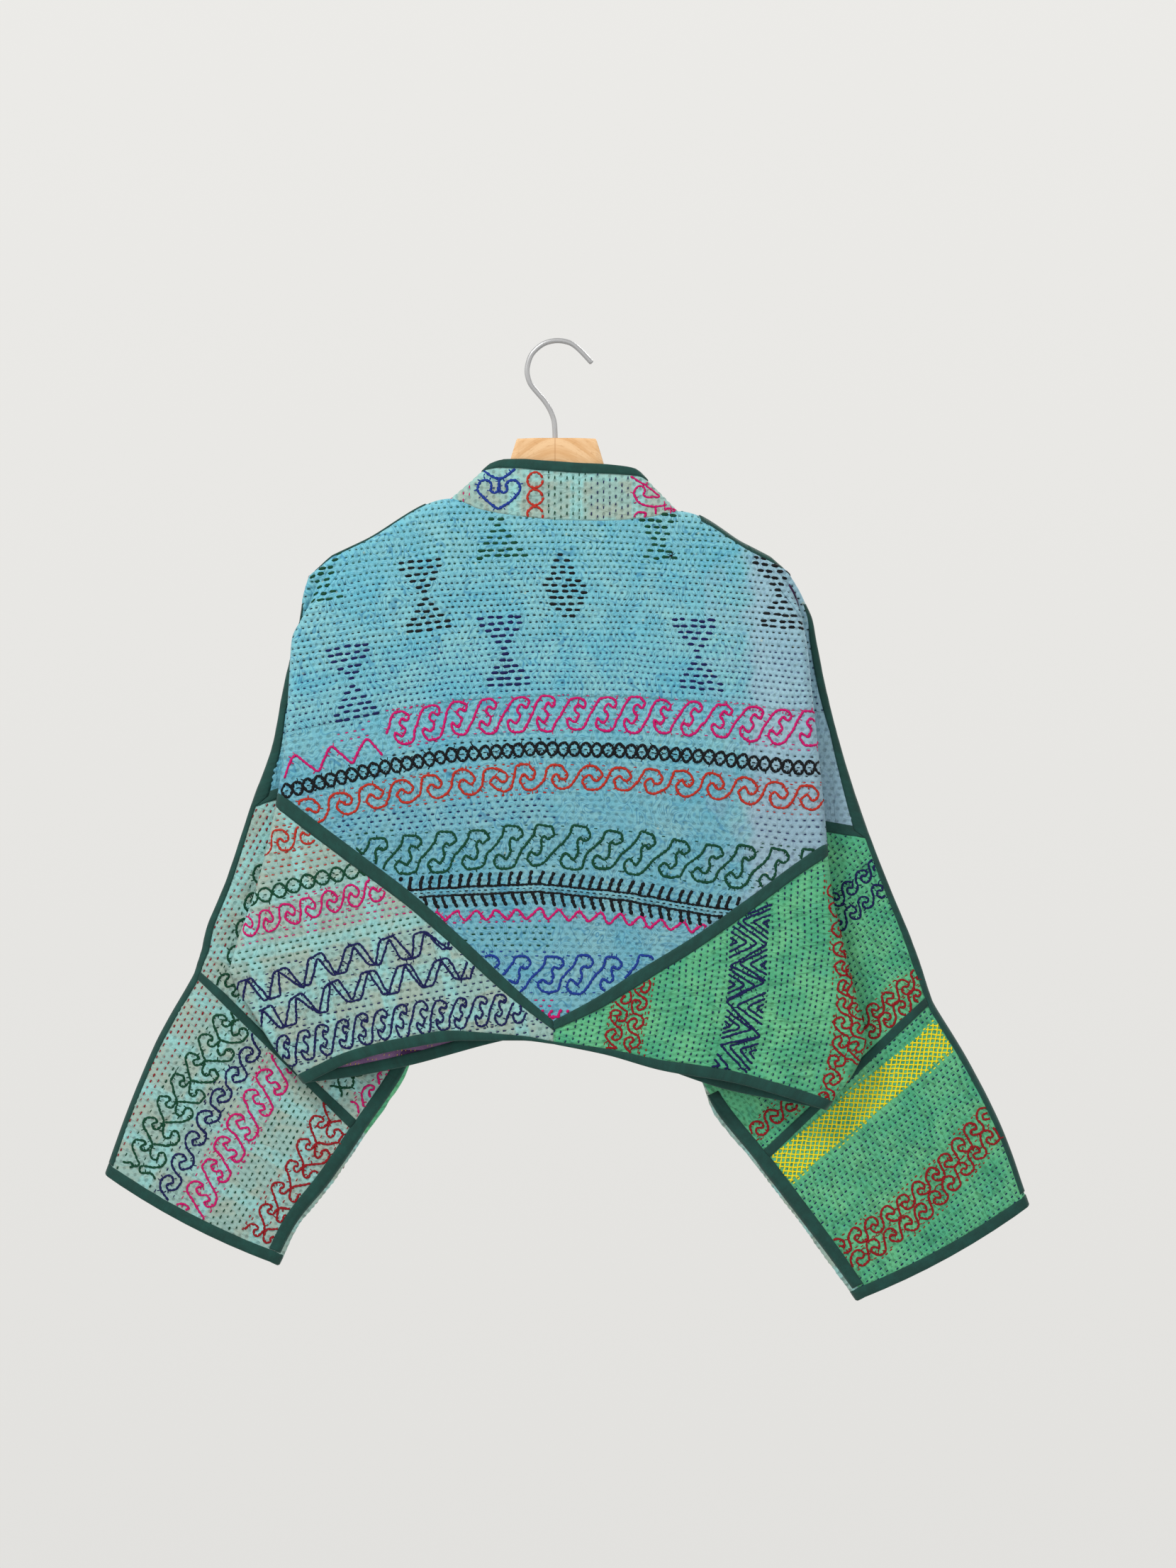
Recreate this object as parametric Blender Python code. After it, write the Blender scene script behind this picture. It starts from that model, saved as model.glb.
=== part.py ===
# Kantha jacket hung by the neck on a wooden hanger, seen from its back in the front view.
# +X is the viewer's right, +Z is up, -Y is the side of the jacket's back. The origin is the inner crown of the hook.
# The sheet is worked out as one cut-in-one T shape (back) and one open T shape (front). Each sleeve drops from the
# end of the hanger, and the spare cloth under the arm lies in one deep pleat behind the body:
#   layers from the viewer: 1 body back, 2 body front, 3 pleat front, 4 pleat back, 5 sleeve back, 6 sleeve front.
import bpy
import numpy as np

UNIT = 0.64  # millimetres to one unit of the pattern drawing
HOOK_U, HOOK_W = 785.5, 482.0  # the origin in the drawing; u runs right and w runs down
CLOTH = 2.6  # wall of the quilted cloth
TAPE = 0.9  # wall of the binding tape
TAPE_WIDE = 9.6  # visible width of the binding
GAP = 0.3  # between pieces
ROUND = 7.0  # roundness of seams and folds, across the cloth
NEST = 5.0  # how far the inner layer of a fold lies inside the outer one
STEP = 6.0  # drawing units by which the front's edge steps in at the fold and out at the pleat, so the seam can turn over
ROLL = 6.4  # how far the front cloth rolls round the underarm edge of the sleeve, on to its back
PLEAT_END, SLEEVE_SEAM, CUFF = 620.0, 800.0, 1020.0  # row labels down the sleeve
CENTRE_U = 785.0  # centre line of the drawing
NECK_T = 0.45  # share across the half where the neck meets the shoulder
TIP_W, TIP_HEM_W = 1449.0, 1470.0  # point of the back centre piece, and the hem under it

# A row for each section across the garment, from the shoulder to the sleeve end. fold: edge of the body over the
# sleeve. pleat: the hidden inner fold, and below PLEAT_END the underarm edge of the sleeve. arm: over-arm edge.
ROW_COLUMNS = ("v", "fold_u", "fold_w", "pleat_u", "pleat_w", "arm_u", "arm_w")
ROWS = {
    "left": (
        (0, 515, 764, 470, 785, 436, 813),
        (40, 456, 838, 442, 842, 427, 847),
        (70, 428, 872, 431, 873, 424, 873),
        (100, 413, 903, 444, 902, 417, 901),
        (160, 409, 966, 468, 964, 401, 966),
        (245, 403, 1051, 502, 1046, 385, 1050),
        (330, 390, 1138, 537, 1126, 356, 1132),
        (440, 362, 1256, 578, 1236, 318, 1246),
        (540, 335, 1332, 604, 1310, 290, 1315),
        (620, 325, 1370, 618, 1356, 284, 1342),
        (710, 325, 1370, 575, 1485, 278, 1361),
        (800, 325, 1370, 505, 1595, 273, 1377),
        (880, 325, 1370, 457, 1665, 222, 1468),
        (960, 325, 1370, 408, 1727, 176, 1578),
        (1020, 325, 1370, 380, 1782, 147, 1660),
    ),
    "right": (
        (0, 1050, 769, 1085, 787, 1110, 806),
        (40, 1104, 838, 1119, 840, 1131, 841),
        (70, 1128, 872, 1126, 872, 1144, 872),
        (100, 1136, 903, 1112, 903, 1150, 902),
        (160, 1143, 966, 1090, 964, 1163, 966),
        (245, 1152, 1050, 1058, 1046, 1184, 1050),
        (330, 1161, 1138, 1028, 1130, 1212, 1140),
        (440, 1172, 1256, 992, 1245, 1250, 1242),
        (540, 1196, 1362, 966, 1345, 1284, 1324),
        (620, 1220, 1460, 952, 1425, 1298, 1362),
        (710, 1220, 1460, 1002, 1542, 1307, 1390),
        (800, 1220, 1460, 1075, 1637, 1315, 1414),
        (880, 1220, 1460, 1125, 1702, 1366, 1500),
        (960, 1220, 1460, 1178, 1772, 1416, 1600),
        (1020, 1220, 1460, 1221, 1832, 1453, 1704),
    ),
}
# Side of the body below the pleat, down to the hem corner.
SIDE_COLUMNS = ("u", "w")
SIDE = {
    "left": ((325, 1370), (339, 1400), (356, 1424), (376, 1457), (397, 1488), (416, 1508), (431, 1526)),
    "right": ((1220, 1460), (1219, 1473), (1214, 1488), (1202, 1513), (1190, 1530), (1176, 1547), (1163, 1563)),
}
# Depth of each layer, in mm, + towards the wall, for the rows above.
DEPTH_COLUMNS = ("v", "y1", "y2", "y3", "y4", "y5", "y6")
DEPTHS = (
    (0, -10.0, 10.0, 10.0, -10.0, -10.0, 10.0),
    (40, -12.0, 3.0, 5.0, -7.5, -4.0, 11.5),
    (70, -14.0, -8.0, -4.0, 0.5, 4.5, 13.0),
    (100, -15.5, -9.0, -3.5, 3.0, 8.5, 14.5),
    (160, -16.5, -9.5, -3.5, 3.0, 9.5, 16.5),
    (620, -17.0, -9.5, -3.5, 3.0, 9.5, 17.0),
    (710, -17.5, -9.5, -3.5, 3.0, 8.5, 19.0),
    (800, -18.0, -9.5, -3.5, 3.0, 7.0, 20.0),
    (880, -18.0, -9.5, -3.5, 3.0, 6.0, 20.0),
    (1020, -18.0, -9.5, -3.5, 3.0, 5.0, 18.5),
)
# Depth of the body's two walls at the centre line, by height.
CENTRE_COLUMNS = ("w", "back", "front")
CENTRE = ((690, -11.0, 11.0), (800, -13.0, 12.0), (1000, -16.0, 13.0), (1300, -18.0, 11.0), (1480, -20.5, 8.0))
# The diagonal seam of the back, in the body, from the fold to the tip, and its rows at arm, pleat and fold.
DIAGONAL_COLUMNS = ("u", "w")
DIAGONAL = {
    "left": ((395, 1125), (439, 1161), (504, 1211), (585, 1273), (648, 1329), (737, 1412), (781, TIP_W)),
    "right": ((1165, 1198), (1132, 1220), (1046, 1284), (983, 1328), (887, 1387), (839, 1418), (781, TIP_W)),
}
DIAGONAL_ROWS_COLUMNS = ("arm_v", "pleat_v", "fold_v")
DIAGONAL_ROWS = {"left": (328.0, 264.0, 318.0), "right": (366.0, 338.0, 386.0)}
# Neck and shoulder line of the back and of the front, hem of the back and of the front.
TOP_COLUMNS = ("t", "u", "w")
TOP_BACK = {
    "left": ((0.0, 515, 764), (0.45, 636, 704), (0.6, 678, 719), (0.8, 735, 729), (1.0, 785, 734)),
    "right": ((0.0, 1050, 769), (0.45, 956, 722), (0.6, 911, 731), (0.8, 850, 735), (1.0, 785, 734)),
}
TOP_FRONT = {
    "left": ((0.0, 515, 764), (0.45, 636, 704), (0.6, 668, 738), (0.8, 722, 778), (1.0, 775, 800)),
    "right": ((0.0, 1050, 769), (0.45, 956, 722), (0.6, 922, 752), (0.8, 858, 784), (1.0, 796, 800)),
}
HEM_COLUMNS = ("u", "w")
HEM_BACK = {
    "left": ((431, 1526), (499, 1495), (570, 1477), (657, 1465), (736, 1465), (781, TIP_HEM_W)),
    "right": ((1163, 1563), (1102, 1543), (1031, 1524), (934, 1507), (855, 1485), (781, TIP_HEM_W)),
}
HEM_FRONT = {
    "left": ((431, 1526), (500, 1517), (570, 1503), (680, 1474), (736, 1462), (775, 1452)),
    "right": ((1163, 1563), (1102, 1551), (1031, 1537), (960, 1514), (864, 1472), (796, 1446)),
}
FRONT_TIP = {"left": (775.0, 1438.0), "right": (796.0, 1434.0)}  # where the front's diagonal seam meets its edge
# Largest soft folds of the body: place at the top and at the hem, depth, half width, and the height where they begin.
SOFT_FOLD_COLUMNS = ("top_u", "hem_u", "deep", "half", "from_w")
SOFT_FOLDS = (
    (470, 420, -2.2, 34, 980),
    (520, 500, 1.8, 40, 1120),
    (650, 610, -1.6, 60, 1230),
    (905, 935, -1.5, 55, 1150),
    (1010, 1040, 2.2, 42, 1010),
    (1075, 1105, -2.4, 36, 1030),
    (1130, 1160, 1.6, 26, 1180),
)
# Hanger arm: u from the centre, w of the top edge and of the bottom edge, half thickness in mm.
ARM_COLUMNS = ("out", "top_w", "bottom_w", "half")
HANGER_ARM = (
    (0, 617, 722, 7.0), (30, 617, 722, 7.0), (56, 618, 724, 7.0), (63, 640, 728, 7.0), (72, 672, 733, 7.0),
    (92, 702, 742, 7.0), (150, 731, 771, 6.6), (220, 765, 800, 6.0), (262, 786, 815, 5.2), (286, 800, 822, 4.2),
)
# Hook centreline.
HOOK_COLUMNS = ("u", "w")
HOOK = (
    (783, 640), (783, 617), (782, 595), (777, 579), (768, 564), (756, 550), (747, 538), (743, 522), (748, 501),
    (758, 489), (771, 481), (786.5, 478.3), (803, 481), (815, 489), (824, 498), (834, 509),
)
WIRE = 4.7
BORE_W = 642.0  # bottom of the hole for the hook's stem
CHAMFER = 2.2
# Top line of the standing collar, from the left neck side round the back, and down to the front edges.
COLLAR_COLUMNS = ("u", "w")
COLLAR_BACK = (
    (688, 660), (697, 654), (712, 650), (735, 650), (760, 652), (790, 654), (818, 656), (846, 657), (872, 659),
    (893, 662), (906, 672),
)
COLLAR_FRONT = {
    "left": ((688, 660), (699, 674), (722, 703), (748, 725), (772, 738)),
    "right": ((906, 672), (892, 685), (862, 710), (830, 728), (800, 738)),
}
COLLAR_DEPTH_BACK, COLLAR_DEPTH_FRONT = -12.0, 13.0  # mm from the middle plane, at the centre of each side
COLLAR_ROUND = 3.0  # power of the collar's rounding in plan
COLLAR_ROWS = (0.0, 0.5, 1.0)  # share of its height up to its binding
COLLAR_TAPE = 7.6  # visible width of its binding


def place(u, w):
    """Drawing to millimetres: X and Z."""
    return (np.asarray(u, float) - HOOK_U) * UNIT, (HOOK_W - np.asarray(w, float)) * UNIT


def smooth(x):
    x = np.clip(x, 0.0, 1.0)
    return x * x * (3 - 2 * x)


def curve(x, xs, ys):
    """Monotone cubic through a table's column, straight past its ends."""
    xs, ys = np.asarray(xs, float), np.asarray(ys, float)
    h, d = np.diff(xs), np.diff(ys) / np.diff(xs)
    m = np.empty(len(xs))
    m[0], m[-1] = d[0], d[-1]
    for i in range(1, len(d)):
        if d[i - 1] * d[i] <= 0:
            m[i] = 0.0
        else:
            a, b = 2 * h[i] + h[i - 1], h[i] + 2 * h[i - 1]
            m[i] = (a + b) / (a / d[i - 1] + b / d[i])
    x = np.clip(np.asarray(x, float), xs[0], xs[-1])
    i = np.clip(np.searchsorted(xs, x, side="right") - 1, 0, len(h) - 1)
    t = (x - xs[i]) / h[i]
    return (
        (1 + 2 * t) * (1 - t) ** 2 * ys[i] + t * (1 - t) ** 2 * h[i] * m[i]
        + t * t * (3 - 2 * t) * ys[i + 1] + t * t * (t - 1) * h[i] * m[i + 1]
    )


def column(table, names, name):
    return np.array([row[names.index(name)] for row in table], float)


def at_row(side, v, name):
    return curve(v, column(ROWS[side], ROW_COLUMNS, "v"), column(ROWS[side], ROW_COLUMNS, name))


def depth_at(v, layer):
    return curve(v, column(DEPTHS, DEPTH_COLUMNS, "v"), column(DEPTHS, DEPTH_COLUMNS, "y%d" % layer))


def along(table, f):
    """Point at share f of a polyline's length, smoothed through its points."""
    pts = np.array([row[-2:] for row in table], float)
    s = np.r_[0, np.cumsum(np.hypot(*np.diff(pts, axis=0).T))]
    f = np.asarray(f, float) * s[-1]
    return curve(f, s, pts[:, 0]), curve(f, s, pts[:, 1])


def pinch(y, y_seam, d, reach):
    """Depth near a rounded seam or fold: the layer's own depth at reach, the seam's at its edge."""
    k = np.clip(d / np.maximum(reach, 1e-6), 0.0, 1.0)
    return y_seam + (y - y_seam) * np.sqrt(np.clip(1 - (1 - k) ** 2, 0.0, 1.0))


def soft(u, w):
    """Soft vertical folds of the body, in mm."""
    total = np.zeros(np.broadcast(u, w).shape)
    for top_u, hem_u, deep, half, from_w in SOFT_FOLDS:
        middle = top_u + (hem_u - top_u) * (w - 1000.0) / 480.0
        total = total + deep * smooth((w - from_w) / (1480.0 - from_w)) * np.exp(-(((u - middle) / half) ** 2))
    return total


def held_off(u, w, y):
    """The front layer's depth, kept clear of the hanger's arm until it is below it."""
    out = np.abs(np.asarray(u, float) - CENTRE_U)
    bottom = curve(out, column(HANGER_ARM, ARM_COLUMNS, "out"), column(HANGER_ARM, ARM_COLUMNS, "bottom_w"))
    near = (1 - smooth((w - bottom - 4) / 34.0)) * (1 - smooth((out - HELD_TO) / 22.0))
    return y + (np.maximum(y, 9.2) - y) * near


class Sheet:
    """One layer of the cut-in-one cloth, back or front, for one side of the body, as points of (column, row)."""

    def __init__(self, side, front):
        self.side, self.front = side, front
        self.sign = 1.0 if side == "left" else -1.0  # +u towards the centre
        self.top = (TOP_FRONT if front else TOP_BACK)[side]
        self.hem = (HEM_FRONT if front else HEM_BACK)[side]
        self.layers = (2, 3, 6) if front else (1, 4, 5)
        self.tip = FRONT_TIP[side] if front else (781.0, TIP_W)
        v = DIAGONAL_ROWS[side]
        self.dia_arm, self.dia_pleat, self.dia_fold = v
        step = STEP if front else 0.0
        self.end_fold, self.end_pleat = PLEAT_END - step, PLEAT_END + step

    def nest(self, v):
        """Inset of the front layer's folds from the back layer's, in drawing units."""
        if not self.front:
            return np.zeros(np.shape(v))
        v = np.asarray(v, float)
        return NEST / UNIT * smooth(v / 72.0) * (1 - smooth((v - PLEAT_END - STEP) / 90.0))

    def fold(self, v):
        nest = self.nest(np.minimum(v, PLEAT_END))
        return at_row(self.side, v, "fold_u") + self.sign * nest, at_row(self.side, v, "fold_w")

    def pleat(self, v):
        return at_row(self.side, v, "pleat_u") + self.sign * self.nest(v), at_row(self.side, v, "pleat_w")

    def arm(self, v):
        return at_row(self.side, v, "arm_u"), at_row(self.side, v, "arm_w")

    def seam_row(self, part, x):
        """Row label of the diagonal seam in the sleeve (x from arm 0 to pleat 1) or in the pleat (0 to 1 at the fold)."""
        if part == "sleeve":
            return self.dia_arm + (self.dia_pleat - self.dia_arm) * x
        return self.dia_pleat + (self.dia_fold - self.dia_pleat) * x

    def arm_seam_depth(self, v):
        return (depth_at(v, 5) + depth_at(v, 6)) / 2 * smooth(v / 60.0)

    def rolled(self, v):
        """From 0, where back and front meet on the sleeve's underarm edge, to 1, where the front rolls round it."""
        return smooth((np.asarray(v, float) - PLEAT_END - 50) / 70.0)

    def sleeve(self, b, v):
        """b from 0 at the over-arm seam to 1 at the pleat or the underarm seam."""
        b, v = np.broadcast_arrays(np.asarray(b, float), np.asarray(v, float))
        au, aw = self.arm(v)
        pu, pw = self.pleat(v)
        wide = np.hypot(pu - au, pw - aw) * UNIT
        roll = self.rolled(v)
        # The front's last strip turns round the underarm edge and meets the back's edge on the back's side.
        strip = np.minimum(TURN_MM, 0.3 * wide) / wide
        s = np.clip((b - 1) / strip + 1, 0, 1)
        turn = np.pi * s
        along_row = b
        if self.front:
            rolled_b = 1 + (-2.0 * (1 - s) + (ROLL + 1.3) * np.sin(turn)) / wide
            flat_b = np.where(b < 1 - strip, b * (1 - 2.0 / wide) / (1 - strip), rolled_b)
            along_row = b + (flat_b - b) * roll
        sag = 9.0 * smooth((v - 860) / 150.0) * 4 * b * (1 - b)
        u = au + (pu - au) * along_row - sag * 0.35 * self.sign
        w = aw + (pw - aw) * along_row + sag * 0.8
        own, seam = depth_at(v, self.layers[2]), self.arm_seam_depth(v)
        own = own + (1.8 if self.front else -1.8) * smooth((v - 560) / 200.0) * np.sin(np.pi * b)
        if self.front:
            own = held_off(u, w, own)
        reach = np.minimum(ROUND, 0.3 * wide)
        y = pinch(own, seam, b * wide, reach)
        mid = (depth_at(v, self.layers[1]) + depth_at(v, self.layers[2])) / 2
        meet = mid + ((depth_at(v, 5) + depth_at(v, 6)) / 2 - mid) * smooth((v - self.end_pleat) / 50.0)
        folded = pinch(y, meet, (1 - b) * wide, reach)
        back_y = depth_at(v, 5)
        rolled_y = y + (back_y - y) * (1 - np.cos(turn)) / 2 if self.front else y
        y = folded + (rolled_y - folded) * roll
        return u, w, pinch(y, 0.0, v * UNIT, 9.0)

    def in_pleat(self, q, v):
        """q from 0 at the pleat to 1 at the body's fold."""
        q, v = np.broadcast_arrays(np.asarray(q, float), np.asarray(v, float))
        pu, pw = self.pleat(v)
        fu, fw = self.fold(v)
        u, w = pu + (fu - pu) * q, pw + (fw - pw) * q
        wide = np.hypot(pu - fu, pw - fw) * UNIT
        open_ = smooth((v - 58) / 22.0)  # above this the cloth runs on without a fold
        y_own = depth_at(v, self.layers[1])
        flat = depth_at(v, self.layers[2]) * (1 - q) + depth_at(v, self.layers[0]) * q
        y = flat + (y_own - flat) * open_
        if self.front:
            y = held_off(u, w, y)
        reach = np.minimum(ROUND, 0.3 * wide)
        mid_p = (depth_at(v, self.layers[1]) + depth_at(v, self.layers[2])) / 2
        mid_f = (depth_at(v, self.layers[0]) + depth_at(v, self.layers[1])) / 2
        y = pinch(y, mid_p, q * wide, reach)
        y = pinch(y, mid_f, (1 - q) * wide, reach)
        seam = 5.9 * np.clip(1 - q * wide / 2.5, 0, 1) - 6.4 * np.clip(1 - (1 - q) * wide / 2.5, 0, 1) + 0.5 - q
        y = pinch(y, seam, (self.end_row(q) - v) * UNIT, 6.0)
        return u, w, pinch(y, 0.0, v * UNIT, 9.0)

    def end_row(self, q):
        return self.end_pleat + (self.end_fold - self.end_pleat) * q

    def fold_curve(self, f):
        """Body edge from the shoulder (f 0) by the diagonal seam (1) and the pleat's end (2) to the hem corner (3)."""
        f = np.asarray(f, float)
        v = np.where(f < 1, f * self.dia_fold, self.dia_fold + (self.end_fold - self.dia_fold) * np.clip(f - 1, 0, 1))
        u, w = self.fold(v)
        side_u, side_w = along(SIDE[self.side], np.clip(f - 2, 0, 1))
        end_u, end_w = self.fold(self.end_fold)
        fade = 1 - smooth((f - 2) / 0.5)
        side_u = side_u + (end_u - SIDE[self.side][0][0]) * fade
        side_w = side_w + (end_w - SIDE[self.side][0][1]) * fade
        return np.where(f > 2, side_u, u), np.where(f > 2, side_w, w), v

    def body(self, t, f):
        """t from 0 at the body's edge to 1 at the centre. f: 0 neck and shoulder, 1 diagonal seam, 2 level of the pleat's end, 3 hem."""
        t, f = np.broadcast_arrays(np.asarray(t, float), np.asarray(f, float))
        top_u = curve(t, column(self.top, TOP_COLUMNS, "t"), column(self.top, TOP_COLUMNS, "u"))
        top_w = curve(t, column(self.top, TOP_COLUMNS, "t"), column(self.top, TOP_COLUMNS, "w"))
        dia = DIAGONAL[self.side][:-1] + (self.tip,)
        dia_u, dia_w = along(dia, t)
        fold_u, fold_w = self.fold(self.dia_fold)
        near = (1 - t) ** 6
        dia_u, dia_w = dia_u + (fold_u - dia[0][0]) * near, dia_w + (fold_w - dia[0][1]) * near
        hem_u, hem_w = along(self.hem, t)
        share = 0.6  # of the way from the diagonal seam to the hem
        g = np.clip(f, 0, 1)
        h = np.where(f <= 1, 0.0, np.where(f <= 2, (f - 1) * share, share + (f - 2) * (1 - share)))
        u = np.where(f <= 1, top_u + (dia_u - top_u) * g, dia_u + (hem_u - dia_u) * h)
        w = np.where(f <= 1, top_w + (dia_w - top_w) * g, dia_w + (hem_w - dia_w) * h)
        # The edge's own line, less the straight one, fading towards the centre.
        edge_u, edge_w, v = self.fold_curve(f)
        e0u, e0w = np.full(f.shape, self.top[0][1], float), np.full(f.shape, self.top[0][2], float)
        e1u, e1w = self.fold(np.full(f.shape, self.dia_fold))
        e2u, e2w = np.full(f.shape, self.hem[0][0], float), np.full(f.shape, self.hem[0][1], float)
        line_u = np.where(f <= 1, e0u + (e1u - e0u) * g, e1u + (e2u - e1u) * h)
        line_w = np.where(f <= 1, e0w + (e1w - e0w) * g, e1w + (e2w - e1w) * h)
        fade = (1 - t) ** 2.2
        u, w = u + (edge_u - line_u) * fade, w + (edge_w - line_w) * fade
        # Depth: the side's table at the edge, the centre's table in the middle.
        side_y = depth_at(v, self.layers[0])
        centre_y = curve(w, column(CENTRE, CENTRE_COLUMNS, "w"), column(CENTRE, CENTRE_COLUMNS, "front" if self.front else "back"))
        s = np.abs(u - edge_u)
        if self.front:
            # The front wall stays against the pleat, and swings back towards the hidden side past its inner fold.
            level = np.interp(w, column(ROWS[self.side], ROW_COLUMNS, "fold_w")[:10], column(ROWS[self.side], ROW_COLUMNS, "v")[:10])
            past = (u - self.pleat(level)[0]) * self.sign
            mix = smooth((past - 10) / 110.0)
        else:
            mix = smooth(s / 200.0)
        y = side_y + (centre_y - side_y) * mix + soft(u, w) * (0.6 if self.front else 1.0) * smooth(s / 40.0)
        if self.front:
            y = held_off(u, w, y)
        # Rounded at the shoulder seam, along the fold, and at the side seam.
        down = np.where(f <= 1, np.abs(w - top_w) * UNIT, 99.0)
        y = pinch(y, 0.0, np.hypot(down, np.clip(t - NECK_T, 0, 1) * 210.0), 10.0)
        mid_f = (depth_at(v, self.layers[0]) + depth_at(v, self.layers[1])) / 2
        side_seam = mid_f + ((depth_at(v, 1) + depth_at(v, 2)) / 2 - mid_f) * smooth((f - 2) / 0.25)
        edge_y = np.where(f <= 2, mid_f, side_seam)
        open_ = np.where(f <= 2, smooth((v - 58) / 22.0), 1.0)
        folded = pinch(y, edge_y, s * UNIT, ROUND)
        y = y + (folded - y) * open_
        return u, w, y


# Columns across, from the over-arm edge to the centre. Each is a share of its part, or millimetres from either end.
COLUMN_COLUMNS = ("part", "kind", "value")
COLUMNS = (
    ("S", "from", 0.0), ("S", "from", 1.0), ("S", "from", 4.2), ("S", "share", 0.38), ("S", "share", 0.74),
    ("S", "turn", 0.0), ("S", "turn", 0.35), ("S", "turn", 0.80), ("S", "to", 0.0),
    ("P", "from", 2.5), ("P", "share", 0.5), ("P", "to", 2.5), ("P", "to", 0.0),
    ("B", "t", 0.01), ("B", "t", 0.16), ("B", "t", 0.32), ("B", "t", NECK_T), ("B", "t", 0.485),
    ("B", "t", 0.62), ("B", "t", 0.80), ("B", "edge", TAPE_WIDE + 0.2), ("B", "t", 1.0),
)
TURN_MM = 11.0  # the sleeve's strip along the underarm edge, where the front turns round it
# Rows down: U neck to diagonal seam, M to the end of the pleat, L to the sleeve seam or the hem, C the sleeve end.
ROW_STEPS_COLUMNS = ("block", "kind", "value")
ROW_STEPS = (
    ("U", "from", 0.0), ("U", "from", 1.0), ("U", "from", 4.2), ("U", "share", 0.14), ("U", "share", 0.30),
    ("U", "share", 0.62), ("U", "to", TAPE_WIDE / 2), ("U", "to", 0.0),
    ("M", "from", TAPE_WIDE / 2), ("M", "share", 0.55), ("M", "to", 2.5), ("M", "to", 0.0),
    ("L", "share", 0.28), ("L", "share", 0.52), ("L", "to", TAPE_WIDE / 2), ("L", "to", 0.0),
    ("C", "from", TAPE_WIDE / 2), ("C", "share", 0.5), ("C", "to", TAPE_WIDE + 0.5),
    ("C", "to", 0.0),
)
STEEP = 1.36  # the diagonal tape's height over its width, in the body
HEM_STEP = 12.5  # the body's last row above the hem
HELD_TO = 322.0  # from the centre, in drawing units: as far as the hanger's arm keeps the front out
# mm by which the back and the front part where the pleat starts, above the fold's beginning.
CROSSING_COLUMNS = ("row", "front", "back")
CROSSING = {"left": ((3, 1.6, 0.9), (4, 0.8, 0.0)), "right": ((3, 3.6, 2.2), (4, 2.7, 1.3))}
SKIPPED = (6, 9, 12)  # columns that the shoulder tape passes over


def share_of(kind, value, wide):
    """A step's share of a length in millimetres."""
    if kind in ("share", "t"):
        return value
    near = min(value, 0.24 * wide) / wide if value else 0.0
    return near if kind == "from" else 1 - near


def half_grid(sheet):
    """Points of one half as [row, column], NaN where there is no cloth."""
    cols = COLUMNS
    points = np.full((len(ROW_STEPS), len(cols), 3), np.nan)
    blocks = {"U": 0.0, "M": 1.0, "L": 2.0, "C": 3.0}

    def at(part, x, level):
        """Point at share x of a part, level 0 to 4 by blocks."""
        block = min(int(level), 3)
        f = level - block
        if part == "B":
            return sheet.body(x, min(level, 3.0))
        seam = sheet.seam_row("sleeve" if part == "S" else "pleat", x)
        end = sheet.end_pleat if part == "S" else sheet.end_row(x)
        a, b = ((0.0, seam), (seam, end), (PLEAT_END, SLEEVE_SEAM), (SLEEVE_SEAM, CUFF))[block]
        v = a + (b - a) * f
        return sheet.sleeve(x, v) if part == "S" else sheet.in_pleat(x, v)

    def milli(p):
        px, pz = place(p[0], p[1])
        return np.array([float(px), float(p[2]), float(pz)])

    for i, (block, kind_r, value_r) in enumerate(ROW_STEPS):
        for j, (part, kind, value) in enumerate(cols):
            if part == "B" and block == "C":
                continue
            own = part
            if part == "P" and block in "LC":
                if block == "C" or j + 1 < len(cols) and cols[j + 1][0] == "P":
                    continue
                own = "B"
            level0 = blocks[block]
            # width of the part along this row, for columns at a distance in mm
            guess = level0 + (value_r if kind_r == "share" else 0.5)
            if own == "B":
                x = value if part == "B" else 0.0
                if kind == "edge":  # millimetres from the centre edge
                    near_edge = [milli(at(own, e, guess)) for e in (0.9, 1.0)]
                    x = 1 - 0.1 * value / np.linalg.norm(near_edge[1] - near_edge[0])
            else:
                ends = [milli(at(own, e, guess)) for e in (0.0, 1.0)]
                wide = max(np.hypot(*(ends[1] - ends[0])[[0, 2]]), 3.0)
                start = 1 - min(TURN_MM, 0.3 * wide) / wide if own == "S" else 1.0
                if kind == "turn":
                    x = 1 - (1 - start) * (1 - value)
                elif kind == "share":
                    x = value * start
                else:
                    x = share_of(kind, value, wide)
            a, b = milli(at(own, x, level0)), milli(at(own, x, level0 + 0.999999))
            long = max(np.hypot(*(b - a)[[0, 2]]), 1.0)
            step = value_r
            if value_r == TAPE_WIDE / 2 and own == "B":
                step = HEM_STEP if block == "L" else value_r * STEEP
            f = min(share_of(kind_r, step, long), 0.999999)
            points[i, j] = milli(at(own, x, level0 + f))
    return points, ROW_STEPS, cols


def own_normals(points, cells):
    """Unit normals of the grid's points from the cells in use."""
    total = np.zeros(points.shape)
    for i, j in zip(*np.nonzero(cells)):
        a, b, c, d = points[i, j], points[i, j + 1], points[i + 1, j + 1], points[i + 1, j]
        n = np.cross(c - a, d - b)
        n = n / max(np.linalg.norm(n), 1e-9)
        for k in ((i, j), (i, j + 1), (i + 1, j + 1), (i + 1, j)):
            total[k] += n
    size = np.linalg.norm(total, axis=2, keepdims=True)
    return total / np.where(size < 1e-9, 1, size)


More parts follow.
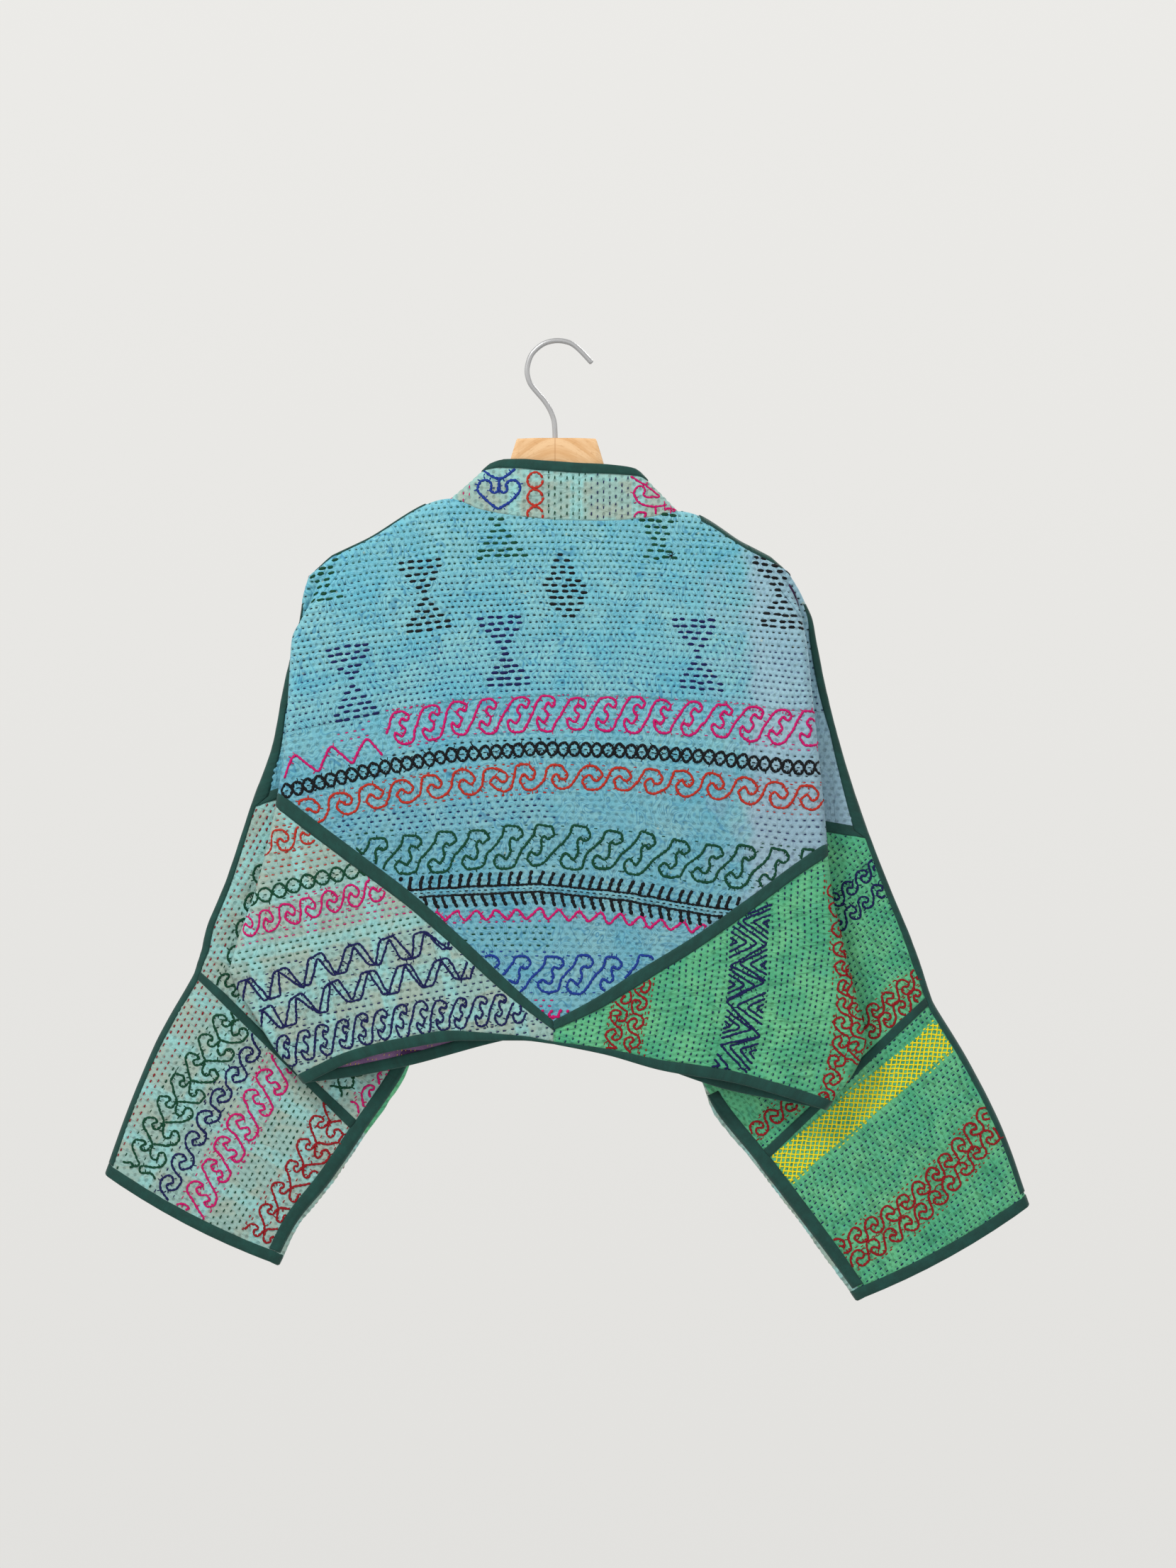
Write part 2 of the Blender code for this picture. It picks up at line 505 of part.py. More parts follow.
class Layer:
    """Grid of one half of the back or of the front, with its named rows and columns."""

    def __init__(self, side, front):
        self.side, self.front = side, front
        self.points, self.rows, self.cols = half_grid(Sheet(side, front))
        part, block = [c[0] for c in self.cols], [r[0] for r in self.rows]
        good = ~np.isnan(self.points[:, :, 0])
        cells = good[:-1, :-1] & good[1:, :-1] & good[:-1, 1:] & good[1:, 1:]
        for j in range(len(part) - 1):
            for i in range(len(block) - 1):
                if block[i + 1] in "LC" and part[j + 1] == "P":
                    cells[i, j] = False
        self.cells = cells
        self.out = (-1.0 if side == "left" else 1.0) * (-1.0 if front else 1.0)
        self.arm_last = part.count("S") - 1
        self.fold_col = self.arm_last + part.count("P")
        self.neck_col = [i for i, c in enumerate(self.cols) if c == ("B", "t", NECK_T)][0]
        self.centre_col = len(part) - 1
        self.dia_row = block.index("M") - 1
        self.end_row = block.index("L") - 1
        self.seam_row = block.index("C") - 1
        self.cuff_row = len(block) - 1
        flags = np.zeros(self.points.shape[:2], bool)
        flags[:, 0] = True
        flags[0, : self.neck_col + 1] = True
        flags[self.end_row : self.seam_row + 1, self.fold_col] = True
        flags[self.end_row, self.arm_last : self.fold_col + 1] = True
        flags[self.end_row + 1, self.arm_last] = True
        self.flags = flags
        normals = own_normals(self.points, cells) * self.out
        self.normals = self.level(normals)

    def level(self, normals):
        """Rims of the rounded seams face along Y, so that back and front meet there."""
        turned = normals * np.array([1.0, 0.0, 1.0])
        size = np.linalg.norm(turned, axis=2, keepdims=True)
        turned = turned / np.where(size < 1e-6, 1, size)
        return np.where(self.flags[:, :, None] & (size > 0.2), turned, normals)


class Whole(Layer):
    """Both halves of the back as one grid: the right half's columns follow the left's in reverse."""

    def __init__(self):
        left, right = Layer("left", False), Layer("right", False)
        self.side, self.front, self.out = "left", False, -1.0
        self.points = np.concatenate([left.points, right.points[:, ::-1][:, 1:]], axis=1)
        self.cells = np.concatenate([left.cells, right.cells[:, ::-1]], axis=1)
        self.flags = np.concatenate([left.flags, right.flags[:, ::-1][:, 1:]], axis=1)
        self.half = left
        self.last = self.points.shape[1] - 1
        self.normals = self.level(own_normals(self.points, self.cells) * self.out)


def link(name, points, faces, colour, rough=0.9, metallic=0.0):
    mesh = bpy.data.meshes.new(name)
    mesh.from_pydata([tuple(float(c) * 0.001 for c in p) for p in points], [], [tuple(f) for f in faces])
    mesh.update()
    thing = bpy.data.objects.new(name, mesh)
    bpy.context.scene.collection.objects.link(thing)
    material = bpy.data.materials.new(name)
    material.use_nodes = True
    shader = material.node_tree.nodes["Principled BSDF"]
    shader.inputs["Base Color"].default_value = (*colour, 1)
    shader.inputs["Roughness"].default_value = rough
    shader.inputs["Metallic"].default_value = metallic
    mesh.materials.append(material)
    return thing


def halves(points, ring):
    """A grid cell's two triangles, cut along its shorter diagonal, so that all that lies on it is cut the same way."""
    a, b, c, d = (points[k] for k in ring)
    if np.linalg.norm(c - a) <= np.linalg.norm(d - b):
        return ((ring[0], ring[1], ring[2]), (ring[0], ring[2], ring[3]))
    return ((ring[0], ring[1], ring[3]), (ring[1], ring[2], ring[3]))


def wall(name, points, normals, cells, out, thick, colour, inset=GAP / 2, lift=0.0):
    """Closed wall on a grid: each used cell gets an outer and an inner face, and each free edge a rim."""
    listed = [tuple(int(x) for x in c) for c in zip(*np.nonzero(cells))]
    owner = {}
    for i, j in listed:
        ring = ((i, j), (i, j + 1), (i + 1, j + 1), (i + 1, j))
        for a, b in zip(ring, ring[1:] + ring[:1]):
            owner[(a, b)] = (i, j)
    rim = [(a, b) for (a, b) in owner if (b, a) not in owner]
    inward = {}
    for a, b in rim:
        i, j = owner[(a, b)]
        middle = points[i : i + 2, j : j + 2].reshape(-1, 3).mean(axis=0)
        line = points[b] - points[a]
        line = line / max(np.linalg.norm(line), 1e-9)
        for k in (a, b):
            to = np.cross(normals[k], line)
            to = to / max(np.linalg.norm(to), 1e-9)
            inward.setdefault(k, []).append(to if to.dot(middle - (points[a] + points[b]) / 2) > 0 else -to)
    used, verts, faces = {}, [], []

    def vertex(k, outer):
        if (k, outer) not in used:
            n = normals[k]
            p = points[k] + n * (lift + (thick / 2 if outer else -thick / 2))
            if k in inward and len(inward[k]) > 1:
                first, second = inward[k][0], inward[k][-1]
                p = p + (first + second) / max(1 + first.dot(second), 0.5) * inset
            used[(k, outer)] = len(verts)
            verts.append(p)
        return used[(k, outer)]

    for i, j in listed:
        for three in halves(points, ((i, j), (i, j + 1), (i + 1, j + 1), (i + 1, j))):
            face, back = [vertex(k, True) for k in three], [vertex(k, False) for k in three][::-1]
            faces += [face[::-1], back[::-1]] if out < 0 else [face, back]
    for a, b in rim:
        face = [vertex(b, True), vertex(a, True), vertex(a, False), vertex(b, False)]
        # The same diagonal on both sides of a seam, so that two rims never cross.
        cut = ((0, 1, 2), (0, 2, 3)) if a > b else ((0, 1, 3), (1, 2, 3))
        for three in cut:
            tri = [face[k] for k in three]
            faces.append(tri[::-1] if out < 0 else tri)
    return link(name, verts, faces, colour)


def spans(layer, r0, r1, c0, c1):
    keep = np.zeros(layer.cells.shape, bool)
    keep[r0:r1, c0:c1] = True
    return keep & layer.cells


def strip(name, points, normals, colour=None):
    """Tape on a grid of a panel's points, moved out."""
    cells = np.ones((points.shape[0] - 1, points.shape[1] - 1), bool)
    facing = (own_normals(points, cells) * normals).sum()
    return wall(
        name, points, normals, cells, 1.0 if facing > 0 else -1.0, TAPE, colour or TAPE_COLOUR, GAP / 2,
        CLOTH / 2 + GAP + TAPE / 2,
    )


def binding(name, edge, edge_n, inner, inner_n, closed=False, thick=CLOTH, wide=TAPE_WIDE, over=GAP):
    """Tape folded over a free edge: edge and inner are the panel's last and last but one rows."""
    rings = []
    for p, n, q, m in zip(edge, edge_n, inner, inner_n):
        run = np.linalg.norm(p - q)
        away = (p - q) / run
        reach = min(wide, run * 0.98)
        top, top_n = p - away * reach, n + (m - n) * reach / run
        top_n = top_n / np.linalg.norm(top_n)
        a, b = thick / 2 + GAP, thick / 2 + GAP + TAPE
        low, out = p + away * over, p + away * (over + TAPE)
        rings.append((top + top_n * b, out + n * b, out - n * b, top - top_n * b, top - top_n * a, low - n * a, low + n * a, top + top_n * a))
    verts = [v for ring in rings for v in ring]
    count, faces = len(rings), []
    upper = (0, 3, 4, 7)  # the profile's corners on the panel's inner row
    for i in range(count if closed else count - 1):
        k = (i + 1) % count
        long_way = np.linalg.norm(edge[i] - inner[k]) <= np.linalg.norm(edge[k] - inner[i])
        for a in range(8):
            b = (a + 1) % 8
            if (a in upper) == long_way:
                faces += [(8 * i + a, 8 * i + b, 8 * k + a), (8 * i + b, 8 * k + b, 8 * k + a)]
            else:
                faces += [(8 * i + a, 8 * i + b, 8 * k + b), (8 * i + a, 8 * k + b, 8 * k + a)]
    if not closed:
        for start, order in ((0, ((7, 6, 1, 0), (6, 5, 2, 1), (5, 4, 3, 2))), (8 * (count - 1), ((0, 1, 6, 7), (1, 2, 5, 6), (2, 3, 4, 5)))):
            faces += [tuple(start + c for c in f) for f in order]
    volume = sum(np.dot(verts[f[0]], np.cross(verts[f[k]], verts[f[k + 1]])) for f in faces for k in range(1, len(f) - 1))
    if volume < 0:
        faces = [f[::-1] for f in faces]
    return link(name, verts, faces, TAPE_COLOUR)


TAPE_COLOUR = (0.012, 0.06, 0.052)
TEAL, MINT, GREEN = (0.16, 0.45, 0.57), (0.34, 0.52, 0.47), (0.11, 0.48, 0.26)


def build_cloth():
    back = Whole()
    half = back.half
    last = back.last
    fronts = {side: Layer(side, True) for side in ("left", "right")}
    d, e, s, c = half.dia_row, half.end_row, half.seam_row, half.cuff_row
    middle = half.centre_col
    # Where the front rolls round the sleeve's underarm edge, both pieces' rims face the same way.
    for side, f in fronts.items():
        j = half.arm_last if side == "left" else last - half.arm_last
        f.normals[e + 3 :, f.arm_last] = back.normals[e + 3 :, j]
        mixed = 0.4 * f.normals[e + 1, f.arm_last] + 0.6 * back.normals[e + 3, j]
        mixed = mixed / np.linalg.norm(mixed)
        f.normals[e + 2, f.arm_last] = mixed
        back.normals[e + 2, j] = mixed
        f.points[e + 1, f.arm_last, 1] += GAP
        back.points[e + 1, j, 1] -= GAP
        # Above the pleat the two layers change places, so the front is kept nearer the centre there.
        away = np.array([1.0 if side == "left" else -1.0, 0.0, 0.0])
        for k in range(f.arm_last, f.fold_col):
            for row, front_by, back_by in CROSSING[side]:
                f.points[row, k] += away * front_by
                back.points[row, k if side == "left" else last - k] -= away * back_by
    wall("back_centre", back.points, back.normals, spans(back, 0, d, 0, last), back.out, CLOTH, TEAL)
    for side, c0, c1 in (("left", 0, middle), ("right", middle, last)):
        colour = MINT if side == "left" else GREEN
        wall("back_lower_" + side, back.points, back.normals, spans(back, d, s, c0, c1), back.out, CLOTH, colour)
        k0, k1 = (0, half.arm_last) if side == "left" else (last - half.arm_last, last)
        wall("back_cuff_" + side, back.points, back.normals, spans(back, s, c, k0, k1), back.out, CLOTH, colour)
    for side, lower, cuff in (("left", GREEN, MINT), ("right", MINT, MINT)):
        f = fronts[side]
        wall("front_upper_" + side, f.points, f.normals, spans(f, 0, d, 0, f.centre_col), f.out, CLOTH, TEAL)
        wall("front_lower_" + side, f.points, f.normals, spans(f, d, s, 0, f.centre_col), f.out, CLOTH, lower)
        wall("front_cuff_" + side, f.points, f.normals, spans(f, s, c, 0, f.arm_last), f.out, CLOTH, cuff)

    def pick(layer, cells_list):
        rows, cols = zip(*cells_list)
        return layer.points[list(rows), list(cols)], layer.normals[list(rows), list(cols)]

    for side in ("left", "right"):
        f = fronts[side]
        turn = (lambda j: j) if side == "left" else (lambda j: last - j)
        # Shoulder tape, from the neck to the hanger's end, and over-arm tape, down the sleeve's outer edge.
        for name, path in (
            ("tape_shoulder_", [[(k, j) for k in range(3)] for j in range(half.neck_col - 1, 2, -1) if j not in SKIPPED]),
            ("tape_overarm_", [[(i, k) for k in range(3)] for i in range(3, c)]),
        ):
            rows_p, rows_n = [], []
            for station in path:
                bp, bn = pick(back, [(i, turn(k)) for i, k in station])
                fp, fn = pick(f, station)
                rows_p.append(np.concatenate([bp[::-1], fp[1:]]))
                rows_n.append(np.concatenate([bn[::-1], fn[1:]]))
            strip(name + side, np.array(rows_p), np.array(rows_n))
        # Underarm tape on the sleeve, and the side seam's tape on the front.
        rows_p, rows_n = [], []
        for i in range(e + 2, c):
            bp, bn = pick(back, [(i, turn(half.arm_last - 2)), (i, turn(half.arm_last - 1)), (i, turn(half.arm_last))])
            fp, fn = pick(f, [(i, f.arm_last - 1)])
            rows_p.append(np.concatenate([bp, fp]))
            rows_n.append(np.concatenate([bn, fn]))
        strip("tape_underarm_" + side, np.array(rows_p), np.array(rows_n))
        # Diagonal tapes of the back and of the front.
        rows = (d - 1, d, d + 1)
        cols = range(half.fold_col - 1, middle + 1)
        grid = np.ix_(rows, [turn(j) for j in cols])
        p, n = back.points[grid].copy(), back.normals[grid]
        p[:, -1, 0] += -0.2 if side == "left" else 0.2
        strip("tape_diagonal_" + side, p, n)
        cols = range(2, half.arm_last - 4)
        grid = np.ix_(rows, [turn(j) for j in cols])
        strip("tape_diagonal_sleeve_" + side, back.points[grid], back.normals[grid])
        grid = np.ix_(rows, list(range(f.fold_col + 1, f.centre_col)))
        strip("tape_diagonal_front_" + side, f.points[grid], f.normals[grid])
        grid = np.ix_(rows, list(range(2, f.arm_last - 2)))
        strip("tape_sleeve_yoke_" + side, f.points[grid], f.normals[grid])
        # Sleeve seam tapes.
        rows = (s - 1, s, s + 1)
        grid = np.ix_(rows, [turn(j) for j in range(2, half.arm_last - 2)])
        strip("tape_sleeve_back_" + side, back.points[grid], back.normals[grid])
        grid = np.ix_(rows, list(range(2, f.arm_last - 2)))
        strip("tape_sleeve_front_" + side, f.points[grid], f.normals[grid])
        # Sleeve end.
        ring = [(back, turn(j)) for j in range(half.arm_last + 1)] + [(f, j) for j in range(f.arm_last - 1, 0, -1)]
        binding(
            "tape_cuff_" + side,
            [g.points[c, j] for g, j in ring], [g.normals[c, j] for g, j in ring],
            [g.points[c - 1, j] for g, j in ring], [g.normals[c - 1, j] for g, j in ring], closed=True,
        )
    # Hem, from one front edge round the back to the other.
    ring = [(fronts["left"], j) for j in range(fronts["left"].centre_col, fronts["left"].fold_col, -1)]
    ring += [(back, j) for j in range(half.fold_col, last - half.fold_col + 1)]
    ring += [(fronts["right"], j) for j in range(fronts["right"].fold_col + 1, fronts["right"].centre_col + 1)]
    binding(
        "tape_hem",
        [g.points[s, j] for g, j in ring], [g.normals[s, j] for g, j in ring],
        [g.points[s - 1, j] for g, j in ring], [g.normals[s - 1, j] for g, j in ring],
    )
    # Standing collar, its base row on the panels' neck edge.
    n0 = half.neck_col
    for side, lean in (("left", -1.0), ("right", 1.0)):
        shared = np.array([0.5 * lean, 0.0, 0.87])
        shared = shared / np.linalg.norm(shared)
        back.normals[0, n0 if side == "left" else last - n0] = shared
        fronts[side].normals[0, n0] = shared
    return back, fronts


def build_collar(back, fronts):
    half, last = back.half, back.last
    n0, middle = half.neck_col, half.centre_col
    parts = (
        ([(fronts["left"], j) for j in range(middle, n0, -1)], COLLAR_FRONT["left"], COLLAR_DEPTH_FRONT, True),
        ([(back, j) for j in range(n0, last - n0 + 1)], COLLAR_BACK, COLLAR_DEPTH_BACK, False),
        ([(fronts["right"], j) for j in range(n0 + 1, middle + 1)], COLLAR_FRONT["right"], COLLAR_DEPTH_FRONT, False),
    )
    base, base_n, top = [], [], []
    for number, (ring, table, depth, reverse) in enumerate(parts):
        points = [g.points[0, j] for g, j in ring]
        start = None
        if number == 0:
            start = back.points[0, n0]
            points = points + [start]
        elif number == 2:
            points = [back.points[0, last - n0]] + points
        run = np.concatenate([[0.0], np.cumsum([np.linalg.norm((b - a)[[0, 2]]) for a, b in zip(points, points[1:])])])
        run = run / run[-1]
        for k, (p, f) in enumerate(zip(points, run)):
            if number == 0 and k == len(points) - 1 or number == 2 and k == 0:
                continue
            share = 1 - f if reverse else f
            u, w = along(table, share)
            across = abs(2 * share - 1) if number == 1 else 1 - share
            x, z = place(u, w)
            y = depth * max(1 - across**COLLAR_ROUND, 0.0) ** (1 / COLLAR_ROUND)
            base.append(p)
            top.append(np.array([float(x), float(y), float(z)]))
        base_n += [g.normals[0, j] for g, j in ring]
    base, top, base_n = np.array(base), np.array(top), np.array(base_n)
    high = np.linalg.norm(top - base, axis=1, keepdims=True)
    under = top + (base - top) * (COLLAR_TAPE + 0.2) / high
    grid = np.array([base + (under - base) * f for f in COLLAR_ROWS] + [top])
    cells = np.ones((grid.shape[0] - 1, grid.shape[1] - 1), bool)
    normals = own_normals(grid, cells)
    facing = 1.0 if (normals[0] * base_n).sum() > 0 else -1.0
    normals = normals * facing
    normals[0] = base_n
    wall("collar", grid, normals, cells, facing, CLOTH, MINT, inset=GAP)
    binding("tape_collar", grid[-1], normals[-1], grid[-2], normals[-2], wide=COLLAR_TAPE, over=3 * GAP)
    # Front edges: from under the collar's binding to above the hem's.
    for side, k, step in (("left", 0, 1), ("right", grid.shape[1] - 1, -1)):
        f = fronts[side]
        rows = range(1, half.dia_row)
        ends = [grid[2, k] * 0.9 + grid[1, k] * 0.1, grid[2, k + step] * 0.9 + grid[1, k + step] * 0.1]
        edge = [ends[0], grid[1, k]] + [f.points[0, middle]] + [f.points[i, middle] for i in rows]
        edge_n = [normals[i, k] for i in (2, 1)] + [f.normals[0, middle]] + [f.normals[i, middle] for i in rows]
        inner = [ends[1], grid[1, k + step]] + [f.points[0, middle - 1]] + [f.points[i, middle - 1] for i in rows]
        inner_n = [normals[i, k + step] for i in (2, 1)] + [f.normals[0, middle - 1]] + [f.normals[i, middle - 1] for i in rows]
        binding("tape_front_" + side, edge, edge_n, inner, inner_n)
    return grid, normals


def solid(name, verts, faces, colour, rough, metallic=0.0):
    """Link a closed mesh with its faces turned out."""
    volume = sum(np.dot(verts[f[0]], np.cross(verts[f[k]], verts[f[k + 1]])) for f in faces for k in range(1, len(f) - 1))
    return link(name, verts, [f[::-1] for f in faces] if volume < 0 else faces, colour, rough, metallic)


def tube(name, path, radius, sides, colour, rough, metallic=0.0):
    """Round bar along a path in the XZ plane, its ends domed by one smaller ring."""
    path = np.array(path, float)
    runs = np.gradient(path, axis=0)
    runs = runs / np.linalg.norm(runs, axis=1, keepdims=True)
    stations = [(path[0] - runs[0] * radius * 0.35, runs[0], radius * 0.55)]
    stations += [(p, r, radius) for p, r in zip(path, runs)]
    stations += [(path[-1] + runs[-1] * radius * 0.35, runs[-1], radius * 0.55)]
    verts = []
    for p, r, size in stations:
        flat = np.array([-r[2], 0.0, r[0]])
        for k in range(sides):
            angle = 2 * np.pi * k / sides
            verts.append(p + (flat * np.cos(angle) + np.array([0.0, 1.0, 0.0]) * np.sin(angle)) * size)
    count = len(stations)
    faces = [list(range(sides))[::-1], [(count - 1) * sides + k for k in range(sides)]]
    for i in range(count - 1):
        for k in range(sides):
            m = (k + 1) % sides
            faces.append([i * sides + k, i * sides + m, (i + 1) * sides + m, (i + 1) * sides + k])
    return solid(name, verts, faces, colour, rough, metallic)


def build_hanger():
    outs = [-row[0] for row in HANGER_ARM[:0:-1]] + [row[0] for row in HANGER_ARM]
    verts = []
    for out in outs:
        row = [r for r in HANGER_ARM if r[0] == abs(out)][0]
        x, top = place(CENTRE_U + out, row[1])
        low, t = float(place(0.0, row[2])[1]), row[3]
        cut = min(CHAMFER, 0.4 * t)
        for y, z in (
            (t - cut, top), (t, top - cut), (t, low + cut), (t - cut, low),
            (cut - t, low), (-t, low + cut), (-t, top - cut), (cut - t, top),
        ):
            verts.append(np.array([float(x), float(y), float(z)]))
    faces = [list(range(8)), [8 * (len(outs) - 1) + k for k in range(8)][::-1]]
    for i in range(len(outs) - 1):
        for k in range(8):
            m = (k + 1) % 8
            faces.append([8 * i + k, 8 * i + 8 + k, 8 * i + 8 + m, 8 * i + m])
    wood = solid("hanger_wood", verts, faces, (0.72, 0.46, 0.27), 0.45)
    path = [np.array([float(c) for c in (place(u, w)[0], 0.0, place(u, w)[1])]) for u, w in HOOK]
    t = np.linspace(0.0, 1.0, 30)
    run = np.concatenate([[0.0], np.cumsum([np.linalg.norm(b - a) for a, b in zip(path, path[1:])])])
    path = np.array(path)
    even = np.stack([curve(t * run[-1], run, path[:, k]) for k in range(3)], axis=1)
    tube("hanger_hook", even, WIRE / 2, 8, (0.62, 0.62, 0.63), 0.3, 1.0)
    stem_x = float(place(HOOK[0][0], 0.0)[0])
    cutter = tube(
        "cutter_bore", [(stem_x, 0.0, float(place(0.0, w)[1])) for w in (BORE_W + 2.0, 620.0, 600.0)],
        (WIRE / 2 + GAP) / np.cos(np.pi / 16), 16, (0.5, 0.5, 0.5), 0.5,
    )
    cutter.hide_render = True
    cutter.display_type = "WIRE"
    cut = wood.modifiers.new("bore", "BOOLEAN")
    cut.operation, cut.solver, cut.object = "DIFFERENCE", "EXACT", cutter


for thing in list(bpy.data.objects):
    bpy.data.objects.remove(thing)
build_collar(*build_cloth())
build_hanger()
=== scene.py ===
"""Looks of the quilted patchwork jacket on its hanger: fine shells on the frame's own sections, bindings, hand stitching, embroidery, materials, light and camera."""

import bpy
import numpy as np
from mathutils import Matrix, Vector
from mathutils.bvhtree import BVHTree


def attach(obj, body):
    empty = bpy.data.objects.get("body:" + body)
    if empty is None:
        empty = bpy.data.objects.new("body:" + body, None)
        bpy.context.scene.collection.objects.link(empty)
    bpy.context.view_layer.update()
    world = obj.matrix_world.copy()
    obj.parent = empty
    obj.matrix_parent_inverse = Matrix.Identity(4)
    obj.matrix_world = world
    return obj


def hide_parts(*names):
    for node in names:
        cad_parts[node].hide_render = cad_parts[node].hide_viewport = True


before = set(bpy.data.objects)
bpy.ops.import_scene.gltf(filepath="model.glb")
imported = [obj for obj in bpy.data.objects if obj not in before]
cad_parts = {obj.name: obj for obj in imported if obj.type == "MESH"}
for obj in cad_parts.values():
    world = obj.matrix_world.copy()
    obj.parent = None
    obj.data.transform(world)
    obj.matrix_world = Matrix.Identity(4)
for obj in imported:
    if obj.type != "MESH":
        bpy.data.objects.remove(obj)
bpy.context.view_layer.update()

# ---------------------------------------------------------------- the garment's sections, as in the frame's source
UNIT = 0.64  # millimetres to one unit of the pattern drawing
HOOK_U, HOOK_W = 785.5, 482.0  # the origin in the drawing; u runs right and w runs down
CLOTH = 2.6  # wall of the quilted cloth
TAPE = 0.9  # wall of the binding tape
TAPE_WIDE = 9.6  # visible width of the binding
GAP = 0.3  # between pieces
ROUND = 7.0  # roundness of seams and folds, across the cloth
NEST = 5.0  # how far the inner layer of a fold lies inside the outer one
STEP = 6.0  # drawing units by which the front's edge steps in at the fold and out at the pleat, so the seam can turn over
ROLL = 6.4  # how far the front cloth rolls round the underarm edge of the sleeve, on to its back
PLEAT_END, SLEEVE_SEAM, CUFF = 620.0, 800.0, 1020.0  # row labels down the sleeve
CENTRE_U = 785.0  # centre line of the drawing
NECK_T = 0.45  # share across the half where the neck meets the shoulder
TIP_W, TIP_HEM_W = 1449.0, 1470.0  # point of the back centre piece, and the hem under it

# A row for each section across the garment, from the shoulder to the sleeve end. fold: edge of the body over the
# sleeve. pleat: the hidden inner fold, and below PLEAT_END the underarm edge of the sleeve. arm: over-arm edge.
ROW_COLUMNS = ("v", "fold_u", "fold_w", "pleat_u", "pleat_w", "arm_u", "arm_w")
ROWS = {
    "left": (
        (0, 515, 764, 470, 785, 436, 813),
        (40, 456, 838, 442, 842, 427, 847),
        (70, 428, 872, 431, 873, 424, 873),
        (100, 413, 903, 444, 902, 417, 901),
        (160, 409, 966, 468, 964, 401, 966),
        (245, 403, 1051, 502, 1046, 385, 1050),
        (330, 390, 1138, 537, 1126, 356, 1132),
        (440, 362, 1256, 578, 1236, 318, 1246),
        (540, 335, 1332, 604, 1310, 290, 1315),
        (620, 325, 1370, 618, 1356, 284, 1342),
        (710, 325, 1370, 575, 1485, 278, 1361),
        (800, 325, 1370, 505, 1595, 273, 1377),
        (880, 325, 1370, 457, 1665, 222, 1468),
        (960, 325, 1370, 408, 1727, 176, 1578),
        (1020, 325, 1370, 380, 1782, 147, 1660),
    ),
    "right": (
        (0, 1050, 769, 1085, 787, 1110, 806),
        (40, 1104, 838, 1119, 840, 1131, 841),
        (70, 1128, 872, 1126, 872, 1144, 872),
        (100, 1136, 903, 1112, 903, 1150, 902),
        (160, 1143, 966, 1090, 964, 1163, 966),
        (245, 1152, 1050, 1058, 1046, 1184, 1050),
        (330, 1161, 1138, 1028, 1130, 1212, 1140),
        (440, 1172, 1256, 992, 1245, 1250, 1242),
        (540, 1196, 1362, 966, 1345, 1284, 1324),
        (620, 1220, 1460, 952, 1425, 1298, 1362),
        (710, 1220, 1460, 1002, 1542, 1307, 1390),
        (800, 1220, 1460, 1075, 1637, 1315, 1414),
        (880, 1220, 1460, 1125, 1702, 1366, 1500),
        (960, 1220, 1460, 1178, 1772, 1416, 1600),
        (1020, 1220, 1460, 1221, 1832, 1453, 1704),
    ),
}
# Side of the body below the pleat, down to the hem corner.
SIDE_COLUMNS = ("u", "w")
SIDE = {
    "left": ((325, 1370), (339, 1400), (356, 1424), (376, 1457), (397, 1488), (416, 1508), (431, 1526)),
    "right": ((1220, 1460), (1219, 1473), (1214, 1488), (1202, 1513), (1190, 1530), (1176, 1547), (1163, 1563)),
}
# Depth of each layer, in mm, + towards the wall, for the rows above.
DEPTH_COLUMNS = ("v", "y1", "y2", "y3", "y4", "y5", "y6")
DEPTHS = (
    (0, -10.0, 10.0, 10.0, -10.0, -10.0, 10.0),
    (40, -12.0, 3.0, 5.0, -7.5, -4.0, 11.5),
    (70, -14.0, -8.0, -4.0, 0.5, 4.5, 13.0),
    (100, -15.5, -9.0, -3.5, 3.0, 8.5, 14.5),
    (160, -16.5, -9.5, -3.5, 3.0, 9.5, 16.5),
    (620, -17.0, -9.5, -3.5, 3.0, 9.5, 17.0),
    (710, -17.5, -9.5, -3.5, 3.0, 8.5, 19.0),
    (800, -18.0, -9.5, -3.5, 3.0, 7.0, 20.0),
    (880, -18.0, -9.5, -3.5, 3.0, 6.0, 20.0),
    (1020, -18.0, -9.5, -3.5, 3.0, 5.0, 18.5),
)
# Depth of the body's two walls at the centre line, by height.
CENTRE_COLUMNS = ("w", "back", "front")
CENTRE = ((690, -11.0, 11.0), (800, -13.0, 12.0), (1000, -16.0, 13.0), (1300, -18.0, 11.0), (1480, -20.5, 8.0))
# The diagonal seam of the back, in the body, from the fold to the tip, and its rows at arm, pleat and fold.
DIAGONAL_COLUMNS = ("u", "w")
DIAGONAL = {
    "left": ((395, 1125), (439, 1161), (504, 1211), (585, 1273), (648, 1329), (737, 1412), (781, TIP_W)),
    "right": ((1165, 1198), (1132, 1220), (1046, 1284), (983, 1328), (887, 1387), (839, 1418), (781, TIP_W)),
}
DIAGONAL_ROWS_COLUMNS = ("arm_v", "pleat_v", "fold_v")
DIAGONAL_ROWS = {"left": (328.0, 264.0, 318.0), "right": (366.0, 338.0, 386.0)}
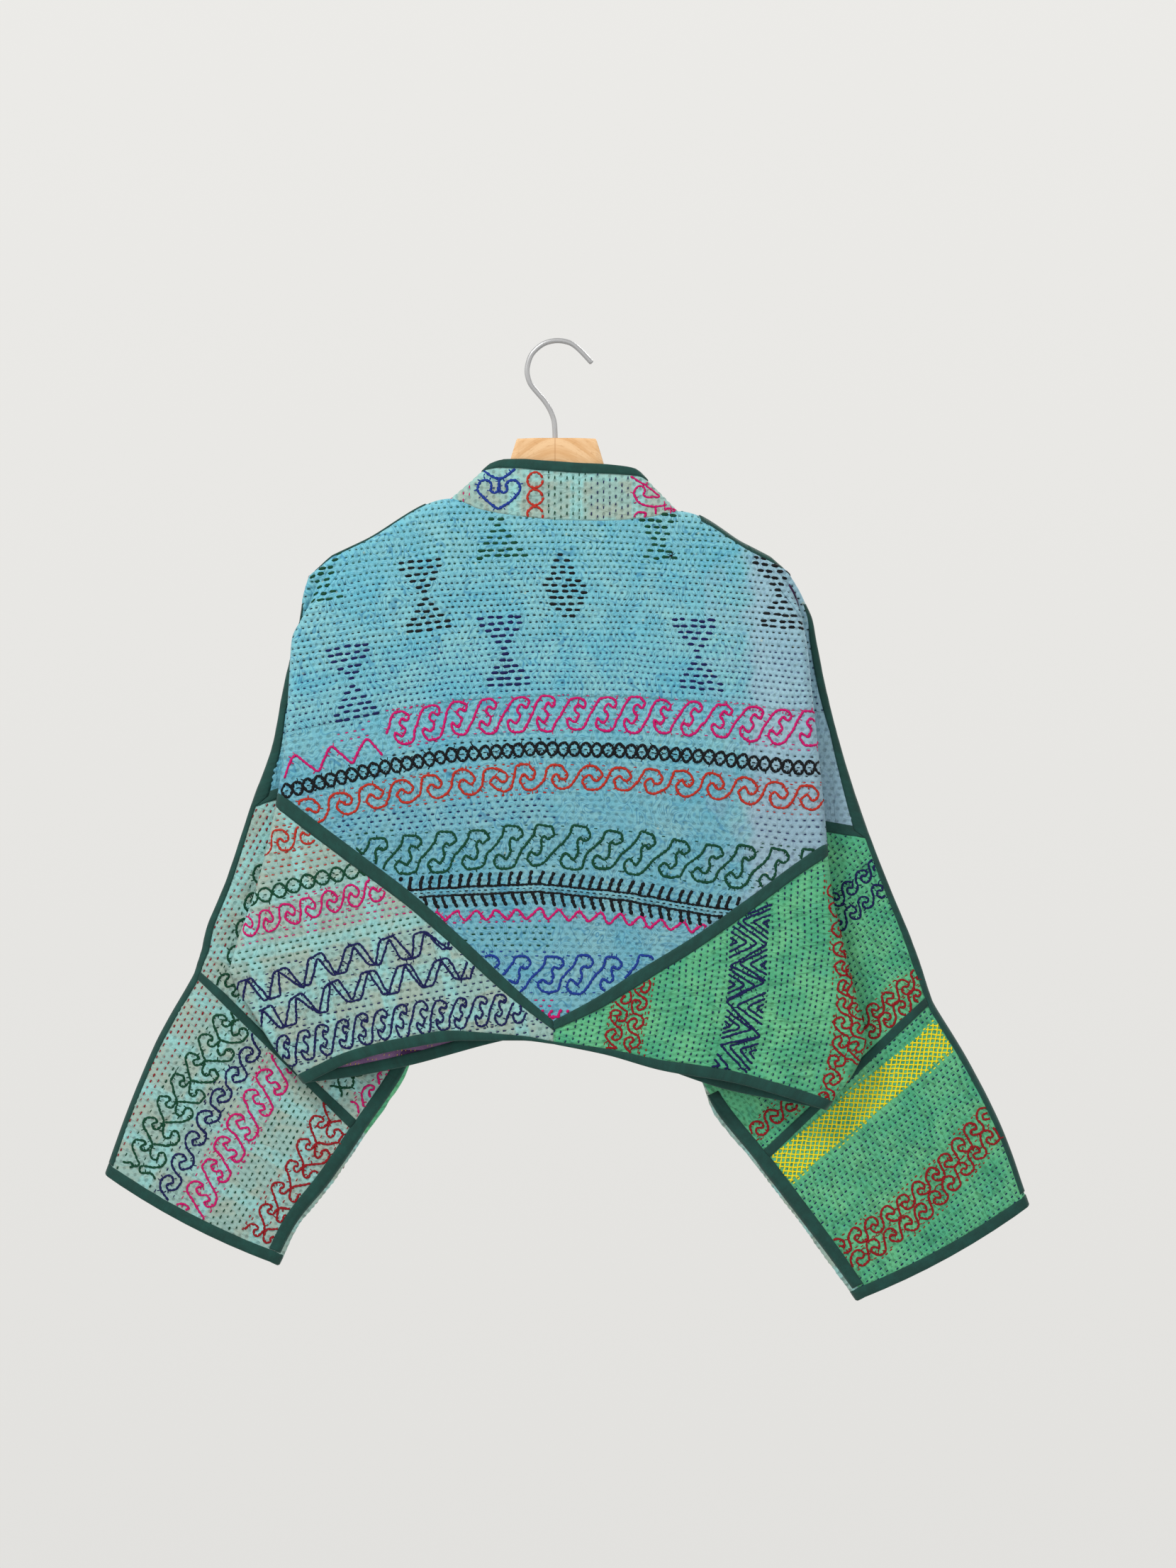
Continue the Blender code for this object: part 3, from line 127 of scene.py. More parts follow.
# Neck and shoulder line of the back and of the front, hem of the back and of the front.
TOP_COLUMNS = ("t", "u", "w")
TOP_BACK = {
    "left": ((0.0, 515, 764), (0.45, 636, 704), (0.6, 678, 719), (0.8, 735, 729), (1.0, 785, 734)),
    "right": ((0.0, 1050, 769), (0.45, 956, 722), (0.6, 911, 731), (0.8, 850, 735), (1.0, 785, 734)),
}
TOP_FRONT = {
    "left": ((0.0, 515, 764), (0.45, 636, 704), (0.6, 668, 738), (0.8, 722, 778), (1.0, 775, 800)),
    "right": ((0.0, 1050, 769), (0.45, 956, 722), (0.6, 922, 752), (0.8, 858, 784), (1.0, 796, 800)),
}
HEM_COLUMNS = ("u", "w")
HEM_BACK = {
    "left": ((431, 1526), (499, 1495), (570, 1477), (657, 1465), (736, 1465), (781, TIP_HEM_W)),
    "right": ((1163, 1563), (1102, 1543), (1031, 1524), (934, 1507), (855, 1485), (781, TIP_HEM_W)),
}
HEM_FRONT = {
    "left": ((431, 1526), (500, 1517), (570, 1503), (680, 1474), (736, 1462), (775, 1452)),
    "right": ((1163, 1563), (1102, 1551), (1031, 1537), (960, 1514), (864, 1472), (796, 1446)),
}
FRONT_TIP = {"left": (775.0, 1438.0), "right": (796.0, 1434.0)}  # where the front's diagonal seam meets its edge
# Largest soft folds of the body: place at the top and at the hem, depth, half width, and the height where they begin.
SOFT_FOLD_COLUMNS = ("top_u", "hem_u", "deep", "half", "from_w")
SOFT_FOLDS = (
    (470, 420, -2.2, 34, 980),
    (520, 500, 1.8, 40, 1120),
    (650, 610, -1.6, 60, 1230),
    (905, 935, -1.5, 55, 1150),
    (1010, 1040, 2.2, 42, 1010),
    (1075, 1105, -2.4, 36, 1030),
    (1130, 1160, 1.6, 26, 1180),
)
# Hanger arm: u from the centre, w of the top edge and of the bottom edge, half thickness in mm.
ARM_COLUMNS = ("out", "top_w", "bottom_w", "half")
HANGER_ARM = (
    (0, 617, 722, 7.0), (30, 617, 722, 7.0), (56, 618, 724, 7.0), (63, 640, 728, 7.0), (72, 672, 733, 7.0),
    (92, 702, 742, 7.0), (150, 731, 771, 6.6), (220, 765, 800, 6.0), (262, 786, 815, 5.2), (286, 800, 822, 4.2),
)
# Hook centreline.
HOOK_COLUMNS = ("u", "w")
HOOK = (
    (783, 640), (783, 617), (782, 595), (777, 579), (768, 564), (756, 550), (747, 538), (743, 522), (748, 501),
    (758, 489), (771, 481), (786.5, 478.3), (803, 481), (815, 489), (824, 498), (834, 509),
)
WIRE = 4.7
BORE_W = 642.0  # bottom of the hole for the hook's stem
CHAMFER = 2.2
# Top line of the standing collar, from the left neck side round the back, and down to the front edges.
COLLAR_COLUMNS = ("u", "w")
COLLAR_BACK = (
    (688, 660), (697, 654), (712, 650), (735, 650), (760, 652), (790, 654), (818, 656), (846, 657), (872, 659),
    (893, 662), (906, 672),
)
COLLAR_FRONT = {
    "left": ((688, 660), (699, 674), (722, 703), (748, 725), (772, 738)),
    "right": ((906, 672), (892, 685), (862, 710), (830, 728), (800, 738)),
}
COLLAR_DEPTH_BACK, COLLAR_DEPTH_FRONT = -12.0, 13.0  # mm from the middle plane, at the centre of each side
COLLAR_ROUND = 3.0  # power of the collar's rounding in plan
COLLAR_ROWS = (0.0, 0.5, 1.0)  # share of its height up to its binding
COLLAR_TAPE = 7.6  # visible width of its binding


def place(u, w):
    """Drawing to millimetres: X and Z."""
    return (np.asarray(u, float) - HOOK_U) * UNIT, (HOOK_W - np.asarray(w, float)) * UNIT


def smooth(x):
    x = np.clip(x, 0.0, 1.0)
    return x * x * (3 - 2 * x)


def curve(x, xs, ys):
    """Monotone cubic through a table's column, straight past its ends."""
    xs, ys = np.asarray(xs, float), np.asarray(ys, float)
    h, d = np.diff(xs), np.diff(ys) / np.diff(xs)
    m = np.empty(len(xs))
    m[0], m[-1] = d[0], d[-1]
    for i in range(1, len(d)):
        if d[i - 1] * d[i] <= 0:
            m[i] = 0.0
        else:
            a, b = 2 * h[i] + h[i - 1], h[i] + 2 * h[i - 1]
            m[i] = (a + b) / (a / d[i - 1] + b / d[i])
    x = np.clip(np.asarray(x, float), xs[0], xs[-1])
    i = np.clip(np.searchsorted(xs, x, side="right") - 1, 0, len(h) - 1)
    t = (x - xs[i]) / h[i]
    return (
        (1 + 2 * t) * (1 - t) ** 2 * ys[i] + t * (1 - t) ** 2 * h[i] * m[i]
        + t * t * (3 - 2 * t) * ys[i + 1] + t * t * (t - 1) * h[i] * m[i + 1]
    )


def column(table, names, name):
    return np.array([row[names.index(name)] for row in table], float)


def at_row(side, v, name):
    return curve(v, column(ROWS[side], ROW_COLUMNS, "v"), column(ROWS[side], ROW_COLUMNS, name))


def depth_at(v, layer):
    return curve(v, column(DEPTHS, DEPTH_COLUMNS, "v"), column(DEPTHS, DEPTH_COLUMNS, "y%d" % layer))


def along(table, f):
    """Point at share f of a polyline's length, smoothed through its points."""
    pts = np.array([row[-2:] for row in table], float)
    s = np.r_[0, np.cumsum(np.hypot(*np.diff(pts, axis=0).T))]
    f = np.asarray(f, float) * s[-1]
    return curve(f, s, pts[:, 0]), curve(f, s, pts[:, 1])


def pinch(y, y_seam, d, reach):
    """Depth near a rounded seam or fold: the layer's own depth at reach, the seam's at its edge."""
    k = np.clip(d / np.maximum(reach, 1e-6), 0.0, 1.0)
    return y_seam + (y - y_seam) * np.sqrt(np.clip(1 - (1 - k) ** 2, 0.0, 1.0))


def soft(u, w):
    """Soft vertical folds of the body, in mm."""
    total = np.zeros(np.broadcast(u, w).shape)
    for top_u, hem_u, deep, half, from_w in SOFT_FOLDS:
        middle = top_u + (hem_u - top_u) * (w - 1000.0) / 480.0
        total = total + deep * smooth((w - from_w) / (1480.0 - from_w)) * np.exp(-(((u - middle) / half) ** 2))
    return total


def held_off(u, w, y):
    """The front layer's depth, kept clear of the hanger's arm until it is below it."""
    out = np.abs(np.asarray(u, float) - CENTRE_U)
    bottom = curve(out, column(HANGER_ARM, ARM_COLUMNS, "out"), column(HANGER_ARM, ARM_COLUMNS, "bottom_w"))
    near = (1 - smooth((w - bottom - 4) / 34.0)) * (1 - smooth((out - HELD_TO) / 22.0))
    return y + (np.maximum(y, 9.2) - y) * near


class Sheet:
    """One layer of the cut-in-one cloth, back or front, for one side of the body, as points of (column, row)."""

    def __init__(self, side, front):
        self.side, self.front = side, front
        self.sign = 1.0 if side == "left" else -1.0  # +u towards the centre
        self.top = (TOP_FRONT if front else TOP_BACK)[side]
        self.hem = (HEM_FRONT if front else HEM_BACK)[side]
        self.layers = (2, 3, 6) if front else (1, 4, 5)
        self.tip = FRONT_TIP[side] if front else (781.0, TIP_W)
        v = DIAGONAL_ROWS[side]
        self.dia_arm, self.dia_pleat, self.dia_fold = v
        step = STEP if front else 0.0
        self.end_fold, self.end_pleat = PLEAT_END - step, PLEAT_END + step

    def nest(self, v):
        """Inset of the front layer's folds from the back layer's, in drawing units."""
        if not self.front:
            return np.zeros(np.shape(v))
        v = np.asarray(v, float)
        return NEST / UNIT * smooth(v / 72.0) * (1 - smooth((v - PLEAT_END - STEP) / 90.0))

    def fold(self, v):
        nest = self.nest(np.minimum(v, PLEAT_END))
        return at_row(self.side, v, "fold_u") + self.sign * nest, at_row(self.side, v, "fold_w")

    def pleat(self, v):
        return at_row(self.side, v, "pleat_u") + self.sign * self.nest(v), at_row(self.side, v, "pleat_w")

    def arm(self, v):
        return at_row(self.side, v, "arm_u"), at_row(self.side, v, "arm_w")

    def seam_row(self, part, x):
        """Row label of the diagonal seam in the sleeve (x from arm 0 to pleat 1) or in the pleat (0 to 1 at the fold)."""
        if part == "sleeve":
            return self.dia_arm + (self.dia_pleat - self.dia_arm) * x
        return self.dia_pleat + (self.dia_fold - self.dia_pleat) * x

    def arm_seam_depth(self, v):
        return (depth_at(v, 5) + depth_at(v, 6)) / 2 * smooth(v / 60.0)

    def rolled(self, v):
        """From 0, where back and front meet on the sleeve's underarm edge, to 1, where the front rolls round it."""
        return smooth((np.asarray(v, float) - PLEAT_END - 50) / 70.0)

    def sleeve(self, b, v):
        """b from 0 at the over-arm seam to 1 at the pleat or the underarm seam."""
        b, v = np.broadcast_arrays(np.asarray(b, float), np.asarray(v, float))
        au, aw = self.arm(v)
        pu, pw = self.pleat(v)
        wide = np.hypot(pu - au, pw - aw) * UNIT
        roll = self.rolled(v)
        # The front's last strip turns round the underarm edge and meets the back's edge on the back's side.
        strip = np.minimum(TURN_MM, 0.3 * wide) / wide
        s = np.clip((b - 1) / strip + 1, 0, 1)
        turn = np.pi * s
        along_row = b
        if self.front:
            rolled_b = 1 + (-2.0 * (1 - s) + (ROLL + 1.3) * np.sin(turn)) / wide
            flat_b = np.where(b < 1 - strip, b * (1 - 2.0 / wide) / (1 - strip), rolled_b)
            along_row = b + (flat_b - b) * roll
        sag = 9.0 * smooth((v - 860) / 150.0) * 4 * b * (1 - b)
        u = au + (pu - au) * along_row - sag * 0.35 * self.sign
        w = aw + (pw - aw) * along_row + sag * 0.8
        own, seam = depth_at(v, self.layers[2]), self.arm_seam_depth(v)
        own = own + (1.8 if self.front else -1.8) * smooth((v - 560) / 200.0) * np.sin(np.pi * b)
        if self.front:
            own = held_off(u, w, own)
        reach = np.minimum(ROUND, 0.3 * wide)
        y = pinch(own, seam, b * wide, reach)
        mid = (depth_at(v, self.layers[1]) + depth_at(v, self.layers[2])) / 2
        meet = mid + ((depth_at(v, 5) + depth_at(v, 6)) / 2 - mid) * smooth((v - self.end_pleat) / 50.0)
        folded = pinch(y, meet, (1 - b) * wide, reach)
        back_y = depth_at(v, 5)
        rolled_y = y + (back_y - y) * (1 - np.cos(turn)) / 2 if self.front else y
        y = folded + (rolled_y - folded) * roll
        return u, w, pinch(y, 0.0, v * UNIT, 9.0)

    def in_pleat(self, q, v):
        """q from 0 at the pleat to 1 at the body's fold."""
        q, v = np.broadcast_arrays(np.asarray(q, float), np.asarray(v, float))
        pu, pw = self.pleat(v)
        fu, fw = self.fold(v)
        u, w = pu + (fu - pu) * q, pw + (fw - pw) * q
        wide = np.hypot(pu - fu, pw - fw) * UNIT
        open_ = smooth((v - 58) / 22.0)  # above this the cloth runs on without a fold
        y_own = depth_at(v, self.layers[1])
        flat = depth_at(v, self.layers[2]) * (1 - q) + depth_at(v, self.layers[0]) * q
        y = flat + (y_own - flat) * open_
        if self.front:
            y = held_off(u, w, y)
        reach = np.minimum(ROUND, 0.3 * wide)
        mid_p = (depth_at(v, self.layers[1]) + depth_at(v, self.layers[2])) / 2
        mid_f = (depth_at(v, self.layers[0]) + depth_at(v, self.layers[1])) / 2
        y = pinch(y, mid_p, q * wide, reach)
        y = pinch(y, mid_f, (1 - q) * wide, reach)
        seam = 5.9 * np.clip(1 - q * wide / 2.5, 0, 1) - 6.4 * np.clip(1 - (1 - q) * wide / 2.5, 0, 1) + 0.5 - q
        y = pinch(y, seam, (self.end_row(q) - v) * UNIT, 6.0)
        return u, w, pinch(y, 0.0, v * UNIT, 9.0)

    def end_row(self, q):
        return self.end_pleat + (self.end_fold - self.end_pleat) * q

    def fold_curve(self, f):
        """Body edge from the shoulder (f 0) by the diagonal seam (1) and the pleat's end (2) to the hem corner (3)."""
        f = np.asarray(f, float)
        v = np.where(f < 1, f * self.dia_fold, self.dia_fold + (self.end_fold - self.dia_fold) * np.clip(f - 1, 0, 1))
        u, w = self.fold(v)
        side_u, side_w = along(SIDE[self.side], np.clip(f - 2, 0, 1))
        end_u, end_w = self.fold(self.end_fold)
        fade = 1 - smooth((f - 2) / 0.5)
        side_u = side_u + (end_u - SIDE[self.side][0][0]) * fade
        side_w = side_w + (end_w - SIDE[self.side][0][1]) * fade
        return np.where(f > 2, side_u, u), np.where(f > 2, side_w, w), v

    def body(self, t, f):
        """t from 0 at the body's edge to 1 at the centre. f: 0 neck and shoulder, 1 diagonal seam, 2 level of the pleat's end, 3 hem."""
        t, f = np.broadcast_arrays(np.asarray(t, float), np.asarray(f, float))
        top_u = curve(t, column(self.top, TOP_COLUMNS, "t"), column(self.top, TOP_COLUMNS, "u"))
        top_w = curve(t, column(self.top, TOP_COLUMNS, "t"), column(self.top, TOP_COLUMNS, "w"))
        dia = DIAGONAL[self.side][:-1] + (self.tip,)
        dia_u, dia_w = along(dia, t)
        fold_u, fold_w = self.fold(self.dia_fold)
        near = (1 - t) ** 6
        dia_u, dia_w = dia_u + (fold_u - dia[0][0]) * near, dia_w + (fold_w - dia[0][1]) * near
        hem_u, hem_w = along(self.hem, t)
        share = 0.6  # of the way from the diagonal seam to the hem
        g = np.clip(f, 0, 1)
        h = np.where(f <= 1, 0.0, np.where(f <= 2, (f - 1) * share, share + (f - 2) * (1 - share)))
        u = np.where(f <= 1, top_u + (dia_u - top_u) * g, dia_u + (hem_u - dia_u) * h)
        w = np.where(f <= 1, top_w + (dia_w - top_w) * g, dia_w + (hem_w - dia_w) * h)
        # The edge's own line, less the straight one, fading towards the centre.
        edge_u, edge_w, v = self.fold_curve(f)
        e0u, e0w = np.full(f.shape, self.top[0][1], float), np.full(f.shape, self.top[0][2], float)
        e1u, e1w = self.fold(np.full(f.shape, self.dia_fold))
        e2u, e2w = np.full(f.shape, self.hem[0][0], float), np.full(f.shape, self.hem[0][1], float)
        line_u = np.where(f <= 1, e0u + (e1u - e0u) * g, e1u + (e2u - e1u) * h)
        line_w = np.where(f <= 1, e0w + (e1w - e0w) * g, e1w + (e2w - e1w) * h)
        fade = (1 - t) ** 2.2
        u, w = u + (edge_u - line_u) * fade, w + (edge_w - line_w) * fade
        # Depth: the side's table at the edge, the centre's table in the middle.
        side_y = depth_at(v, self.layers[0])
        centre_y = curve(w, column(CENTRE, CENTRE_COLUMNS, "w"), column(CENTRE, CENTRE_COLUMNS, "front" if self.front else "back"))
        s = np.abs(u - edge_u)
        if self.front:
            # The front wall stays against the pleat, and swings back towards the hidden side past its inner fold.
            level = np.interp(w, column(ROWS[self.side], ROW_COLUMNS, "fold_w")[:10], column(ROWS[self.side], ROW_COLUMNS, "v")[:10])
            past = (u - self.pleat(level)[0]) * self.sign
            mix = smooth((past - 10) / 110.0)
        else:
            mix = smooth(s / 200.0)
        y = side_y + (centre_y - side_y) * mix + soft(u, w) * (0.6 if self.front else 1.0) * smooth(s / 40.0)
        if self.front:
            y = held_off(u, w, y)
        # Rounded at the shoulder seam, along the fold, and at the side seam.
        down = np.where(f <= 1, np.abs(w - top_w) * UNIT, 99.0)
        y = pinch(y, 0.0, np.hypot(down, np.clip(t - NECK_T, 0, 1) * 210.0), 10.0)
        mid_f = (depth_at(v, self.layers[0]) + depth_at(v, self.layers[1])) / 2
        side_seam = mid_f + ((depth_at(v, 1) + depth_at(v, 2)) / 2 - mid_f) * smooth((f - 2) / 0.25)
        edge_y = np.where(f <= 2, mid_f, side_seam)
        open_ = np.where(f <= 2, smooth((v - 58) / 22.0), 1.0)
        folded = pinch(y, edge_y, s * UNIT, ROUND)
        y = y + (folded - y) * open_
        return u, w, y
# Columns across, from the over-arm edge to the centre. Each is a share of its part, or millimetres from either end.
COLUMN_COLUMNS = ("part", "kind", "value")
COLUMNS = (
    ("S", "from", 0.0), ("S", "from", 1.0), ("S", "from", 4.2), ("S", "share", 0.38), ("S", "share", 0.74),
    ("S", "turn", 0.0), ("S", "turn", 0.35), ("S", "turn", 0.80), ("S", "to", 0.0),
    ("P", "from", 2.5), ("P", "share", 0.5), ("P", "to", 2.5), ("P", "to", 0.0),
    ("B", "t", 0.01), ("B", "t", 0.16), ("B", "t", 0.32), ("B", "t", NECK_T), ("B", "t", 0.485),
    ("B", "t", 0.62), ("B", "t", 0.80), ("B", "edge", TAPE_WIDE + 0.2), ("B", "t", 1.0),
)
TURN_MM = 11.0  # the sleeve's strip along the underarm edge, where the front turns round it
# Rows down: U neck to diagonal seam, M to the end of the pleat, L to the sleeve seam or the hem, C the sleeve end.
ROW_STEPS_COLUMNS = ("block", "kind", "value")
ROW_STEPS = (
    ("U", "from", 0.0), ("U", "from", 1.0), ("U", "from", 4.2), ("U", "share", 0.14), ("U", "share", 0.30),
    ("U", "share", 0.62), ("U", "to", TAPE_WIDE / 2), ("U", "to", 0.0),
    ("M", "from", TAPE_WIDE / 2), ("M", "share", 0.55), ("M", "to", 2.5), ("M", "to", 0.0),
    ("L", "share", 0.28), ("L", "share", 0.52), ("L", "to", TAPE_WIDE / 2), ("L", "to", 0.0),
    ("C", "from", TAPE_WIDE / 2), ("C", "share", 0.5), ("C", "to", TAPE_WIDE + 0.5),
    ("C", "to", 0.0),
)
STEEP = 1.36  # the diagonal tape's height over its width, in the body
HEM_STEP = 12.5  # the body's last row above the hem
HELD_TO = 322.0  # from the centre, in drawing units: as far as the hanger's arm keeps the front out
# mm by which the back and the front part where the pleat starts, above the fold's beginning.
CROSSING_COLUMNS = ("row", "front", "back")
CROSSING = {"left": ((3, 1.6, 0.9), (4, 0.8, 0.0)), "right": ((3, 3.6, 2.2), (4, 2.7, 1.3))}
SKIPPED = (6, 9, 12)  # columns that the shoulder tape passes over


def share_of(kind, value, wide):
    """A step's share of a length in millimetres."""
    if kind in ("share", "t"):
        return value
    near = min(value, 0.24 * wide) / wide if value else 0.0
    return near if kind == "from" else 1 - near


# ---------------------------------------------------------------- fine grids
# Cells between the frame's columns and rows, by their place. The first and last cells of a rim are packed towards it.
COLUMN_CUTS = (2, 3, 5, 5, 4, 2, 3, 2, 3, 4, 4, 3, 2, 11, 11, 9, 3, 10, 13, 13, 4)
ROW_CUTS = (2, 3, 34, 38, 78, 90, 4, 4, 48, 40, 2, 15, 13, 19, 6, 4, 38, 36, 5)
CREASE_COLUMNS = ("from_u", "from_w", "to_u", "to_w", "deep", "half")
# Soft creases of the back and of the front in drawing units, + towards the viewer of that side, depth and half width in mm.
CREASES_BACK = (
    (1062, 800, 1082, 1180, -0.9, 9.0), (1098, 830, 1118, 1150, 1.1, 11.0), (455, 930, 442, 1130, 0.9, 9.0),
    (500, 800, 470, 900, -0.8, 9.0), (650, 735, 560, 900, 0.7, 14.0), (905, 740, 1010, 870, -0.7, 12.0),
    (700, 1120, 820, 1180, 0.6, 15.0), (560, 1290, 520, 1440, 1.1, 10.0), (610, 1340, 640, 1440, -0.8, 9.0),
    (470, 1220, 455, 1450, -1.0, 8.0), (400, 1300, 420, 1470, 0.9, 8.0), (1010, 1340, 1000, 1480, 0.9, 10.0),
    (1110, 1290, 1090, 1500, -1.1, 9.0), (1150, 1260, 1160, 1480, 1.0, 8.0), (940, 1400, 930, 1480, -0.8, 9.0),
    (1235, 1200, 1262, 1330, -0.9, 7.0), (1200, 1230, 1228, 1380, 0.9, 7.0), (1300, 1500, 1360, 1640, 0.9, 9.0),
    (1200, 1640, 1290, 1760, -0.9, 9.0), (1150, 1620, 1210, 1700, 0.8, 8.0), (345, 1250, 318, 1360, -0.8, 7.0),
    (300, 1440, 235, 1600, 0.8, 9.0), (400, 1560, 330, 1700, -0.9, 9.0), (450, 1600, 390, 1700, 0.7, 8.0),
)
CREASES_FRONT = (
    (640, 860, 620, 1180, -1.0, 11.0), (560, 820, 500, 1080, 0.9, 10.0), (930, 860, 960, 1170, 0.9, 11.0),
    (1010, 820, 1050, 1100, -0.9, 9.0), (520, 1240, 500, 1470, -1.0, 9.0), (650, 1330, 640, 1440, 0.8, 10.0),
    (900, 1380, 915, 1470, -0.8, 9.0), (1050, 1290, 1040, 1500, 1.0, 9.0), (1110, 1300, 1120, 1510, -0.9, 8.0),
    (440, 1260, 430, 1460, 0.8, 8.0), (300, 1440, 235, 1600, -0.8, 9.0), (400, 1560, 330, 1700, 0.8, 9.0),
    (1300, 1500, 1360, 1640, -0.8, 9.0), (1200, 1640, 1290, 1760, 0.9, 9.0),
)
ROW_PITCH, STITCH_PITCH = 8.6, 12.6  # drawing units between rows of running stitches, and along them
ARCH_COLUMNS = ("w", 400, 520, 640, 760, 880, 1000, 1120)
# How far the back's embroidered rows lie below their level at the centre, by u, for rows at w.
ARCH = (
    (700, 30, 15, 3, 0, 2, 8, 16), (850, 40, 20, 6, 0, 2, 8, 18), (1006, 55, 30, 8, 1, 2, 9, 22),
    (1055, 62, 32, 10, 1, 4, 13, 28), (1095, 58, 30, 10, 0, 4, 13, 30), (1191, 30, 18, 9, 0, 9, 27, 36),
    (1252, 20, 12, 5, 0, 12, 33, 45), (1373, 0, 0, 0, 0, 0, 0, 0), (1460, 0, 0, 0, 0, 0, 0, 0),
)


def lattice(ix, iy, seed):
    h = (ix * 374761393 + iy * 668265263 + seed * 974634777) & 0xFFFFFFFF
    h = ((h ^ (h >> 13)) * 1274126177) & 0xFFFFFFFF
    return ((h ^ (h >> 16)) & 0xFFFF) / 32767.5 - 1.0


def noise(x, y, seed=0):
    """Smooth value noise from -1 to 1, with a lattice of 1."""
    x, y = np.broadcast_arrays(np.asarray(x, float), np.asarray(y, float))
    ix, iy = np.floor(x).astype(np.int64), np.floor(y).astype(np.int64)
    fx, fy = smooth(x - ix), smooth(y - iy)
    a = lattice(ix, iy, seed) * (1 - fx) + lattice(ix + 1, iy, seed) * fx
    b = lattice(ix, iy + 1, seed) * (1 - fx) + lattice(ix + 1, iy + 1, seed) * fx
    return a * (1 - fy) + b * fy


def arch(u, w0):
    """How far below w0 an embroidered row of the back lies at u."""
    table = np.array([row[1:] for row in ARCH], float)
    by_u = np.array([np.interp(u, ARCH_COLUMNS[1:], row) for row in table])
    levels = column(ARCH, ARCH_COLUMNS, "w")
    w0 = np.clip(np.asarray(w0, float), levels[0], levels[-1])
    i = np.clip(np.searchsorted(levels, w0, side="right") - 1, 0, len(levels) - 2)
    f = (w0 - levels[i]) / (levels[i + 1] - levels[i])
    take = lambda k: np.take_along_axis(by_u, k[None], axis=0)[0] if np.ndim(k) else by_u[k]
    return take(i) * (1 - f) + take(i + 1) * f


def level_of(u, w):
    """The row level w0 that passes through (u, w)."""
    u, w = np.broadcast_arrays(np.asarray(u, float), np.asarray(w, float))
    w0 = w - 10.0
    for _ in range(5):
        w0 = w - arch(u, w0)
    return w0


SLEEVE_AXIS = (-0.48, 0.877)  # down the left sleeve end
SEAM_AXIS = (0.734, -0.68)  # along the right sleeve seam, outwards


def family(key, u, w):
    """(across, along) for the rows of running stitches of a zone such as bl_body: back left body."""
    region = key[3:]
    if region in ("top", "topsleeve"):
        return level_of(u, w), u
    mint = key[:2] in ("bl", "fr")
    flip = key[:2] in ("fl", "fr")
    if flip:
        u = 2 * CENTRE_U - u
    if key[:2] == "fl" and region == "cuff":
        u, mint = 2 * CENTRE_U - u, True
    if region == "body":
        if mint:
            return (w + 0.2 * (u - 400)) / 1.02, (u - 0.2 * w) / 1.02
        bend = -30.0 * np.clip((w - 1300) / 200.0, 0, 2) ** 2
        return u - bend, w
    if mint:
        return u * SLEEVE_AXIS[1] - w * SLEEVE_AXIS[0], u * SLEEVE_AXIS[0] + w * SLEEVE_AXIS[1]
    return -u * SEAM_AXIS[1] + w * SEAM_AXIS[0], u * SEAM_AXIS[0] + w * SEAM_AXIS[1]


def packed(n, towards_start):
    s = np.linspace(0, 1, n + 1)
    return s * (0.45 + 0.55 * s) if towards_start else 1 - (s * (0.45 + 0.55 * s))[::-1]


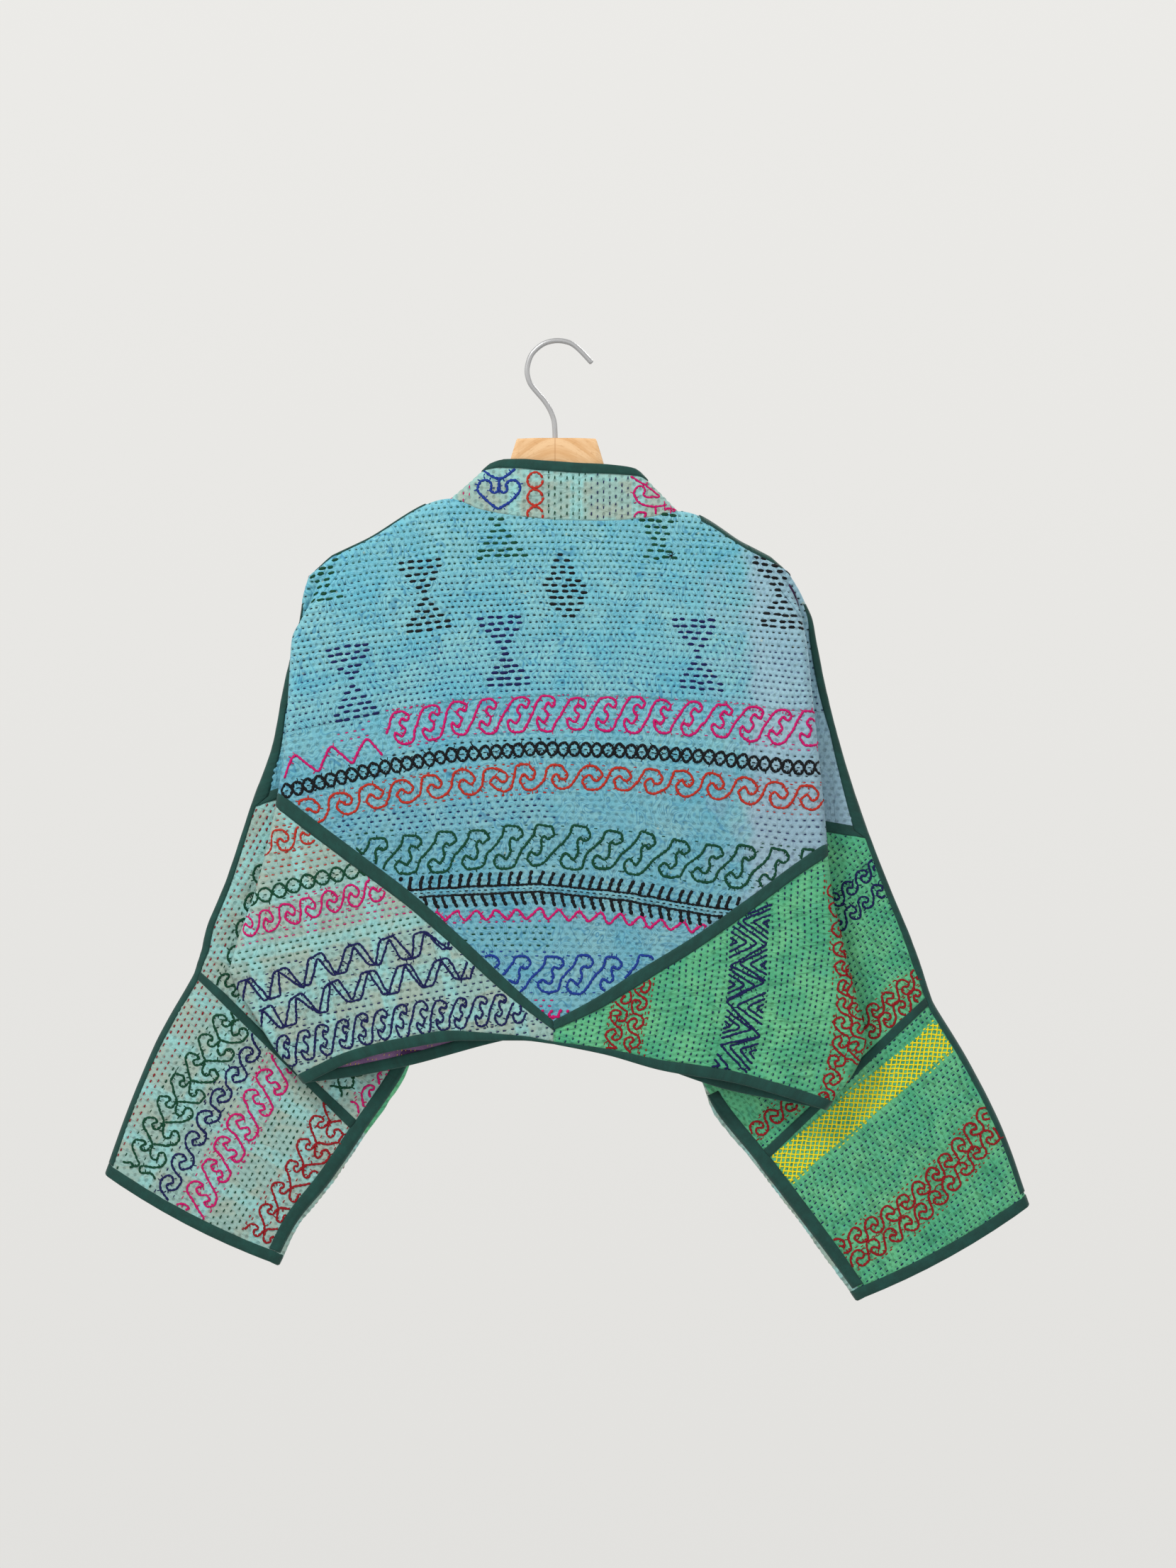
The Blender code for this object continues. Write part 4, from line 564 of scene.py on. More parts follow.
class Fine:
    """One half of the back or of the front on a fine grid whose lines pass through all of the frame's own."""

    def __init__(self, side, front):
        self.side, self.front = side, front
        sheet = Sheet(side, front)
        rows, cols = len(ROW_STEPS), len(COLUMNS)
        part = [c[0] for c in COLUMNS]
        block = [r[0] for r in ROW_STEPS]
        self.arm_last = part.count("S") - 1
        self.fold_col = self.arm_last + part.count("P")
        self.neck_col = [i for i, c in enumerate(COLUMNS) if c == ("B", "t", NECK_T)][0]
        self.centre_col = cols - 1
        self.dia_row, self.end_row = block.index("M") - 1, block.index("L") - 1
        self.seam_row, self.cuff_row = block.index("C") - 1, rows - 1
        starts = {"U": 0.0, "M": 1.0, "L": 2.0, "C": 3.0}

        def at(kind, x, level):
            number = min(int(level), 3)
            if kind == "B":
                return sheet.body(x, min(level, 3.0))
            v = self.row_label(sheet, kind, x, number, level - number)
            return sheet.sleeve(x, v) if kind == "S" else sheet.in_pleat(x, v)

        def milli(p):
            px, pz = place(p[0], p[1])
            return np.array([float(px), float(p[2]), float(pz)])

        share = np.full((rows, cols), np.nan)
        run = np.full((rows, cols), np.nan)  # row label for S and P, level for B
        level = np.full((rows, cols), np.nan)
        for i, (b, kind_r, value_r) in enumerate(ROW_STEPS):
            for j, (own, kind, value) in enumerate(COLUMNS):
                if own == "B" and b == "C":
                    continue
                if own == "P" and b in "LC":
                    if b == "C" or part[j + 1] == "P":
                        continue
                    own = "B"
                guess = starts[b] + (value_r if kind_r == "share" else 0.5)
                if own == "B":
                    x = value if part[j] == "B" else 0.0
                    if kind == "edge":
                        near_edge = [milli(at(own, e, guess)) for e in (0.9, 1.0)]
                        x = 1 - 0.1 * value / np.linalg.norm(near_edge[1] - near_edge[0])
                else:
                    ends = [milli(at(own, e, guess)) for e in (0.0, 1.0)]
                    wide = max(np.hypot(*(ends[1] - ends[0])[[0, 2]]), 3.0)
                    start = 1 - min(TURN_MM, 0.3 * wide) / wide if own == "S" else 1.0
                    x = 1 - (1 - start) * (1 - value) if kind == "turn" else value * start if kind == "share" else share_of(kind, value, wide)
                a, c = milli(at(own, x, starts[b])), milli(at(own, x, starts[b] + 0.999999))
                long = max(np.hypot(*(c - a)[[0, 2]]), 1.0)
                step = value_r
                if value_r == TAPE_WIDE / 2 and own == "B":
                    step = HEM_STEP if b == "L" else value_r * STEEP
                f = min(share_of(kind_r, step, long), 0.999999)
                share[i, j], level[i, j] = x, starts[b] + f
                run[i, j] = starts[b] + f if own == "B" else self.row_label(sheet, own, x, int(starts[b]), f)
        good = ~np.isnan(share)
        cells = good[:-1, :-1] & good[1:, :-1] & good[:-1, 1:] & good[1:, 1:]
        for j in range(cols - 1):
            for i in range(rows - 1):
                if block[i + 1] in "LC" and part[j + 1] == "P":
                    cells[i, j] = False
        # Fine lines.
        at_rows, self.ri = [0.0], [0]
        for i, n in enumerate(ROW_CUTS):
            s = packed(n, True) if i in (0, 1) else packed(n, False) if i in (10, 18) else np.linspace(0, 1, n + 1)
            at_rows += list(i + s[1:])
            self.ri.append(len(at_rows) - 1)
        at_rows = np.array(at_rows)
        total_cols = 1 + sum(COLUMN_CUTS)
        self.cj = [0]
        self.points = np.full((len(at_rows), total_cols, 3), np.nan)
        self.drawn = np.full((len(at_rows), total_cols, 2), np.nan)
        self.cells = np.zeros((len(at_rows) - 1, total_cols - 1), bool)
        self.region = np.zeros((len(at_rows) - 1, total_cols - 1), np.int8)  # 1 sleeve, 2 pleat, 3 body
        index = np.arange(rows)
        coarse_row = np.minimum(at_rows.astype(int), rows - 2)
        for j, n in enumerate(COLUMN_CUTS):
            own = part[j + 1]
            s = packed(n, True) if j in (0, 9, 13) else packed(n, False) if j in (7, 11) else np.linspace(0, 1, n + 1)
            left_x = np.zeros(rows) if own != part[j] else share[:, j]
            left_v = level[:, j] if own == "B" and part[j] == "P" else run[:, j]
            sure = ~np.isnan(left_x + share[:, j + 1] + left_v + run[:, j + 1])
            r_ok = at_rows <= index[sure].max() + 1e-9
            fill = lambda values: np.interp(at_rows, index[sure], values[sure])
            lx, rx, lv, rv = fill(left_x), fill(share[:, j + 1]), fill(left_v), fill(run[:, j + 1])
            x = lx[:, None] + (rx - lx)[:, None] * s
            v = lv[:, None] + (rv - lv)[:, None] * s
            if own == "B":
                u, w, y = sheet.body(x, np.minimum(v, 3.0))
            elif own == "S":
                u, w, y = sheet.sleeve(x, v)
            else:
                u, w, y = sheet.in_pleat(x, v)
            px, pz = place(u, w)
            block_points = np.stack([px, y, pz], axis=2)
            block_points[~r_ok] = np.nan
            c0 = self.cj[-1]
            keep_first = 0 if j == 0 or np.isnan(self.points[:, c0, 0]).all() else 1
            self.points[:, c0 + keep_first : c0 + n + 1] = np.where(
                r_ok[:, None, None], block_points[:, keep_first:], self.points[:, c0 + keep_first : c0 + n + 1]
            )
            missing = np.isnan(self.points[:, c0, 0]) & r_ok
            self.points[missing, c0] = block_points[missing, 0]
            uw = np.stack([u, w], axis=2)
            self.drawn[:, c0 + keep_first : c0 + n + 1] = uw[:, keep_first:]
            self.drawn[missing, c0] = uw[missing, 0]
            used = cells[:, j][coarse_row[:-1]]
            self.cells[:, c0 : c0 + n] = used[:, None]
            self.region[:, c0 : c0 + n] = {"S": 1, "P": 2, "B": 3}[own]
            self.cj.append(c0 + n)
        self.ri = np.array(self.ri)
        self.cj = np.array(self.cj)
        # Where the pleat starts, the two layers change places, so they part a little.
        shift = np.zeros((rows, cols))
        for row, front_by, back_by in CROSSING[side]:
            shift[row, self.arm_last : self.fold_col] = front_by if front else -back_by
        self.points[:, :, 0] += self.spread(shift, at_rows) * (1.0 if side == "left" else -1.0)
        touch = np.zeros((rows, cols))
        touch[self.end_row + 1, self.arm_last] = GAP if front else -GAP
        self.points[:, :, 1] += self.spread(touch, at_rows)
        self.out = (-1.0 if side == "left" else 1.0) * (-1.0 if front else 1.0)
        flags = np.zeros(self.points.shape[:2], bool)
        flags[:, 0] = True
        flags[0, : self.cj[self.neck_col] + 1] = True
        flags[self.ri[self.end_row] : self.ri[self.seam_row] + 1, self.cj[self.fold_col]] = True
        flags[self.ri[self.end_row], self.cj[self.arm_last] : self.cj[self.fold_col] + 1] = True
        flags[self.ri[self.end_row] : self.ri[self.end_row + 1] + 1, self.cj[self.arm_last]] = True
        self.flags = flags

    @staticmethod
    def row_label(sheet, kind, x, number, f):
        seam = sheet.seam_row("sleeve" if kind == "S" else "pleat", x)
        end = sheet.end_pleat if kind == "S" else sheet.end_row(x)
        a, b = ((0.0, seam), (seam, end), (PLEAT_END, SLEEVE_SEAM), (SLEEVE_SEAM, CUFF))[number]
        return a + (b - a) * f

    def spread(self, coarse, at_rows):
        """Values on the frame's lines, carried linearly to the fine ones."""
        across = np.empty((coarse.shape[0], self.points.shape[1]))
        where = np.concatenate([[0.0]] + [j + np.linspace(0, 1, n + 1)[1:] for j, n in enumerate(COLUMN_CUTS)])
        for i in range(coarse.shape[0]):
            across[i] = np.interp(where, np.arange(coarse.shape[1]), coarse[i])
        out = np.empty((len(at_rows), across.shape[1]))
        for k in range(across.shape[1]):
            out[:, k] = np.interp(at_rows, np.arange(coarse.shape[0]), across[:, k])
        return out


def unit(a):
    return a / np.maximum(np.linalg.norm(a, axis=-1, keepdims=True), 1e-9)


def grid_normals(points, cells):
    """Unit normals at a grid's points, from the cells in use."""
    p = np.nan_to_num(points)
    n = np.cross(p[1:, 1:] - p[:-1, :-1], p[1:, :-1] - p[:-1, 1:])
    n = unit(n) * cells[:, :, None]
    total = np.zeros(points.shape)
    total[:-1, :-1] += n
    total[:-1, 1:] += n
    total[1:, 1:] += n
    total[1:, :-1] += n
    return unit(total)


def levelled(normals, flags):
    """Rims of the rounded seams face along the drawing's plane, so that back and front meet there."""
    turned = normals * np.array([1.0, 0.0, 1.0])
    size = np.linalg.norm(turned, axis=2, keepdims=True)
    return np.where(flags[:, :, None] & (size > 0.2), unit(turned), normals)


def steps_along(points, axis):
    """Running length along a grid's lines, in mm."""
    d = np.linalg.norm(np.nan_to_num(np.diff(points, axis=axis)), axis=2)
    zero = np.zeros((1, points.shape[1])) if axis == 0 else np.zeros((points.shape[0], 1))
    return np.concatenate([zero, np.cumsum(d, axis=axis)], axis=axis)


def relief(half):
    """How far the cloth stands out of its even form, in mm: quilting ripples, puckers and soft creases."""
    u, w = half.drawn[:, :, 0], half.drawn[:, :, 1]
    u, w = np.nan_to_num(u), np.nan_to_num(w)
    side, front = half.side[0], "f" if half.front else "b"
    down, over = steps_along(half.points, 0), steps_along(half.points, 1)
    seed = {"l": 3, "r": 11}[side] + (40 if half.front else 0)
    puckers = 0.30 * noise(u / 15.0, w / 11.0, seed) + 0.34 * noise(u / 42.0 + 0.2 * noise(w / 30.0, u / 30.0, seed + 1), w / 34.0, seed + 2)
    puckers += 0.5 * noise(u / 95.0, w / 120.0, seed + 3)
    wave = np.zeros(u.shape)
    rows = np.arange(u.shape[0])[:, None] + np.zeros(u.shape)
    part_col = np.arange(u.shape[1])[None, :] + np.zeros(u.shape)
    in_sleeve = part_col <= half.cj[half.arm_last]
    for region, where in (
        ("top", rows <= half.ri[half.dia_row]),
        ("body", (rows > half.ri[half.dia_row]) & ~in_sleeve),
        ("sleeve", (rows > half.ri[half.dia_row]) & in_sleeve & (rows <= half.ri[half.seam_row])),
        ("cuff", rows > half.ri[half.seam_row]),
    ):
        key = front + side + "_" + region
        across, along_ = family(key, u, w)
        warp = 1.6 * noise(u / 30.0, w / 30.0, seed + 5)
        green = key in ("br_body", "br_sleeve", "br_cuff", "fl_body", "fl_sleeve")
        if green:
            ripple = 0.5 * np.cos(2 * np.pi * (along_ + warp + 1.4 * np.sin(across / 9.0)) / 9.4) * (0.8 + 0.4 * noise(u / 25.0, w / 25.0, seed + 6))
            ripple += 0.20 * np.abs(np.sin(np.pi * across / (9.0 if region == "body" else 8.6)))
        elif region == "top":
            ripple = 0.62 * np.abs(np.sin(np.pi * across / ROW_PITCH)) ** 0.8 - 0.3 + 0.16 * np.cos(2 * np.pi * (along_ + 2 * warp) / (2 * STITCH_PITCH))
        else:
            ripple = 0.40 * np.cos(2 * np.pi * (along_ + warp + 1.2 * np.sin(across / 7.0)) / 9.0) * (0.75 + 0.4 * noise(u / 22.0, w / 22.0, seed + 7))
            ripple += 0.22 * np.abs(np.sin(np.pi * across / 9.0))
        wave = np.where(where, ripple, wave)
    creases = np.zeros(u.shape)
    for a, b, c, d, deep, wide in CREASES_FRONT if half.front else CREASES_BACK:
        run = np.array([c - a, d - b], float)
        long = np.hypot(*run)
        t = ((u - a) * run[0] + (w - b) * run[1]) / long**2
        off = ((u - a) * run[1] - (w - b) * run[0]) / long + 5.0 * np.sin(3.0 * t + a)
        fade = smooth((t + 0.12) / 0.35) * (1 - smooth((t - 0.75) / 0.37))
        creases += deep * fade * np.exp(-((off * UNIT / wide) ** 2))
    far = np.full(u.shape, 99.0)
    for i in (0, half.dia_row, half.end_row, half.seam_row, half.cuff_row):
        near = np.abs(down - down[half.ri[i]][None, :])
        if i == half.end_row:
            near = np.where(in_sleeve | (part_col > half.cj[half.fold_col]), 99.0, near)
        far = np.minimum(far, near)
    hold = smooth((far - 3.0) / 8.0)
    edge = np.full(u.shape, 99.0)
    for j in (0, half.arm_last, half.fold_col) + ((half.centre_col,) if half.front else ()):
        edge = np.minimum(edge, np.abs(over - over[:, half.cj[j]][:, None]))
    hold_edge = smooth((edge - 2.0) / 10.0)
    inside = (part_col > half.cj[half.arm_last]) & (part_col < half.cj[half.fold_col])
    lower = rows > half.ri[half.end_row]
    creases = creases * np.where(inside, 0.3, 1.0)
    total = (wave + puckers) * hold * np.maximum(hold_edge, 0.35 * (edge > 0.5)) + creases * hold * hold_edge
    return np.clip(total, -1.8, 1.8) * np.where(inside & ~lower, 0.6, 1.0)


def add_mesh(name, verts, faces, materials, which=None, uv=None, flat=None):
    """A mesh piece from points in mm. which: material number of each face. uv: a pair for each vertex, or for each corner. flat: faces that aren't shaded smooth."""
    mesh = bpy.data.meshes.new(name)
    mesh.from_pydata(np.asarray(verts, float) * 0.001, [], faces)
    for material in materials:
        mesh.materials.append(material)
    if which is not None:
        mesh.polygons.foreach_set("material_index", np.asarray(which, np.int32))
    if flat is None:
        mesh.shade_smooth()
    else:
        mesh.polygons.foreach_set("use_smooth", ~np.asarray(flat, bool))
    if uv is not None:
        layer = mesh.uv_layers.new(name="UVMap")
        corner = np.empty(len(mesh.loops), np.int32)
        mesh.loops.foreach_get("vertex_index", corner)
        uv = np.asarray(uv, np.float32)
        layer.data.foreach_set("uv", (uv[corner] if len(uv) == len(mesh.vertices) else uv).ravel())
    mesh.update()
    thing = bpy.data.objects.new(name, mesh)
    bpy.context.scene.collection.objects.link(thing)
    return thing


def wall_mesh(points, normals, bump, cells, out, thick, kept_rows, kept_cols, lift=0.0, shape=None):
    """Closed wall on a grid: fine outer face, inner face on every few lines, and a rim between them.
    Returns points, faces, kinds (0 outer, 1 inner, 2 rim) and the grid index of each point."""
    rows, cols = cells.shape
    number = np.arange((rows + 1) * (cols + 1)).reshape(rows + 1, cols + 1)
    half = thick / 2 if shape is None else shape
    outer = points + normals * (lift + half + bump)[:, :, None] if np.ndim(lift + half + bump) else points + normals * (lift + half)
    inner = points + normals * (lift - thick / 2 + 0.6 * bump)[:, :, None] if np.ndim(bump) else points + normals * (lift - thick / 2)
    size = number.size
    verts = np.concatenate([outer.reshape(-1, 3), inner.reshape(-1, 3)])
    i, j = np.nonzero(cells)
    front = np.stack([number[i, j], number[i, j + 1], number[i + 1, j + 1], number[i + 1, j]], axis=1)
    if out < 0:
        front = front[:, ::-1]
    faces, kinds = front.tolist(), [0] * len(front)
    keep_r = [r for r in kept_rows]
    keep_c = [c for c in kept_cols]
    for r0, r1 in zip(keep_r, keep_r[1:]):
        used = [cells[r0, c0] for c0 in keep_c[:-1]]
        for k, (c0, c1) in enumerate(zip(keep_c, keep_c[1:])):
            if not used[k]:
                continue
            above = r0 == 0 or not cells[r0 - 1, c0]
            below = r1 == rows or not cells[r1, c0]
            left = c0 == 0 or not cells[r0, c0 - 1]
            right = c1 == cols or not cells[r0, c1]
            ring = [number[r0, c] for c in (range(c0, c1) if above else (c0,))]
            ring += [number[r, c1] for r in (range(r0, r1) if right else (r0,))]
            ring += [number[r1, c] for c in (range(c1, c0, -1) if below else (c1,))]
            ring += [number[r, c0] for r in (range(r1, r0, -1) if left else (r1,))]
            ring = [int(n) + size for n in ring]
            faces.append(ring if out < 0 else ring[::-1])
            kinds.append(1)
    padded = np.zeros((rows + 2, cols + 2), bool)
    padded[1:-1, 1:-1] = cells
    rim = []
    for (di, dj), (a, b) in (
        ((-1, 0), ((0, 0), (0, 1))), ((0, 1), ((0, 1), (1, 1))), ((1, 0), ((1, 1), (1, 0))), ((0, -1), ((1, 0), (0, 0))),
    ):
        open_ = cells & ~padded[1 + di : 1 + di + rows, 1 + dj : 1 + dj + cols]
        i, j = np.nonzero(open_)
        p, q = number[i + a[0], j + a[1]], number[i + b[0], j + b[1]]
        quad = np.stack([q, p, p + size, q + size], axis=1)
        rim.append(quad if out > 0 else quad[:, ::-1])
    rim = np.concatenate(rim)
    faces += rim.tolist()
    kinds += [2] * len(rim)
    used = np.unique(np.fromiter((v for f in faces for v in f), np.int64))
    back = np.full(2 * size, -1, np.int64)
    back[used] = np.arange(len(used))
    flat_list = np.fromiter((v for f in faces for v in f), np.int64)
    flat_list = back[flat_list].tolist()
    lengths, packed_faces, at = [len(f) for f in faces], [], 0
    for n in lengths:
        packed_faces.append(flat_list[at : at + n])
        at += n
    return verts[used], packed_faces, np.array(kinds), used % size


def kept_lines(marks, every):
    """Every few lines between the frame's own, which are all kept."""
    lines = []
    for a, b in zip(marks, marks[1:]):
        lines += list(range(a, b, every))
    return lines + [int(marks[-1])]


def masked(cells, r0, r1, c0, c1):
    keep = np.zeros(cells.shape, bool)
    keep[r0:r1, c0:c1] = True
    return keep & cells


# Rows of running stitches: where a zone lies, in drawing units, and its pitch between rows and along them, the stitch's
# half length and half width in mm.
ZONE_COLUMNS = ("u0", "u1", "w0", "w1", "row", "pitch", "long", "wide")
ZONE_TABLE = {
    "top": (360, 1215, 640, 1475, 8.6, 12.0, 1.6, 0.74),
    "body_mint": (325, 800, 1100, 1530, 9.0, 10.5, 1.8, 0.76),
    "body_green": (775, 1270, 1130, 1570, 9.0, 8.0, 1.5, 0.76),
    "sleeve_mint": (255, 500, 1080, 1640, 9.0, 10.0, 1.8, 0.76),
    "sleeve_green": (1070, 1345, 1130, 1640, 8.6, 8.0, 1.5, 0.76),
    "cuff_mint": (140, 580, 1370, 1800, 9.0, 10.0, 1.8, 0.76),
    "cuff_green": (1070, 1470, 1390, 1850, 8.6, 8.6, 1.6, 0.78),
}


def table_of(key):
    region = key[3:]
    green = key in ("br_body", "br_sleeve", "br_cuff", "fl_body", "fl_sleeve")
    return ZONE_TABLE["top" if region in ("top", "topsleeve") else region + ("_green" if green else "_mint")]


FINE_PITCH, FINE_LEVEL, FIGURE_PITCH = 8.8, 982.0, 13.0


def pitch_of(key, across):
    """Stitch pitch of a row: finer on the upper back than among the embroidered rows."""
    pitch = table_of(key)[5]
    if key[3:] in ("top", "topsleeve"):
        return np.where(across < FINE_LEVEL, FINE_PITCH, pitch)
    return np.full(np.shape(across), pitch)


def row_drift(row, spot):
    """How far a stitch lies from its even place: along the row, in pitches, along it again and across it in drawing units."""
    return 0.30 * noise(row * 0.7, row * 0.0 + 3.5, 21) + 0.12 * noise(row * 1.3, spot * 0.9, 22), 1.8 * noise(row * 0.31, spot / 5.0, 24), 1.7 * noise(spot / 5.0, row * 0.41, 23)


def quilted(key, u, w):
    """Places in units of stitches: (along, across), whole numbers at the stitches of even rows, halves along odd ones."""
    row_step = table_of(key)[4]
    across, along_ = family(key, u, w)
    pitch = pitch_of(key, across)
    row, spot = across / row_step, along_ / pitch
    share, more, off = row_drift(row, spot)
    return np.stack([(along_ - more) / pitch - share, (across - off) / row_step], axis=-1)


# ---------------------------------------------------------------- materials
def srgb(text):
    """Linear colour of a hexadecimal screen colour."""
    c = np.array([int(text[k : k + 2], 16) for k in (0, 2, 4)]) / 255.0
    c = np.where(c <= 0.04045, c / 12.92, ((c + 0.055) / 1.055) ** 2.4)
    return (float(c[0]), float(c[1]), float(c[2]), 1.0)


class Nodes:
    """Small helper for node trees."""

    def __init__(self, name, rough=0.9, sheen=0.0, specular=0.3, metallic=0.0):
        self.material = bpy.data.materials.new(name)
        self.material.use_nodes = True
        self.tree = self.material.node_tree
        self.shader = self.tree.nodes["Principled BSDF"]
        self.shader.inputs["Roughness"].default_value = rough
        self.shader.inputs["Specular IOR Level"].default_value = specular
        self.shader.inputs["Metallic"].default_value = metallic
        if sheen:
            self.shader.inputs["Sheen Weight"].default_value = sheen
            self.shader.inputs["Sheen Roughness"].default_value = 0.45

    def node(self, kind, values=(), **settings):
        made = self.tree.nodes.new("ShaderNode" + kind)
        for key, value in settings.items():
            setattr(made, key, value)
        for key, value in dict(values).items():
            if isinstance(value, bpy.types.NodeSocket):
                self.tree.links.new(value, made.inputs[key])
            else:
                made.inputs[key].default_value = value
        return made

    def uv(self, scale=(1, 1, 1), turn=0.0, shift=(0, 0, 0)):
        coords = self.node("TexCoord").outputs["UV"]
        return self.node("Mapping", {"Vector": coords, "Scale": scale, "Rotation": (0, 0, turn), "Location": shift}).outputs["Vector"]

    def space(self, scale=(1, 1, 1)):
        coords = self.node("TexCoord").outputs["Object"]
        return self.node("Mapping", {"Vector": coords, "Scale": scale}).outputs["Vector"]

    def noise(self, vector, scale, detail=2.0, rough=0.5, distortion=0.0):
        return self.node("TexNoise", {"Vector": vector, "Scale": scale, "Detail": detail, "Roughness": rough, "Distortion": distortion}).outputs["Fac"]

    def math(self, operation, a, b=0.0, c=0.0):
        made = self.node("Math", operation=operation)
        for k, value in enumerate((a, b, c)):
            if isinstance(value, bpy.types.NodeSocket):
                self.tree.links.new(value, made.inputs[k])
            else:
                made.inputs[k].default_value = value
        return made.outputs[0]

    def ramp(self, value, low, high, to_low=0.0, to_high=1.0):
        return self.node(
            "MapRange", {"Value": value, "From Min": low, "From Max": high, "To Min": to_low, "To Max": to_high},
            interpolation_type="SMOOTHSTEP",
        ).outputs["Result"]

    def mix(self, factor, a, b, blend="MIX"):
        made = self.node("Mix", data_type="RGBA", blend_type=blend)
        for key, value in ((0, factor), (6, a), (7, b)):
            if isinstance(value, bpy.types.NodeSocket):
                self.tree.links.new(value, made.inputs[key])
            else:
                made.inputs[key].default_value = value
        return made.outputs[2]

    def colour(self, socket):
        self.tree.links.new(socket, self.shader.inputs["Base Color"])

    def rough(self, socket):
        self.tree.links.new(socket, self.shader.inputs["Roughness"])

    def bump(self, *layers):
        """Layers of (height, strength, distance), from coarse to fine."""
        normal = None
        for height, strength, distance in layers:
            made = self.node("Bump", {"Height": height, "Strength": strength, "Distance": distance})
            if normal is not None:
                self.tree.links.new(normal, made.inputs["Normal"])
            normal = made.outputs["Normal"]
        self.tree.links.new(normal, self.shader.inputs["Normal"])

    def split(self, vector):
        made = self.node("SeparateXYZ", {"Vector": vector})
        return made.outputs["X"], made.outputs["Y"]


# UV maps hold centimetres of cloth.
def weave(n, per_cm=16.0):
    x, y = n.split(n.uv())
    warp = n.math("SINE", n.math("MULTIPLY", x, per_cm * 6.283))
    weft = n.math("SINE", n.math("MULTIPLY", y, per_cm * 6.283))
    return n.math("MULTIPLY", warp, weft)


def stitches_pull(n):
    """Height of the quilted cloth round its stitches: dimples and the valleys along their rows, from the Quilt
    coordinates. cloth() uses it for bump and also paints shade into the colour from it.
    """
    a, b = n.split(n.node("UVMap", uv_map="Quilt").outputs["UV"])
    row = n.math("ROUND", b)
    odd = n.math("FLOORED_MODULO", row, 2.0)
    off = n.math("SUBTRACT", n.math("FRACT", n.math("ADD", n.math("SUBTRACT", a, n.math("MULTIPLY", odd, 0.5)), 0.5)), 0.5)
    side = n.math("SUBTRACT", b, row)
    along_ = n.math("MULTIPLY", off, 1.15)
    dist = n.math("SQRT", n.math("ADD", n.math("MULTIPLY", along_, along_), n.math("MULTIPLY", side, side)))
    dimple = n.ramp(dist, 0.12, 0.40, 0.0, 1.0)
    valley = n.ramp(n.math("ABSOLUTE", side), 0.0, 0.42, 0.0, 1.0)
    return n.math("ADD", n.math("MULTIPLY", dimple, 0.78), n.math("MULTIPLY", valley, 0.22))


def puckers(n):
    """Thin wavy creases that cross the stitched rows: 0 in a crease, 1 beside it. cloth() uses it for bump and also
    paints shade into the colour from it.
    """
    coords = n.node("UVMap", uv_map="Quilt").outputs["UV"]
    spread = n.node("Mapping", {"Vector": coords, "Scale": (1.0, 0.20, 1.0)}).outputs["Vector"]
    off = n.math("ABSOLUTE", n.math("SUBTRACT", n.noise(spread, 0.62, 1.0, 0.4, 0.3), 0.5))
    return n.ramp(off, 0.004, 0.040)


def cloth(name, colour_of, sheen=0.12, quilt=True, pucker_shade=0.0):
    n = Nodes(name, rough=0.92, sheen=sheen, specular=0.12)
    colour = colour_of(n)
    if quilt:
        pull = stitches_pull(n)
        # Painted shade: the colour is darkened in the dimples round each stitch and in the valleys along the rows, and
        # lifted a little as a painted highlight on the puffs between them.
        shade = n.ramp(pull, 0.0, 0.85, 0.72, 1.05)
        if pucker_shade:
            # Painted shade along the thin crease lines, with a faint painted lightening beside them; the cloth's last
            # argument sets how dark the creases are painted.
            crease = puckers(n)
            shade = n.math("MULTIPLY", shade, n.ramp(crease, 0.0, 1.0, 1.0 - pucker_shade, 1.0 + 0.12 * pucker_shade))
        colour = n.mix(1.0, colour, n.node("CombineColor", {"Red": shade, "Green": shade, "Blue": shade}).outputs["Color"], "MULTIPLY")
    slub = n.noise(n.uv((1, 9, 1)), 6.0, 3.0, 0.6)
    slub2 = n.noise(n.uv((9, 1, 1)), 6.0, 3.0, 0.6)
    thread = n.ramp(n.math("ADD", slub, slub2), 0.75, 1.25, 0.90, 1.07)
    n.colour(n.mix(1.0, colour, n.node("CombineColor", {"Red": thread, "Green": thread, "Blue": thread}).outputs["Color"], "MULTIPLY"))
    n.rough(n.ramp(slub, 0.3, 0.7, 0.84, 0.97))
    crumple = n.noise(n.uv(), 1.6, 3.0, 0.55, 0.4)
    puff = n.noise(n.uv(), 3.4, 2.0, 0.5)
    layers = [(crumple, 0.45, 0.0024), (puff, 0.45, 0.0014)]
    if quilt:
        layers.append((pull, 0.55, 0.0010))
    if quilt and pucker_shade:
        layers.append((crease, 0.5, 0.0005))
    n.bump(*layers, (weave(n), 0.22, 0.0002), (n.math("ADD", slub, slub2), 0.2, 0.0003))
    return n.material


